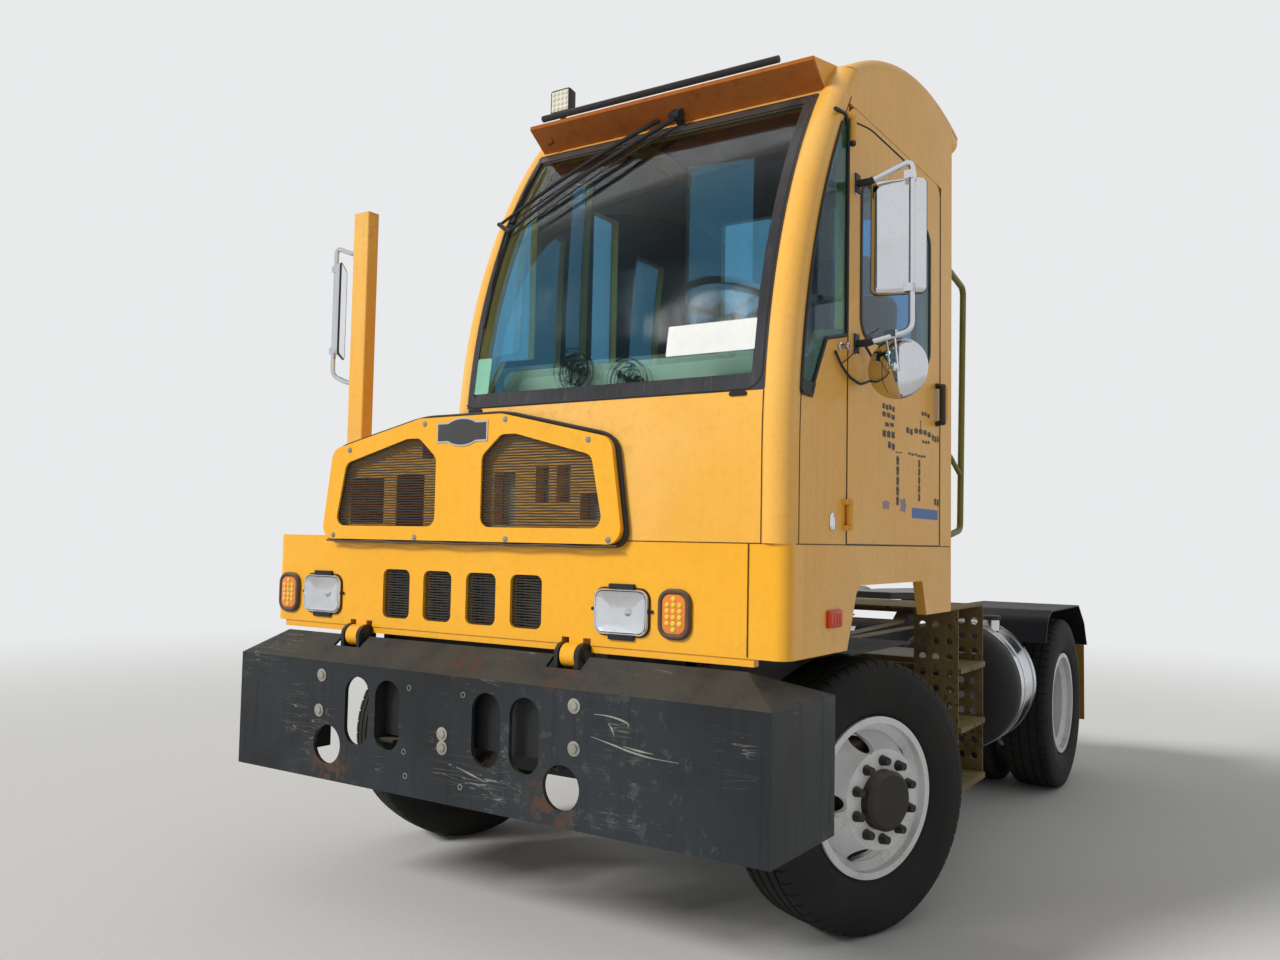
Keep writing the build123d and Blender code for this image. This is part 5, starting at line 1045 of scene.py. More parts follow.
REFLECTOR = Weathered(
    "reflector", "#e3e5e8", "#cfd2d6", dull=0.1, metallic=1.0, grimy=0.05, dusty=0.0, scale=6.0,
)
ZINC = Weathered(
    "zinc", "#a9a69c", "#c9c6bb", dull=0.4, metallic=0.8, grime="#4d4436", grimy=0.4, chips=0.3, scale=8.0,
)
RED_LENS = Weathered(
    "red_lens", "#d0380c", "#e25018", dull=0.35, gloss=0.2, coat=0.05, grimy=0.15, dusty=0.2, scale=6.0,
)
AMBER_LENS = Weathered(
    "amber_lens", "#e0760c", "#ec8d18", dull=0.16, coat=0.8, grimy=0.12, dusty=0.1, scale=8.0,
)
AMBER_CELL = Weathered(
    "amber_cell", "#f6c22a", "#fbd85a", dull=0.12, coat=0.8, grimy=0.05, dusty=0.0, scale=20.0,
)
LED_WHITE = Weathered("led_white", "#dcd8c4", "#eeeada", dull=0.2, coat=0.5, grimy=0.1, dusty=0.0, scale=12.0)
CAB_LINING = Weathered("cab_lining", "#2e3033", "#3b3d40", dull=0.85, grimy=0.3, dust="#7c7364", dusty=0.4)
DASH_GREY = Weathered("dash_grey", "#a7aa9c", "#bcbdab", dull=0.8, grime="#6d6a5c", dust="#c4bda6", dusty=0.5)
DASH_PAD = Weathered(
    "dash_pad", "#dcdcc2", "#e8e6cd", dull=0.85, grime="#8f8c76", grimy=0.3, dust="#c4bda6", scale=2.0,
)
WHEEL_PLASTIC = Weathered("wheel_plastic", "#17181a", "#24262a", dull=0.45, grimy=0.2, dusty=0.25, scale=4.0)
RAIL_OLIVE = Weathered(
    "rail_olive", "#6d6a1e", "#84802c", dull=0.5, grime="#37311b", grimy=0.4, streaks=0.2, chips=0.4,
    scale=3.0,
)
PLATE_STEEL = Weathered(
    "plate_steel", "#3a3835", "#4d4a45", dull=0.35, metallic=0.7, grime="#171412", grimy=0.8,
    dusty=0.2, scratches=0.6, chips=0.3,
)
ROD_CHROME = Weathered("rod_chrome", "#c9ccd0", "#b5b8bd", dull=0.1, metallic=1.0, grime="#2a251d", grimy=0.3)
PAPER_WHITE = Weathered("paper_white", "#e6e6e1", "#f2f2ef", grime="#9c9686", grimy=0.12, scale=4.0)
PAPER_MINT = Weathered("paper_mint", "#7fb79c", "#93c9ae", grimy=0.1, scale=6.0)
DECAL_BLACK = Weathered(
    "decal_black", "#221d18", "#3a322a", fade=0.9, grime="#8a6a40", grimy=0.7, streaks=0.5,
    scale=9.0,
)
DECAL_FADED = Weathered("decal_faded", "#8d8398", "#a08c8c", grime="#c19350", grimy=0.6, scale=6.0)
DECAL_BLUE = Weathered("decal_blue", "#2b5fa5", "#3c70b5", dull=0.5, grime="#8a6a40", grimy=0.2, scale=6.0)
PLATE_GREY = Weathered("plate_grey", "#4c4c4b", "#5b5b59", dull=0.35, metallic=0.6, grimy=0.2, scale=6.0)
# Its far panes take a blue that is a painted sky reflection.
WINDOW_GLASS = Glass("window_glass", "#7cb0b4", painted_sky_tint="#62b2e0")
# Its blue tint paints the sky reflected in the door and rear panes and seen through them.
SKY_TINTED_SIDE_GLASS = Glass("side_glass_painted_sky", "#5aa5d0", film_cover=0.05, clear=0.88)
LAMP_GLASS = Glass("lamp_glass", "#eef1f4", film_cover=0.02, clear=0.14, dull=0.04, flutes=45.0)
SEAT_CLOTH = Woven("seat_cloth", "#232428", "#3a3a3c")

SAME_NAMED = (
    ENGINE_GREY, BUMPER_BLACK, STEP_METAL, RIM_WHITE, HUB_DARK, MESH_BLACK, CAB_LINING, DASH_GREY,
    WHEEL_PLASTIC, RAIL_OLIVE, PLATE_STEEL, ROD_CHROME,
)
SLOT_FINISH: dict[str, Finish] = {finish.name: finish for finish in SAME_NAMED} | {
    "frame_steel": CHASSIS_BLACK,
    "yellow_paint": CAB_YELLOW,
    "grey_paint": BOX_GREY,
    "tank_aluminium": TANK_METAL,
    "rubber_flap": FLAP_YELLOW,
    "radiator_fins": FIN_METAL,
    "tyre": TYRE_RUBBER,
    "glass": SKY_TINTED_SIDE_GLASS,
    "lamp_clear": LED_WHITE,
    "lamp_amber": AMBER_LENS,
    "lamp_red": RED_LENS,
    "mirror_chrome": CHROME,
    "seat_fabric": SEAT_CLOTH,
}
NODE_FINISH: dict[str, Finish] = {
    "grille_panel": PANEL_YELLOW,
    "front_clip": PANEL_YELLOW,
    "visor": VISOR_DIRT_AND_SHADE,
    "fenders": FENDER_BLACK_SKY_CAST,
    "cab_glass": WINDOW_GLASS,
}


def dress_nodes() -> None:
    """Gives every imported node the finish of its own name, or else of its material slot."""
    slots = {part["node"]: part["material_slot"] for part in frame["record"]["subparts"]}
    for name, node in frame["nodes"].items():
        finish = NODE_FINISH.get(name, SLOT_FINISH[slots[name]])
        node.data.materials.clear()
        node.data.materials.append(finish.material())
        log.info("%s wears %s", name, finish.name)


# Stage


@dataclass
class Stage:
    """Camera at the photograph's angle, pale floor, pale surroundings and a soft lamp."""

    position: Triple = (2586.57, -3928.69, 1449.94)
    yaw: float = 0.579711
    pitch: float = 0.0567814
    roll: float = 0.0188655
    focal_pixels: float = 1055.94
    sensor: float = 36.0
    clip: Pair = (0.05, 200.0)
    pale: str = "#e9eaeb"
    sky: Floats = (0.95, 0.98, 1.0, 1)
    sky_strength: float = 0.4
    sun_strength: float = 2.75
    sun_from: Triple = (-0.5, -0.85, 0.62)
    sun_softness: float = 14.0
    floor_half: float = 60000.0
    floor_thickness: float = 50
    floor_shades: tuple[str, str] = ("#dcdad6", "#c9c6c0")
    floor_fade: Pair = (4.5, 13.0)

    def camera(self) -> None:
        """Builds the camera's axes from yaw, then pitch, then roll, and sets it as the scene's."""
        cy, sy, cp, sp = math.cos(self.yaw), math.sin(self.yaw), math.cos(self.pitch), math.sin(self.pitch)
        ahead = np.array([-sy * cp, cy * cp, sp])
        level = np.array([cy, sy, 0.0])
        above = np.cross(level, ahead)
        cr, sr = math.cos(self.roll), math.sin(self.roll)
        axes = level * cr + above * sr, above * cr - level * sr, -ahead
        data = bpy.data.cameras.new("camera")
        data.sensor_width = self.sensor
        data.lens = self.focal_pixels / PHOTO_WIDTH * self.sensor
        data.clip_start, data.clip_end = self.clip
        camera = placed("camera", data)
        camera.matrix_world = self.facing(axes, np.array(self.position) * MM + HOME)
        bpy.context.scene.camera = camera
        bpy.context.scene.view_settings.view_transform = "Standard"

    def facing(self, axes: Sequence[Array], place: Sequence[float]) -> Matrix:
        """Makes the matrix whose columns are three axes and a place.

        Args:
            axes: Directions of x, y and z.
            place: The place in metres.

        Returns:
            The matrix.
        """
        matrix = np.eye(4)
        matrix[:3, :3] = np.stack(axes, 1)
        matrix[:3, 3] = place
        return Matrix(matrix.tolist())

    def pale_rays(self, graph: Graph) -> Socket:
        """Adds up the rays that see the pale colour: camera, glossy and transmission.

        Args:
            graph: The nodes to add to.

        Returns:
            1 for such a ray.
        """
        rays = graph.add("ShaderNodeLightPath").outputs
        both = graph.plus(rays["Is Camera Ray"], rays["Is Glossy Ray"], clamp=True)
        return graph.plus(both, rays["Is Transmission Ray"], clamp=True)

    def surroundings(self) -> None:
        """Lights evenly, and shows the pale colour to the camera and in gloss and glass."""
        world = bpy.data.worlds.new("studio")
        graph = cleared(world)
        sky = {"Color": self.sky, "Strength": self.sky_strength}
        light = graph.add("ShaderNodeBackground", sky).outputs[0]
        seen = graph.add("ShaderNodeBackground", {"Color": shade(self.pale), "Strength": 1.0}).outputs[0]
        mix = graph.add("ShaderNodeMixShader", {0: self.pale_rays(graph), 1: light, 2: seen})
        graph.add("ShaderNodeOutputWorld", {0: mix.outputs[0]})
        bpy.context.scene.world = world

    def lamp(self) -> None:
        """Hangs a soft key light ahead of the machine's right side."""
        data = bpy.data.lights.new("key", "SUN")
        data.energy, data.angle = self.sun_strength, math.radians(self.sun_softness)
        key = placed("key", data)
        way, first, second = across(self.sun_from)
        key.matrix_world = self.facing((first, second, way), (0, 0, 0))
        key.visible_glossy = False

    def floor(self) -> None:
        """Lays a level floor that turns into the surroundings' colour away from the machine."""
        material = bpy.data.materials.new("floor")
        graph = cleared(material)
        position = graph.add("ShaderNodeTexCoord").outputs["Object"]
        grain = graph.window(graph.noise(position, 60.0, 6), 0.3, 0.7)
        colour = graph.blend(graph.times(grain, 0.25), *map(shade, self.floor_shades))
        ground = graph.add("ShaderNodeBsdfPrincipled", {"Base Color": colour, "Roughness": 0.85}).outputs[0]
        glow = graph.add("ShaderNodeEmission", {"Color": shade(self.pale), "Strength": 1.0}).outputs[0]
        far = graph.add("ShaderNodeVectorMath", {0: position}, operation="LENGTH").outputs["Value"]
        fade = graph.times(graph.window(far, *self.floor_fade), self.pale_rays(graph))
        mix = graph.add("ShaderNodeMixShader", {0: fade, 1: ground, 2: glow})
        graph.add("ShaderNodeOutputMaterial", {0: mix.outputs[0]})
        rect = RoundRect.about(0, 0, 2 * self.floor_half, 2 * self.floor_half, 1000)
        shape = slab(rect, ((0, -self.floor_thickness), (0, 0)), top(0))
        placed("floor", mesh_of("floor", shape, material))

    def build(self) -> None:
        """Sets up camera, surroundings, lamp and floor."""
        self.camera()
        self.surroundings()
        self.lamp()
        self.floor()


# Wheels


@dataclass
class Tyres:
    """Six tyres on four wheels, each one surface of angle and distance across its section."""

    radius: float = 508
    steer: float = -22.38
    kingpin_x: float = 930
    offset: float = 120
    rear_y: float = 2946
    rear_x: Pair = (1082, 739)
    pitches: int = 60
    pitch_parts: Floats = (0.0, 0.09, 0.12, 0.5, 0.97)
    cut_part: float = 0.09
    cut_across: float = 122
    cut_above: float = 480
    cut_depth: float = 6.3
    grooves: Floats = (-74, -27, 27, 74)
    groove_half: float = 5
    groove_depth: float = 9
    tread_edges: Floats = (-96, -88, 0, 88, 96)
    crown: float = 4
    wall: Pairs = (  # distance across, radius
        (106, 503), (114, 499), (121, 491), (125, 480), (130, 464), (131.5, 461), (131, 458), (134, 446),
        (137.5, 420), (138, 400), (136, 376), (134, 372), (134, 366), (131, 350), (125, 330), (118, 316),
        (114, 310), (110, 306), (104, 300), (100, 292), (98, 288.5), (80, 288.5),
    )

    def section(self) -> tuple[Array, Array, Array]:
        """Draws the section: flat tread, rounded shoulder, bulging wall, bead and a plain inside.

        Returns:
            Distance across, radius and whether it is tread, of each point round the section.
        """
        edges = np.array(self.grooves)[:, None] + self.groove_half * np.array([-1.5, -1, 1, 1.5])
        tread = np.sort(np.concatenate([edges.ravel(), self.tread_edges]))
        wall = np.array(self.wall)
        side = np.concatenate([tread, wall[:, 0], -wall[::-1, 0]])
        reach = np.concatenate([self.radius - self.crown * (tread / 100) ** 2, wall[:, 1], wall[::-1, 1]])
        return side, reach, np.arange(len(side)) < len(tread)

    def surface(self, centre: Triple, out: Triple, tread: Tread) -> Shape:
        """Carries the section round the axle and cuts the tread into it.

        A point is centre + w out + r (cos t up + sin t along). Grooves lower r in four rings, and
        cross cuts lower it at the start of each pitch, at the shoulders or over the whole tread.

        Args:
            centre: Middle of the tyre.
            out: Unit vector along the axle.
            tread: The pattern.

        Returns:
            The tyre.
        """
        side, reach, is_tread = self.section()
        parts = np.array(self.pitch_parts)
        turn = ((np.arange(self.pitches)[:, None] + parts) / self.pitches * 2 * np.pi).ravel()
        away = np.abs(side[:, None] - np.array(self.grooves)).min(1)
        groove = np.where((away <= self.groove_half) & is_tread, self.groove_depth, 0)
        reached = (np.abs(side) >= tread.value) & (np.abs(side) <= self.cut_across) & (reach > self.cut_above)
        cut = np.tile(parts <= self.cut_part, self.pitches)[:, None] & reached
        depth = np.minimum(groove[None] + np.where(cut, self.cut_depth, 0), self.groove_depth)
        way, first, second = across(out)
        ring = np.cos(turn)[:, None] * second + np.sin(turn)[:, None] * first
        grid = np.array(centre) + side[None, :, None] * way + (reach[None] - depth)[..., None] * ring[:, None]
        return skin(grid, wrap_rows=True)

    def build(self) -> None:
        """Shows the two steered tyres and the two twin pairs."""
        turn = math.radians(self.steer)
        for name, sign in (("left", 1), ("right", -1)):
            out = (sign * math.cos(turn), sign * math.sin(turn), 0.0)
            hub = (sign * self.kingpin_x + out[0] * self.offset, out[1] * self.offset, self.radius)
            single = self.surface(hub, out, Tread.RIB)
            body = Body(f"wheel_front_{name}")
            show(f"front_tyre_{name}", single, TYRE_RUBBER, "tyre", body, [f"tyre_front_{name}"])
            places = [(sign * x, self.rear_y, self.radius) for x in self.rear_x]
            pair = [self.surface(place, (sign, 0, 0), Tread.BLOCK) for place in places]
            body = Body(f"wheel_rear_{name}")
            show(f"rear_tyres_{name}", pair, TYRE_RUBBER, "tyre", body, [f"tyre_rear_{name}"])


# Front of the machine


@dataclass
class GrilleScreens:
    """Fine level bars behind the two grille openings and the four lower slots."""

    upper_y: float = -1001
    lower_y: float = -960
    pitch: float = 10
    bar_radius: float = 2.5
    wave: float = 0.7
    middle_x: float = -134
    reach: Pair = (96, 690)
    narrowing: Pairs = ((1700, 0.42), (1745, 2.6))  # height where it starts, loss per rise
    upper_z: Pair = (1466, 1836)
    lower_x: Floats = (-480, -262, -43, 172)
    lower_z: Pair = (1130, 1314)
    lower_half: float = 71
    wires: int = 6
    wire_radius: float = 1.6

    def rows(self, x: Sequence[float], z: Pair, y: float) -> list[Shape]:
        """Makes the bars of one opening, each a thin round bar with a slight wave in its height.

        Args:
            x: Both ends of the bars.
            z: Lowest and highest place.
            y: Their depth.

        Returns:
            The bars from below upwards.
        """
        along = np.linspace(x[0], x[1], 24)
        bars = []
        for number, level in enumerate(np.arange(z[0], z[1], self.pitch)):
            height = level + self.wave * np.sin(along / 23 + number * 1.7)
            path = np.stack([along, np.full_like(along, y), height], -1)
            bars.append(tube(path, self.bar_radius, 6, flat=1.2))
        return bars

    def build(self) -> None:
        """Shows all bars, cut to the openings' slanting ends, and the upright wires that carry them."""
        parts = []
        for sign in (1, -1):
            near, far = (self.middle_x + sign * reach for reach in self.reach)
            for bar in self.rows(sorted((near, far)), self.upper_z, self.upper_y):
                z = bar.points[:, 2].mean()
                loss = sum(max(0, (z - start) * share) for start, share in self.narrowing)
                bar.points[:, 0] = np.clip(bar.points[:, 0], *sorted((far - sign * loss, near)))
                parts.append(bar)
        for x in self.lower_x:
            parts += self.rows((x - self.lower_half, x + self.lower_half), self.lower_z, self.lower_y)
            for wire in np.linspace(x - self.lower_half + 4, x + self.lower_half - 4, self.wires):
                path = [(wire, self.lower_y + 3, z) for z in self.lower_z]
                parts.append(tube(path, self.wire_radius, 6, BACK))
        show("grille_screens", parts, MESH_BLACK, "mesh_black", replaces=["grille_mesh"])


@dataclass
class GrilleTrim:
    """Blank badge plate, screws, and the gasket and warped lip of the raised panel."""

    face_y: float = -1013
    badge: Pair = (-118, 1840)
    badge_half: Pair = (122, 34)
    badge_oval: Pair = (92, 50)
    screws: Pairs = (
        (-726, 1790), (-312, 1878), (-808, 1448), (-351, 1444), (88, 1878), (462, 1790), (103, 1444),
        (554, 1448),
    )
    screw: Pairs = ((11, 0.2), (11, 1.6), (8, 2.0), (7.4, 4.6), (5, 6.2), (1, 6.6))
    rim: Pairs = (
        (-134, 1430), (615, 1430), (561, 1800), (76, 1904), (-344, 1904), (-829, 1800), (-883, 1430),
        (-134, 1430),
    )
    lip_x: Pair = (-850, 585)
    lip_z: float = 1427
    sag: float = 5
    waves: int = 5

    def badge_outline(self, grow: float) -> Array:
        """Draws the plate: half its height is the larger of a straight edge and an ellipse in the middle.

        Args:
            grow: How far the edge moves out.

        Returns:
            Points of x and z as (n, 2).
        """
        x = np.linspace(-1, 1, 41) * (self.badge_half[0] + grow)
        oval = self.badge_oval[1] * np.sqrt(np.clip(1 - (x / self.badge_oval[0]) ** 2, 0, None))
        upper = np.stack([x, np.maximum(self.badge_half[1], oval) + grow], -1)
        return np.vstack([upper, -upper]) + np.array(self.badge)

    def build(self) -> None:
        """Shows plate, edging, screws, lip and gasket."""
        layers = (("badge_edge", 4, 3.4, CHROME), ("badge_plate", -2, 4.6, PLATE_GREY))
        for name, grow, height, finish in layers:
            layer = plate(self.badge_outline(grow), 0.2, height, front(self.face_y))
            show(name, layer, finish, "mirror_chrome", bevel=0.8)
        show("grille_screws", studs(self.screw, self.screws, self.face_y, 20), ZINC, "mirror_chrome")
        x = np.linspace(*self.lip_x, 120)
        wave = np.sin((x - x[0]) / (x[-1] - x[0]) * np.pi * self.waves) ** 2
        path = np.stack([x, np.full_like(x, self.face_y + 5), self.lip_z - self.sag * wave], -1)
        show("grille_lip", tube(path, 4.0, 8), GROMMET_GREY, "yellow_paint")
        path = bends([(x, self.face_y + 29, z) for x, z in self.rim], 62)
        show("grille_gasket", tube(path, 9.5, 10, BACK), RUBBER)


@dataclass
class Headlamps:
    """Two rounded rectangular lamps with reflector, bulb, fluted lens, frame and clips."""

    face_y: float = -973
    places: Pairs = ((590, 1208), (-898, 1206))
    width: float = 214
    height: float = 152
    radius: float = 34
    bowl_depth: Pair = (15, 12)
    bowl_insets: Floats = (2, 10, 20, 32, 45, 56)
    bowl_reach: float = 58
    bulb: Pairs = ((13, 2), (13, 6), (9, 9), (9, 12), (6, 14), (1, 14.6))
    bulb_off: float = 26
    lens: Pairs = ((4, 15.2), (1, 16), (0, 18), (2, 21), (8, 23.5), (24, 25), (50, 25.6))
    clip: Pairs = ((0, 0.2), (0, 9), (2, 11))
    clip_size: Triple = (104, 20, 4)
    peg: Pairs = ((6, 0.2), (6, 7), (3, 9))
    back: Pairs = ((0, 0.2), (0, 2.5), (3, 3))

    def clips(self, x: float, z: float, rect: RoundRect) -> list[Shape]:
        """Makes the clips above and below, the pegs at both sides and the plate behind.

        Args:
            x: Middle of the lamp.
            z: Middle of the lamp.
            rect: Its outline.

        Returns:
            The parts.
        """
        sheet = front(self.face_y)
        levels = (z + self.height / 2 + 8, z - self.height / 2 - 8)
        parts = [slab(RoundRect.about(x, level, *self.clip_size), self.clip, sheet) for level in levels]
        sides = ((x - self.width / 2 - 12, z + 6), (x + self.width / 2 + 12, z + 6))
        return parts + studs(self.peg, sides, self.face_y, 12) + [slab(rect.inset(-6), self.back, sheet, 8)]

    def build(self) -> None:
        """Shows both lamps; the bowl's depth falls with the sine of the inset."""
        sheet, (edge, fall) = front(self.face_y), self.bowl_depth
        curved = [(by, edge - fall * math.sin(by / self.bowl_reach * math.pi / 2)) for by in self.bowl_insets]
        bowl = ((0, 0.2), (0, edge), *curved)
        for (x, z), side in zip(self.places, ("left", "right")):
            rect = RoundRect.about(x, z, self.width, self.height, self.radius)
            show(f"reflector_{side}", slab(rect.inset(8), bowl, sheet), REFLECTOR, "lamp_clear")
            bulb = studs(self.bulb, [(x + self.bulb_off, z)], self.face_y, 20)
            show(f"bulb_{side}", bulb, CHROME, "lamp_clear")
            show(f"lamp_lens_{side}", slab(rect, self.lens, sheet, 8), LAMP_GLASS, "lamp_clear")
            show(f"lamp_frame_{side}", bead(rect.inset(3), 4.5, 8, sheet, base=8), CHROME)
            show(f"lamp_clips_{side}", self.clips(x, z, rect), RUBBER)


@dataclass
class WorkLamp:
    """The square lamp over the visor: finned housing, stem and a board of sixteen cells."""

    place: Triple = (-30, -560, 3240)
    size: float = 100
    foot_z: float = 3150
    housing: Pairs = ((10, -24), (4, -20), (0, 8), (0, 20), (3, 24))
    fins: int = 7
    steps: Floats = (-31, -10.5, 10.5, 31)
    cell: Pairs = ((9.4, 24.8), (8.4, 26.5), (5, 28), (1, 28.6))

    def build(self) -> None:
        """Shows housing, fins, stem, foot, board and cells."""
        x, y, z = self.place
        half, sheet = self.size / 2, front(y)
        rect = RoundRect.about(x, z, self.size, self.size, 12)
        fins = np.linspace(12 - half, half - 12, self.fins)
        parts = [slab(rect, self.housing, sheet)]
        parts += [block((x + fin, y + 21.5, z), (2, 3.5, half - 10)) for fin in fins]
        stem_top = z - half + 4
        parts.append(block((x, y, (self.foot_z + stem_top) / 2), (9, 9, (stem_top - self.foot_z) / 2)))
        parts.append(block((x, y, self.foot_z + 5), (26, 16, 5)))
        show("work_lamp_housing", parts, RUBBER, "lamp_clear", replaces=["headlamps"])
        cells = studs(self.cell, [(x + a, z + b) for a in self.steps for b in self.steps], y, 12)
        board = slab(rect.inset(8), ((0, 23), (0, 25)), sheet)
        show("work_lamp_board", [board, *cells], LED_WHITE, "lamp_clear")


@dataclass
class MarkerLamps:
    """Amber lamps with rubber rings and small cells, and the red markers on the skirts."""

    face_y: float = -973
    places: Pairs = ((799, 1211), (-1105, 1204))
    size: Triple = (124, 164, 46)
    lens: Pairs = ((0, 0.2), (0, 11), (3, 14))
    cell: Pairs = ((10.5, 13.5), (9.5, 16), (6, 18.2), (1, 19))
    cell_x: Floats = (-24, 0, 24)
    cell_z: Floats = (-50, -30, -10, 10, 30, 50)
    cell_reach: float = 70
    marker: Pair = (-623, 1201)
    marker_x: float = 1199
    marker_size: Triple = (118, 58, 9)
    marker_face: Pairs = ((0, 0.2), (0, 8), (4, 11))
    rib: Pairs = ((0, 10), (4, 13))
    rib_size: Triple = (20, 40, 3)
    ribs: Floats = (-38, -13, 13, 38)

    def build(self) -> None:
        """Shows rings, lenses, cells and side markers."""
        sheet = front(self.face_y)
        rects = [RoundRect.about(x, z, *self.size) for x, z in self.places]
        steps = [(a, b) for a in self.cell_x for b in self.cell_z if abs(a) + abs(b) < self.cell_reach]
        cells = [(x + a, z + b) for x, z in self.places for a, b in steps]
        rings = [bead(rect.inset(9), 10, 12, sheet, base=5) for rect in rects]
        show("amber_rings", rings, GROMMET_GREY, "mesh_black")
        show("amber_cells", studs(self.cell, cells, self.face_y, 6), AMBER_CELL, "lamp_amber", smooth=10)
        lenses = [slab(rect.inset(17), self.lens, sheet, 8) for rect in rects]
        show("amber_lenses", lenses, AMBER_LENS, "lamp_amber", replaces=["amber_lamps"])
        y, z = self.marker
        for name, wall, at in (("left", left(self.marker_x), y), ("right", right(-self.marker_x), -y)):
            parts = [slab(RoundRect.about(at, z, *self.marker_size), self.marker_face, wall)]
            ribs = [RoundRect.about(at + step, z, *self.rib_size) for step in self.ribs]
            parts += [slab(rect, self.rib, wall) for rect in ribs]
            show(f"side_marker_{name}", parts, RED_LENS, "lamp_red")


@dataclass
class BumperFittings:
    """Bolts, small holes and the scrapes on the bumper's face."""

    face_y: float = -1115
    bolts: Pairs = ((-725, 900), (-735, 763), (-80, 745), (-78, 697), (503, 903), (506, 765))
    washer: Pairs = ((25, 0.2), (25, 1.8), (23, 2.4))
    head: Pairs = ((16, 2.4), (16, 7.2), (12.5, 9), (1, 9.1))
    holes: Pairs = ((-250, 893), (15, 893), (-257, 574), (13, 572), (-268, 660))
    hole: Pairs = ((8.5, 0.2), (8.5, 0.6))
    rim: Pair = (9, 1.6)
    scrapes: tuple[Pairs, ...] = (
        ((584, 885), (640, 886), (700, 876), (722, 866), (716, 858)),
        ((640, 862), (655, 846), (664, 826)),
        ((574, 812), (640, 800), (726, 782), (800, 772), (905, 770)),
        ((700, 796), (760, 788), (812, 786)),
        ((-8, 640), (60, 622), (130, 606)),
    )
    scrape_width: Pair = (0.5, 2.6)

    def scrape(self, points: Sequence[Pair]) -> Shape:
        """Makes one flat scrape whose width swells with a sine along it.

        Args:
            points: Its corners in x and z.

        Returns:
            The scrape.
        """
        path = bends([(x, self.face_y, z) for x, z in points], 30)
        swell = np.sin(np.linspace(0.15, math.pi - 0.15, len(path)))
        return tube(path, self.scrape_width[1] * swell + self.scrape_width[0], 6, BACK, 0.3)

    def build(self) -> None:
        """Shows bolts with washers, holes with rims, and scrapes."""
        washers = studs(self.washer, self.bolts, self.face_y, 28)
        heads = studs(self.head, self.bolts, self.face_y, 6)
        bolts = [part for pair in zip(washers, heads) for part in pair]
        rims = [hoop(*self.rim, (x, self.face_y, z), BACK, 20) for x, z in self.holes]
        for name, parts, finish, smooth in (
            ("bumper_bolts", bolts, ZINC, 25),
            ("bumper_hole_rims", rims, ZINC, 38),
            ("bumper_holes", studs(self.hole, self.holes, self.face_y, 20), RUBBER, 38),
            ("bumper_scrapes", [self.scrape(points) for points in self.scrapes], ZINC, 38),
        ):
            show(name, parts, finish, "bumper_black", Body.CHASSIS, smooth=smooth)


# Cab glass and fittings


@dataclass
class Windscreen:
    """Black border, blank card and sticker, and the twin-armed wiper of the curved windscreen."""

    edge: RoundRect = RoundRect(-166, 1097, 1935, 3025, 60)
    clear: RoundRect = RoundRect(-140, 1058, 1986, 2984, 8)
    card: RoundRect = RoundRect(730, 1062, 2064, 2168, 4)
    sticker: RoundRect = RoundRect(-112, -44, 1985, 2122, 6)
    paper: Pairs = ((0, -1.2), (0, 0.3))
    arms: tuple[tuple[Pair, Pair], ...] = (((478, 3066), (-150, 2672)), ((536, 3040), (-88, 2632)))  # x and z
    pivot: Pairs = ((17, 0), (17, 14), (12, 18), (12, 40), (8, 46))
    pivot_way: Triple = (0, -0.83, 0.55)
    motor: tuple[Pair, Pair] = ((455, 3078), (560, 3030))
    yoke: tuple[Pair, Pair] = ((-156, 2676), (-80, 2628))
    blade_x: float = -100
    blade_z: Pair = (2244, 2978)
    clips_z: Pair = (2455, 2825)
    lean: Triple = (0, 1, 0.2)

    def glazing(self) -> None:
        """Shows the border, the rubber round the pane, the blank card and the small sticker."""
        ring = band(self.edge.inset(0.6), self.clear, -3.4, -2.2, ARC, 40)
        show("windscreen_border", ring, BORDER_BLACK, "glass")
        rubber = bead(self.edge.inset(-1), 5, 4, ARC, 40, base=-1)
        show("windscreen_rubber", rubber, RUBBER)
        show("screen_card", slab(self.card, self.paper, ARC, 3, 8), PAPER_WHITE)
        show("screen_sticker", slab(self.sticker, self.paper, ARC, 3, 8), PAPER_MINT)

    def wiper(self) -> None:
        """Shows the pivot block, the two arms that bow off the glass, the yoke and the blade."""
        t = np.linspace(0, 1, 24)
        parts = []
        for (x_low, z_low), (x_high, z_high) in self.arms:
            x, z = x_low + (x_high - x_low) * t, z_low + (z_high - z_low) * t
            lift = 30 + 8 * np.sin(t * math.pi)
            parts.append(tube(ARC(x, z, lift), 10 - 4 * t, 8, self.lean))
            parts.append(tube(ARC(x + 10, z - 34 + 20 * t, lift - 12), 3, 6, self.lean))
        parts += [turned(self.pivot, ARC(*start, 0.5), self.pivot_way, 20) for start, _ in self.arms]
        parts.append(tube(ARC(*np.linspace(*self.motor, 8).T, 44), 22, 10, self.lean, 0.8))
        parts.append(tube(ARC(*np.linspace(*self.yoke, 6).T, 30), 9, 8, self.lean))
        show("wiper_arms", parts, RUBBER)
        x, z, t = self.blade_x, np.linspace(*self.blade_z, 40), np.linspace(-1, 1, 30)
        runs = [(x, z, 6, 5.5, 0.5), (x, z, 13, 4, 1.5)]
        runs.append((x - 6 + 6 * t**2, 2640 + 190 * t, 27 - 14 * t**2, 5, 1))
        runs += [(x - 1, clip_z + 95 * t, 20 - 8 * t**2, 3.5, 1) for clip_z in self.clips_z]
        blade = [tube(ARC(a, b, height), radius, 8, SIDE, flat) for a, b, height, radius, flat in runs]
        show("wiper_blade", blade, RUBBER)

    def build(self) -> None:
        """Shows everything on the windscreen."""
        self.glazing()
        self.wiper()


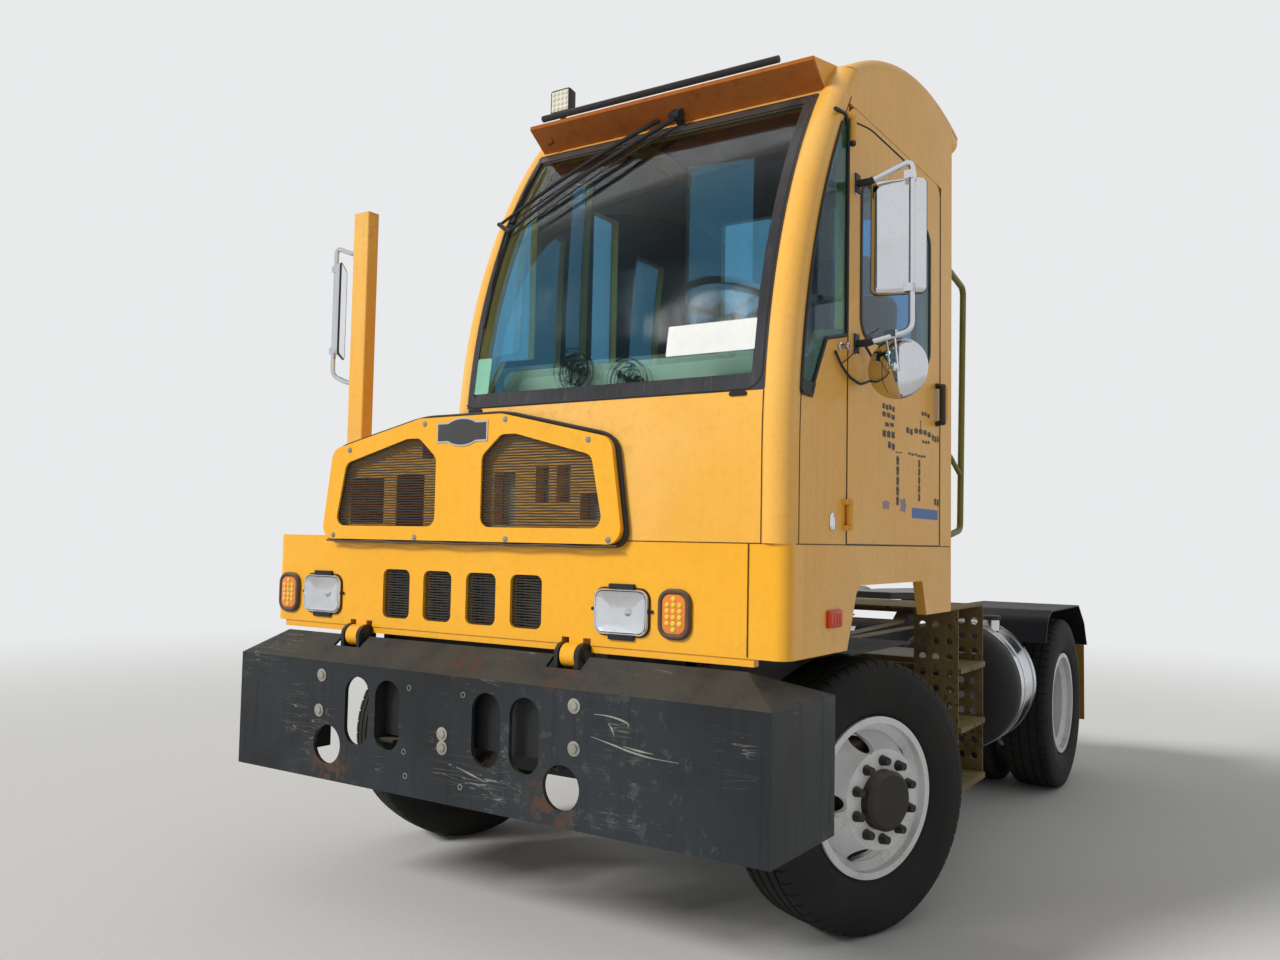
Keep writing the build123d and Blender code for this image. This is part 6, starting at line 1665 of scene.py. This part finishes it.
@dataclass
class CornerTubes:
    """Round tubes that stand a little proud on the cab's corners and run on along the roof's edges."""

    lines: Pairs = ((1142, 57), (-155, 50))  # x, radius
    depth: float = 45
    foot_z: float = 1447
    brow_z: float = 2950
    roof_centre: Pair = (350, 1787)
    roof_radius: float = 1588.8
    roof_y: Pair = (-395, 758)

    def path(self, x: float, radius: float) -> Array:
        """Follows the front arc inside its face, then the roof arc, with a curve between them.

        Args:
            x: Place across the machine.
            radius: The tube's radius, by which the path lies under the roof.

        Returns:
            The path as (n, 3).
        """
        up = ARC(x, np.linspace(self.foot_z, self.brow_z, 34), -self.depth)
        y = np.linspace(*self.roof_y, 26)
        z = self.roof_centre[1] + np.sqrt((self.roof_radius - radius) ** 2 - (y - self.roof_centre[0]) ** 2)
        back = np.stack([np.full_like(y, x), y, z], -1)
        first, second, gap = up[-1] - up[-2], back[1] - back[0], back[0] - up[-1]
        share = (gap[1] * second[2] - gap[2] * second[1]) / (first[1] * second[2] - first[2] * second[1])
        return np.vstack([up, curve(up[-1], up[-1] + first * share, back[0], 12)[1:-1], back])

    def build(self) -> None:
        """Shows the tubes."""
        tubes = [tube(self.path(x, radius), radius, 28, SIDE) for x, radius in self.lines]
        show("corner_tubes", tubes, PILLAR_YELLOW, "yellow_paint")


@dataclass
class CabSeams:
    """Seams of the cab's panels, the gap round the door, hinge caps and the screen's strip and tabs."""

    wall_x: float = 1199
    right_x: float = -200
    sills: tuple[tuple[Pair, Pair], ...] = (((-160, -973), (1150, -973)), ((1199, -920), (1199, 660)))
    sill_z: float = 1446.5
    seam_z: Pair = (1447, 3020)
    arc_seams: Pair = (1104, -130)
    wall_back: float = 71
    clip: Triple = (1062, -975, 1092)
    clip_top: float = 1444
    door_y: Pair = (-516.5, 511.5)
    door_z: Pair = (1450, 2988)
    door_foot: Triple = (-515, 510, 2.5)  # both ends of the gap's foot, how far it lies lower
    hinge: Pair = (1213, -518)
    hinge_ends: Pairs = ((1583.5, 1), (1513.5, -1), (2928.5, 1), (2849.5, -1))  # z, way out
    cap: Pairs = ((8, 0), (11, 2), (11, 12), (8, 15), (1, 15.5))
    strip: RoundRect = RoundRect(-150, 1108, 1930, 3030, 12)
    strip_inner: RoundRect = RoundRect(-112, 1064, 1972, 2992, 14)
    tabs: Pair = (-95, 1014)
    tab_z: float = 1921
    tab_size: Triple = (62, 14, 5)
    tab: Pairs = ((0, 0.2), (0, 5), (2, 6))

    def seams(self) -> list[Shape]:
        """Draws the upright seams along the front arc and behind it, and both level ones.

        Returns:
            The seams.
        """
        z = np.linspace(*self.seam_z, 50)
        paths = [ARC(x, z, 0) for x in self.arc_seams]
        behind = ARC(0, z, 0) + np.array([0, self.wall_back, 0])
        paths += [behind + np.array([x, 0, 0]) for x in (self.wall_x, self.right_x)]
        parts = [tube(path, 2.2, 6, SIDE) for path in paths]
        for start, end in self.sills:
            parts.append(tube(np.linspace((*start, self.sill_z), (*end, self.sill_z), 30), 2.0, 6))
        return parts

    def build(self) -> None:
        """Shows seams, screen strip, door gap, hinge caps and tabs."""
        show("body_seams", self.seams(), SEAM_BROWN, "yellow_paint")
        strip = band(self.strip, self.strip_inner, -2.0, 1.8, ARC, 40)
        show("screen_edge", strip, BORDER_BLACK, "mesh_black")
        clip = np.linspace(self.clip, (*self.clip[:2], self.clip_top), 8)
        show("clip_seam", tube(clip, 2.0, 6, SIDE), SEAM_BROWN, "yellow_paint")
        face, (low, high), (ahead, back, under) = self.wall_x + 0.2, self.door_z, self.door_foot
        gaps = [np.linspace((face, y, low), (face, y, high), 30) for y in self.door_y]
        gaps.append(np.linspace((face, ahead, low - under), (face, back, low - under), 20))
        show("door_gaps", [tube(path, 3.0, 8, SIDE) for path in gaps], RUBBER)
        caps = [turned(self.cap, (*self.hinge, z), (0, 0, way), 16) for z, way in self.hinge_ends]
        show("hinge_caps", caps, RUBBER)
        tabs = [slab(RoundRect.about(x, self.tab_z, *self.tab_size), self.tab, ARC, 3, 4) for x in self.tabs]
        show("screen_tabs", tabs, RUBBER)


@dataclass
class QuarterTrim:
    """Edge and foot of the left quarter window, its clip, and the cables that cross the door's hinge axis."""

    wall_x: float = 1199
    edge: Pairs = (
        (-528, 2926), (-528, 2168), (-703, 2128), (-819, 1940), (-819, 1925), (-893, 1925),
    )
    over: Pairs = ((-640, 2928), (-560, 2938), (-528, 2905))
    ahead_z: Pair = (1930, 2900)
    ahead_back: float = 66
    foot: Pairs = ((-900, 1917), (-815, 1917), (-806, 1930), (-790, 1966), (-892, 1966))
    bolt: Pairs = ((16, 0.2), (16, 6), (9, 8), (9, 24), (13, 25), (13, 33), (1, 34))
    bolt_at: Pair = (-590, 2118)
    cables: tuple[tuple[Body, float, Line], ...] = (  # body, radius, points
        (Body.CAB, 5, ((1206, -640, 2095), (1212, -603, 2053), (1213, -550, 2028), (1213, -518, 2020))),
        (Body.DOOR, 5, (
            (1213, -518, 2020), (1216, -441, 2008), (1216, -344, 2033), (1216, -302, 2079),
            (1216, -333, 2125), (1214, -403, 2158), (1212, -448, 2158),
        )),
        (Body.CAB, 2.5, ((1207, -585, 2062), (1212, -550, 2080), (1213, -518, 2098))),
        (Body.DOOR, 2.5, ((1213, -518, 2098), (1214, -479, 2120), (1222, -384, 2191), (1240, -330, 2222))),
    )

    def build(self) -> None:
        """Shows edge, foot, clip and cables."""
        x = self.wall_x
        ahead = ARC(0, np.linspace(*self.ahead_z, 30), 0) + np.array([x, self.ahead_back, 0])
        edge, over = [[(x, y, z) for y, z in line] for line in (self.edge, self.over)]
        parts = [tube(path, 6.5, 8, SIDE, 1.3) for path in (bends(edge, 14), ahead, bends(over, 12))]
        parts.append(plate(np.array(self.foot, float), 0.2, 5, left(x)))
        show("quarter_edge", parts, RUBBER)
        show("quarter_bolt", turned(self.bolt, (x, *self.bolt_at), SIDE, 20), CHROME)
        for name, body in (("cab_cables", Body.CAB), ("mirror_cables", Body.DOOR)):
            runs = [(bends(points, 20), radius) for on, radius, points in self.cables if on is body]
            cables = [tube(path, radius, 8, (1, 0.05, 0)) for path, radius in runs]
            show(name, cables, RUBBER, "wheel_plastic", body)


@dataclass
class SideSeals:
    """Rubbers round the door's, the right wall's, the rear door's and the rear panel's windows."""

    windows: tuple[tuple[str, RoundRect, Flat, Body], ...] = (
        ("door_window_rubber", RoundRect(-400, 376, 2190, 2760, 70), left(1199), Body.DOOR),
        ("right_window_rubber", RoundRect(-60, 165, 2190, 2937, 4), right(-200), Body.CAB),
        ("rear_window_rubber", RoundRect(-420, -44, 2150, 3050, 4), rear(675), Body.CAB),
        ("rear_door_rubber", RoundRect(-1025, -655, 2150, 2980, 4), rear(711), Body.REAR_DOOR),
    )

    def build(self) -> None:
        """Shows each rubber on the body that carries its window."""
        for name, rect, sheet, body in self.windows:
            show(name, bead(rect.inset(4), 11, 4, sheet, 8, base=1), RUBBER, body=body)


@dataclass
class DoorTrim:
    """Pull handle cover, torn blank stickers, a plain blue label and the latch ahead of the door."""

    wall_x: float = 1199
    handle_y: float = 462
    handle_z: Pair = (1962, 2124)
    grip: Pairs = ((10, 19), (2, 24), (0, 30), (3, 38), (12, 43))
    latch: Pairs = ((0, 0.2), (0, 3), (4, 6), (10, 6.5), (12, 4), (18, 3.6))
    latch_rect: Floats = (-641, 1523, 46, 62, 23)
    rows: tuple[tuple[float, float, float, float, int], ...] = (  # y and z of two corners, pieces along
        (-179, 1978, -40, 1955, 4), (-182, 1947, -36, 1925, 3), (-152, 1911, -46, 1893, 2),
        (-178, 1880, -36, 1850, 3), (-118, 1838, -36, 1808, 2), (-34, 1808, 47, 1803, 3),
        (110, 1816, 330, 1806, 6), (84, 1914, 170, 1886, 2), (180, 1922, 400, 1898, 4),
        (404, 1913, 503, 1884, 3), (270, 1996, 380, 1978, 3), (280, 1880, 380, 1866, 3),
        (436, 1648, 503, 1616, 2),
    )
    strips: tuple[Floats, ...] = (  # y and z of two corners
        (-24, 1599, 12, 1793), (232, 1625, 262, 1796), (256, 1915, 268, 1956),
    )
    strip_pieces: int = 5
    faded: tuple[Floats, ...] = ((-132, 1598, 84, 36), (58, 1604, 74, 60))
    blue: RoundRect = RoundRect(160, 486, 1557, 1598, 2)

    def torn(self, y: float, z: float, width: float, height: float) -> Shape:
        """Draws a ragged scrap: an ellipse-like square outline whose radius wobbles with the angle.

        Args:
            y: Middle of the scrap.
            z: Middle of the scrap.
            width: Its size along y.
            height: Its size along z.

        Returns:
            The scrap.
        """
        turn = around(40)
        square = (np.abs(np.cos(turn)) ** 6 + np.abs(np.sin(turn)) ** 6) ** (-1 / 6)
        ragged = square * (0.84 + 0.12 * np.sin(5 * turn + y) + 0.1 * np.sin(13 * turn + z))
        across_y, across_z = width / 2 * np.cos(turn), height / 2 * np.sin(turn)
        outline = np.stack([y + ragged * across_y, z + ragged * across_z], -1)
        return plate(outline, 0.1, 0.5, left(self.wall_x))

    def scraps(self) -> list[Shape]:
        """Tears each row into pieces side by side and each strip into pieces one above the other.

        Returns:
            The scraps.
        """
        places = []
        for y_low, z_high, y_high, z_low, count in self.rows:
            step, z = (y_high - y_low) / count, (z_low + z_high) / 2
            for i in range(count):
                jump = 2 * math.sin(i * 2.3 + y_low)
                places.append((y_low + (i + 0.5) * step, z + jump, step * 0.92, z_high - z_low))
        for y_low, z_low, y_high, z_high in self.strips:
            step = (z_high - z_low) / self.strip_pieces
            for i in range(self.strip_pieces):
                places.append(((y_low + y_high) / 2, z_low + (i + 0.5) * step, y_high - y_low, step * 1.02))
        return [self.torn(*place) for place in places]

    def build(self) -> None:
        """Shows labels, handle and latch."""
        show("torn_labels", self.scraps(), DECAL_BLACK, body=Body.DOOR)
        x, y, (low, high) = self.wall_x, self.handle_y, self.handle_z
        show("blue_label", slab(self.blue, ((0, 0.1), (0, 0.5)), left(x)), DECAL_BLUE, body=Body.DOOR)
        show("faded_labels", [self.torn(*place) for place in self.faded], DECAL_FADED, body=Body.DOOR)
        path = bends([(x, y, low), (x + 30, y, low + 6), (x + 30, y, high - 6), (x, y, high)], 18)
        rect = RoundRect.about(y, (low + high) / 2, 50, high - low + 14, 25)
        handle = [tube(path, 11.5, 12, BACK, 1.25), slab(rect, self.grip, left(x), 10)]
        show("handle_cover", handle, RUBBER, "wheel_plastic", Body.DOOR)
        latch = slab(RoundRect.about(*self.latch_rect), self.latch, left(x), 8)
        show("side_latch", latch, CHROME)


@dataclass
class TankEnd:
    """Black domed end, seam rings and filler cap of the fuel tank."""

    centre: Triple = (828, 1951, 680)
    radius: float = 348
    dome: Pairs = (  # radius over the tank's, height
        (1, -70), (1.5, -42), (-2, -18), (-12, -4), (-32, 6), (-90, 18), (-180, 27), (-288, 31), (-346, 32),
    )
    rings: Triple = (72, 82, 160)
    cap: Pairs = ((46, 358), (50, 361), (50, 378), (44, 384), (8, 385))
    cap_off: Triple = (150, 224, 0)

    def build(self) -> None:
        """Shows dome, rings and cap."""
        x, y, z = self.centre
        dome = turned([(self.radius + more, height) for more, height in self.dome], self.centre, AHEAD, 56)
        rings = [hoop(self.radius + 2, 3.5, (x, y + back, z), BACK, 72) for back in self.rings]
        cap = turned(self.cap, np.add(self.centre, self.cap_off), UP, 28)
        pieces = (("dome", dome, CHASSIS_BLACK), ("rings", rings, CHROME), ("cap", cap, RUBBER))
        for name, shape, finish in pieces:
            show(f"tank_{name}", shape, finish, "tank_aluminium", Body.CHASSIS)


@dataclass
class Mirrors:
    """Mirrors of both sides: bent tube arms, domed heads with inset glass, clamps and a round mirror."""

    sides: tuple[tuple, ...] = (  # side, body, middle, way of the glass, corners of the arm, clamps
        ("left", Body.DOOR, (1334, -392, 2530), (-0.26, 0.966, 0), (
            (1199.3, -455, 2720), (1249, -455, 2720), (1385, -400, 2790), (1385, -400, 2190),
            (1249, -455, 2150), (1199.3, -455, 2150),
        ), ((1378, -402, 2738), (1378, -402, 2340))),
        ("right", Body.CAB, (-1133, -740, 2450), (0.75, 0.66, 0), (
            (-1010.3, -754, 2700), (-1050, -754, 2700), (-1150, -754, 2740), (-1150, -754, 2160),
            (-1050, -754, 2120), (-1010.3, -754, 2120),
        ), ((-1146, -752, 2640), (-1146, -752, 2270))),
    )
    head_size: Triple = (190, 410, 24)
    back: Pairs = ((6, -13), (0, -12), (0, -4), (2, 2), (10, 8), (24, 11.5), (50, 13), (85, 13.5))
    spot: Triple = (1330, -389, 2065)
    dome: Pairs = (
        (104, 14), (108, 10), (108, 4), (104, -3), (90, -11), (66, -19), (34, -24), (8, -25.5), (1, -25.6),
    )
    spot_rim: Pair = (104.5, 3.3)  # radius, wire
    rim_back: float = 11
    leg: Line = ((1318, -424, 2176), (1322, -424, 2140), (1330, -419, 2050))
    leg_block: tuple[Triple, Triple] = ((1320, -424, 2180), (20, 12, 12))
    button: Pairs = ((15, -4), (15, 6), (11, 9), (1, 9.5))
    wrap: Line = ((1204, -455, 0), (1250, -455, 0), (1262, -449, 6))
    wrap_z: Pair = (2150, 2720)
    pad_at: Pair = (1204.7, -455)
    pad_half: Triple = (5.3, 21, 34)
    stay: Line = ((1214, -500, 2925), (1260, -470, 2900), (1372, -404, 2776))

    def head(self, name: str, centre: Triple, normal: Triple, body: Body) -> None:
        """Shows one head: a domed back, and a flat glass set in its rim on the side of the normal.

        Args:
            name: Start of the pieces' names.
            centre: The head's middle.
            normal: The way the glass faces.
            body: The body that carries it.
        """
        level = np.cross(UP, np.array(normal) / np.linalg.norm(normal))
        back, face = Flat(centre, tuple(-level)), Flat(centre, tuple(level))
        rect = RoundRect.about(0, 0, *self.head_size)
        glass = slab(rect.inset(6), ((0, 12.8), (0, 14)), face, 8)
        show(f"{name}_head", slab(rect, self.back, back, 8), CHROME, body=body)
        show(f"{name}_rim", bead(rect.inset(2), 4, 5, face, base=10), RUBBER, body=body)
        show(f"{name}_glass", glass, REFLECTOR, "mirror_chrome", body)

    def arm(self, name: str, corners: Sequence[Triple], body: Body, clamps: Sequence[Triple]) -> None:
        """Shows one arm with its wall plates and the clamps that hold the head.

        Args:
            name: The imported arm's name, which starts the piece's.
            corners: Corners of the tube.
            body: The body that carries it.
            clamps: Places of the clamps.
        """
        parts = [tube(bends(corners, 34), 11, 14, (0, 1, 0.01))]
        for x, y, z in (corners[0], corners[-1]):
            sheet, at = (left(x), y) if x > 0 else (right(x), -y)
            parts.append(slab(RoundRect.about(at, z, 46, 74, 8), ((0, 0), (0, 5), (2, 6)), sheet))
        parts += [block(clamp, (17, 17, 14)) for clamp in clamps]
        show(f"{name}_arm", parts, CHROME, body=body, replaces=[name])

    def spot_mirror(self) -> None:
        """Shows the round mirror under the left one, its rim and its bracket."""
        x, y, z = self.spot
        show("spot_mirror", turned(self.dome, self.spot, BACK, 48), CHROME, body=Body.DOOR)
        rim = hoop(*self.spot_rim, (x, y + self.rim_back, z), BACK, 48)
        show("spot_mirror_rim", rim, RUBBER, body=Body.DOOR)
        legs = [bends([(a + off, b, c) for a, b, c in self.leg], 20) for off in (-14, 14)]
        straps = [tube(leg, 5, 8, (0, 1, 0.1), 0.6) for leg in legs]
        straps += [*studs(self.button, [(x, z)], y - 28, 20), block(*self.leg_block)]
        show("spot_mirror_bracket", straps, CHROME, body=Body.DOOR)

    def build(self) -> None:
        """Shows both mirrors, the round one, and the left arm's wraps and stay."""
        for side, body, centre, normal, corners, clamps in self.sides:
            self.head(f"mirror_{side}", centre, normal, body)
            self.arm(f"mirror_{side}", corners, body, clamps)
        self.spot_mirror()
        wraps = [tube(np.array(self.wrap) + np.array([0, 0, z]), 13.5, 12) for z in self.wrap_z]
        wraps += [block((*self.pad_at, z), self.pad_half) for z in self.wrap_z]
        show("mirror_wraps", wraps, RUBBER, body=Body.DOOR)
        show("mirror_stay", tube(bends(self.stay, 20), 3, 8, BACK), RUBBER, body=Body.DOOR)


@dataclass
class VisorFittings:
    """Black bar along the visor's lip and the wire loop under its right end."""

    bar: tuple[Triple, Triple] = ((-70, -640, 3151), (985, -640, 3151))
    loop: Triple = (-70, -590, 3088)

    def build(self) -> None:
        """Shows bar and loop."""
        show("visor_bar", tube(np.linspace(*self.bar, 12), 13, 12), RUBBER)
        show("visor_loop", hoop(26, 3, self.loop, (0.3, 1, 0), 28), RUBBER)


# Inside the cab


@dataclass
class Seat:
    """Sprung seat: crowned cushion, channelled back and headrest."""

    x: float = 813
    z: float = 1826.3
    back_y: float = 418
    pads: tuple[tuple[str, RoundRect, Pair, Floats], ...] = (  # outline, size, channels
        ("cushion", RoundRect(-246, 246, -146, 306, 60), (96, 14), (0, 90, 180)),
        ("back", RoundRect(-236, 236, 80, 696, 70), (86, 14), (250, 380, 510)),
        ("headrest", RoundRect(-136, 136, 700, 876, 50), (66, 10), ()),
    )
    edge: Pairs = ((14, 0), (5, 3), (1, 10))
    pull: Pair = (0.035, 0.03)
    channel_width: float = 7
    channel_depth: float = 9

    def pad(self, rect: RoundRect, size: Pair, channels: Sequence[float], place: Place) -> Shape:
        """Makes a stuffed pad: sides pull in between the corners, the face crowns, channels sink in lines.

        Args:
            rect: The outline on its sheet.
            size: Thickness at the edge and extra height in the middle.
            channels: Places of the sewn channels along b.
            place: Puts sheet places in space.

        Returns:
            The closed pad.
        """
        thick, crown = size
        mid_a, mid_b = (rect.a_low + rect.a_high) / 2, (rect.b_low + rect.b_high) / 2
        half_a, half_b = (rect.a_high - rect.a_low) / 2, (rect.b_high - rect.b_low) / 2

        def stuffed(a: Array, b: Array, h: float) -> Array:
            """Bends places of the plain slab into the stuffed one.

            Args:
                a: Places across.
                b: Places along.
                h: Height of the ring.

            Returns:
                Points in space.
            """
            u, v = (a - mid_a) / half_a, (b - mid_b) / half_b
            swell = np.clip(1 - u**4, 0, 1) * np.clip(1 - v**4, 0, 1)
            sink = sum(np.exp(-(((b - line) / self.channel_width) ** 2)) for line in channels)
            rise = np.where(h > thick / 2, (crown - self.channel_depth * sink) * swell, 0)
            a = mid_a + (a - mid_a) * (1 - self.pull[0] * (1 - v**2))
            b = mid_b + (b - mid_b) * (1 - self.pull[1] * (1 - u**2))
            return place(a, b, h + rise)

        upper = ((0, thick * 0.5), (1, thick - 12), (6, thick - 4), (15, thick))
        inner = tuple((inset, thick) for inset in np.linspace(22, min(half_a, half_b) - 3, 22))
        return slab(rect, self.edge + upper + inner, stuffed, 8, 30)

    def build(self) -> None:
        """Shows the three pads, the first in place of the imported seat."""
        level = Flat((self.x, 0, self.z + 2), SIDE, BACK)
        upright = Flat((self.x, self.back_y, self.z), SIDE)
        for (name, *sizes), place in zip(self.pads, (level, upright, upright)):
            replaces = ["seat"] if name == "cushion" else []
            shape = self.pad(*sizes, place)
            pad = show(f"seat_{name}", shape, SEAT_CLOTH, "seat_fabric", replaces=replaces)


@dataclass
class CabFans:
    """Pale padded hood along the dash and two small fans ahead of it, each with guard, blades and foot."""

    hood: RoundRect = RoundRect(-145, 1130, 1916, 2102, 46)
    hood_y: float = -762
    hood_profile: Pairs = ((0, -60), (0, -12), (4, -4), (12, 0))
    places: Line = ((243, -800, 2070), (512, -850, 2010))
    guard: Pairs = (  # radius, depth behind the middle
        (78, 0), (64, -12), (48, -17), (30, -20), (14, -21), (78, 8), (48, 20),
    )
    hub: Pairs = ((16, -10), (18, -6), (18, 20), (12, 30))
    blades: int = 5
    blade_reach: float = 72
    foot_z: float = 1912

    def fan(self, x: float, y: float, z: float) -> list[Shape]:
        """Makes guard rings, a hub, five blades and a bent foot.

        Args:
            x: Middle of the fan.
            y: Middle of the fan.
            z: Middle of the fan.

        Returns:
            The fan's parts.
        """
        parts = [hoop(radius, 2, (x, y + back, z), BACK, 36) for radius, back in self.guard]
        parts.append(turned(self.hub, (x, y, z), BACK, 20))
        t = np.linspace(0.25, 0.92, 8)
        for turn in around(self.blades):
            way = np.array([math.cos(turn), 0, math.sin(turn)])
            blade = np.array([x, y + 4, z]) + self.blade_reach * t[:, None] * way
            parts.append(tube(blade, 18 * np.sin(t * math.pi * 0.9), 8, (0.3, 1, 0.3), 0.12))
        foot = bends([(x, y + 18, z - 10), (x, y + 24, z - 70), (x, y + 10, self.foot_z)], 20)
        return parts + [tube(foot, 7, 8, SIDE)]

    def build(self) -> None:
        """Shows hood and fans."""
        hood = slab(self.hood, self.hood_profile, front(self.hood_y), 8, 4)
        show("dash_hood", hood, DASH_PAD, "dash_grey")
        show("cab_fans", [part for place in self.places for part in self.fan(*place)], WHEEL_PLASTIC)


def main() -> None:
    """Builds the stage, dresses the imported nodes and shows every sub-assembly."""
    Stage().build()
    build_weathering()
    build_scratches()
    build_cab_inside()
    dress_nodes()
    parts = (
        Tyres(), GrilleScreens(), GrilleTrim(), Headlamps(), WorkLamp(), MarkerLamps(), BumperFittings(),
        Windscreen(), CornerTubes(), CabSeams(), QuarterTrim(), SideSeals(), DoorTrim(), TankEnd(), Mirrors(),
        VisorFittings(), Seat(), CabFans(),
    )
    for part in parts:
        part.build()
        log.info("%s built", type(part).__name__)


if __name__ == "__main__":
    logging.basicConfig(level=logging.INFO)
    main()
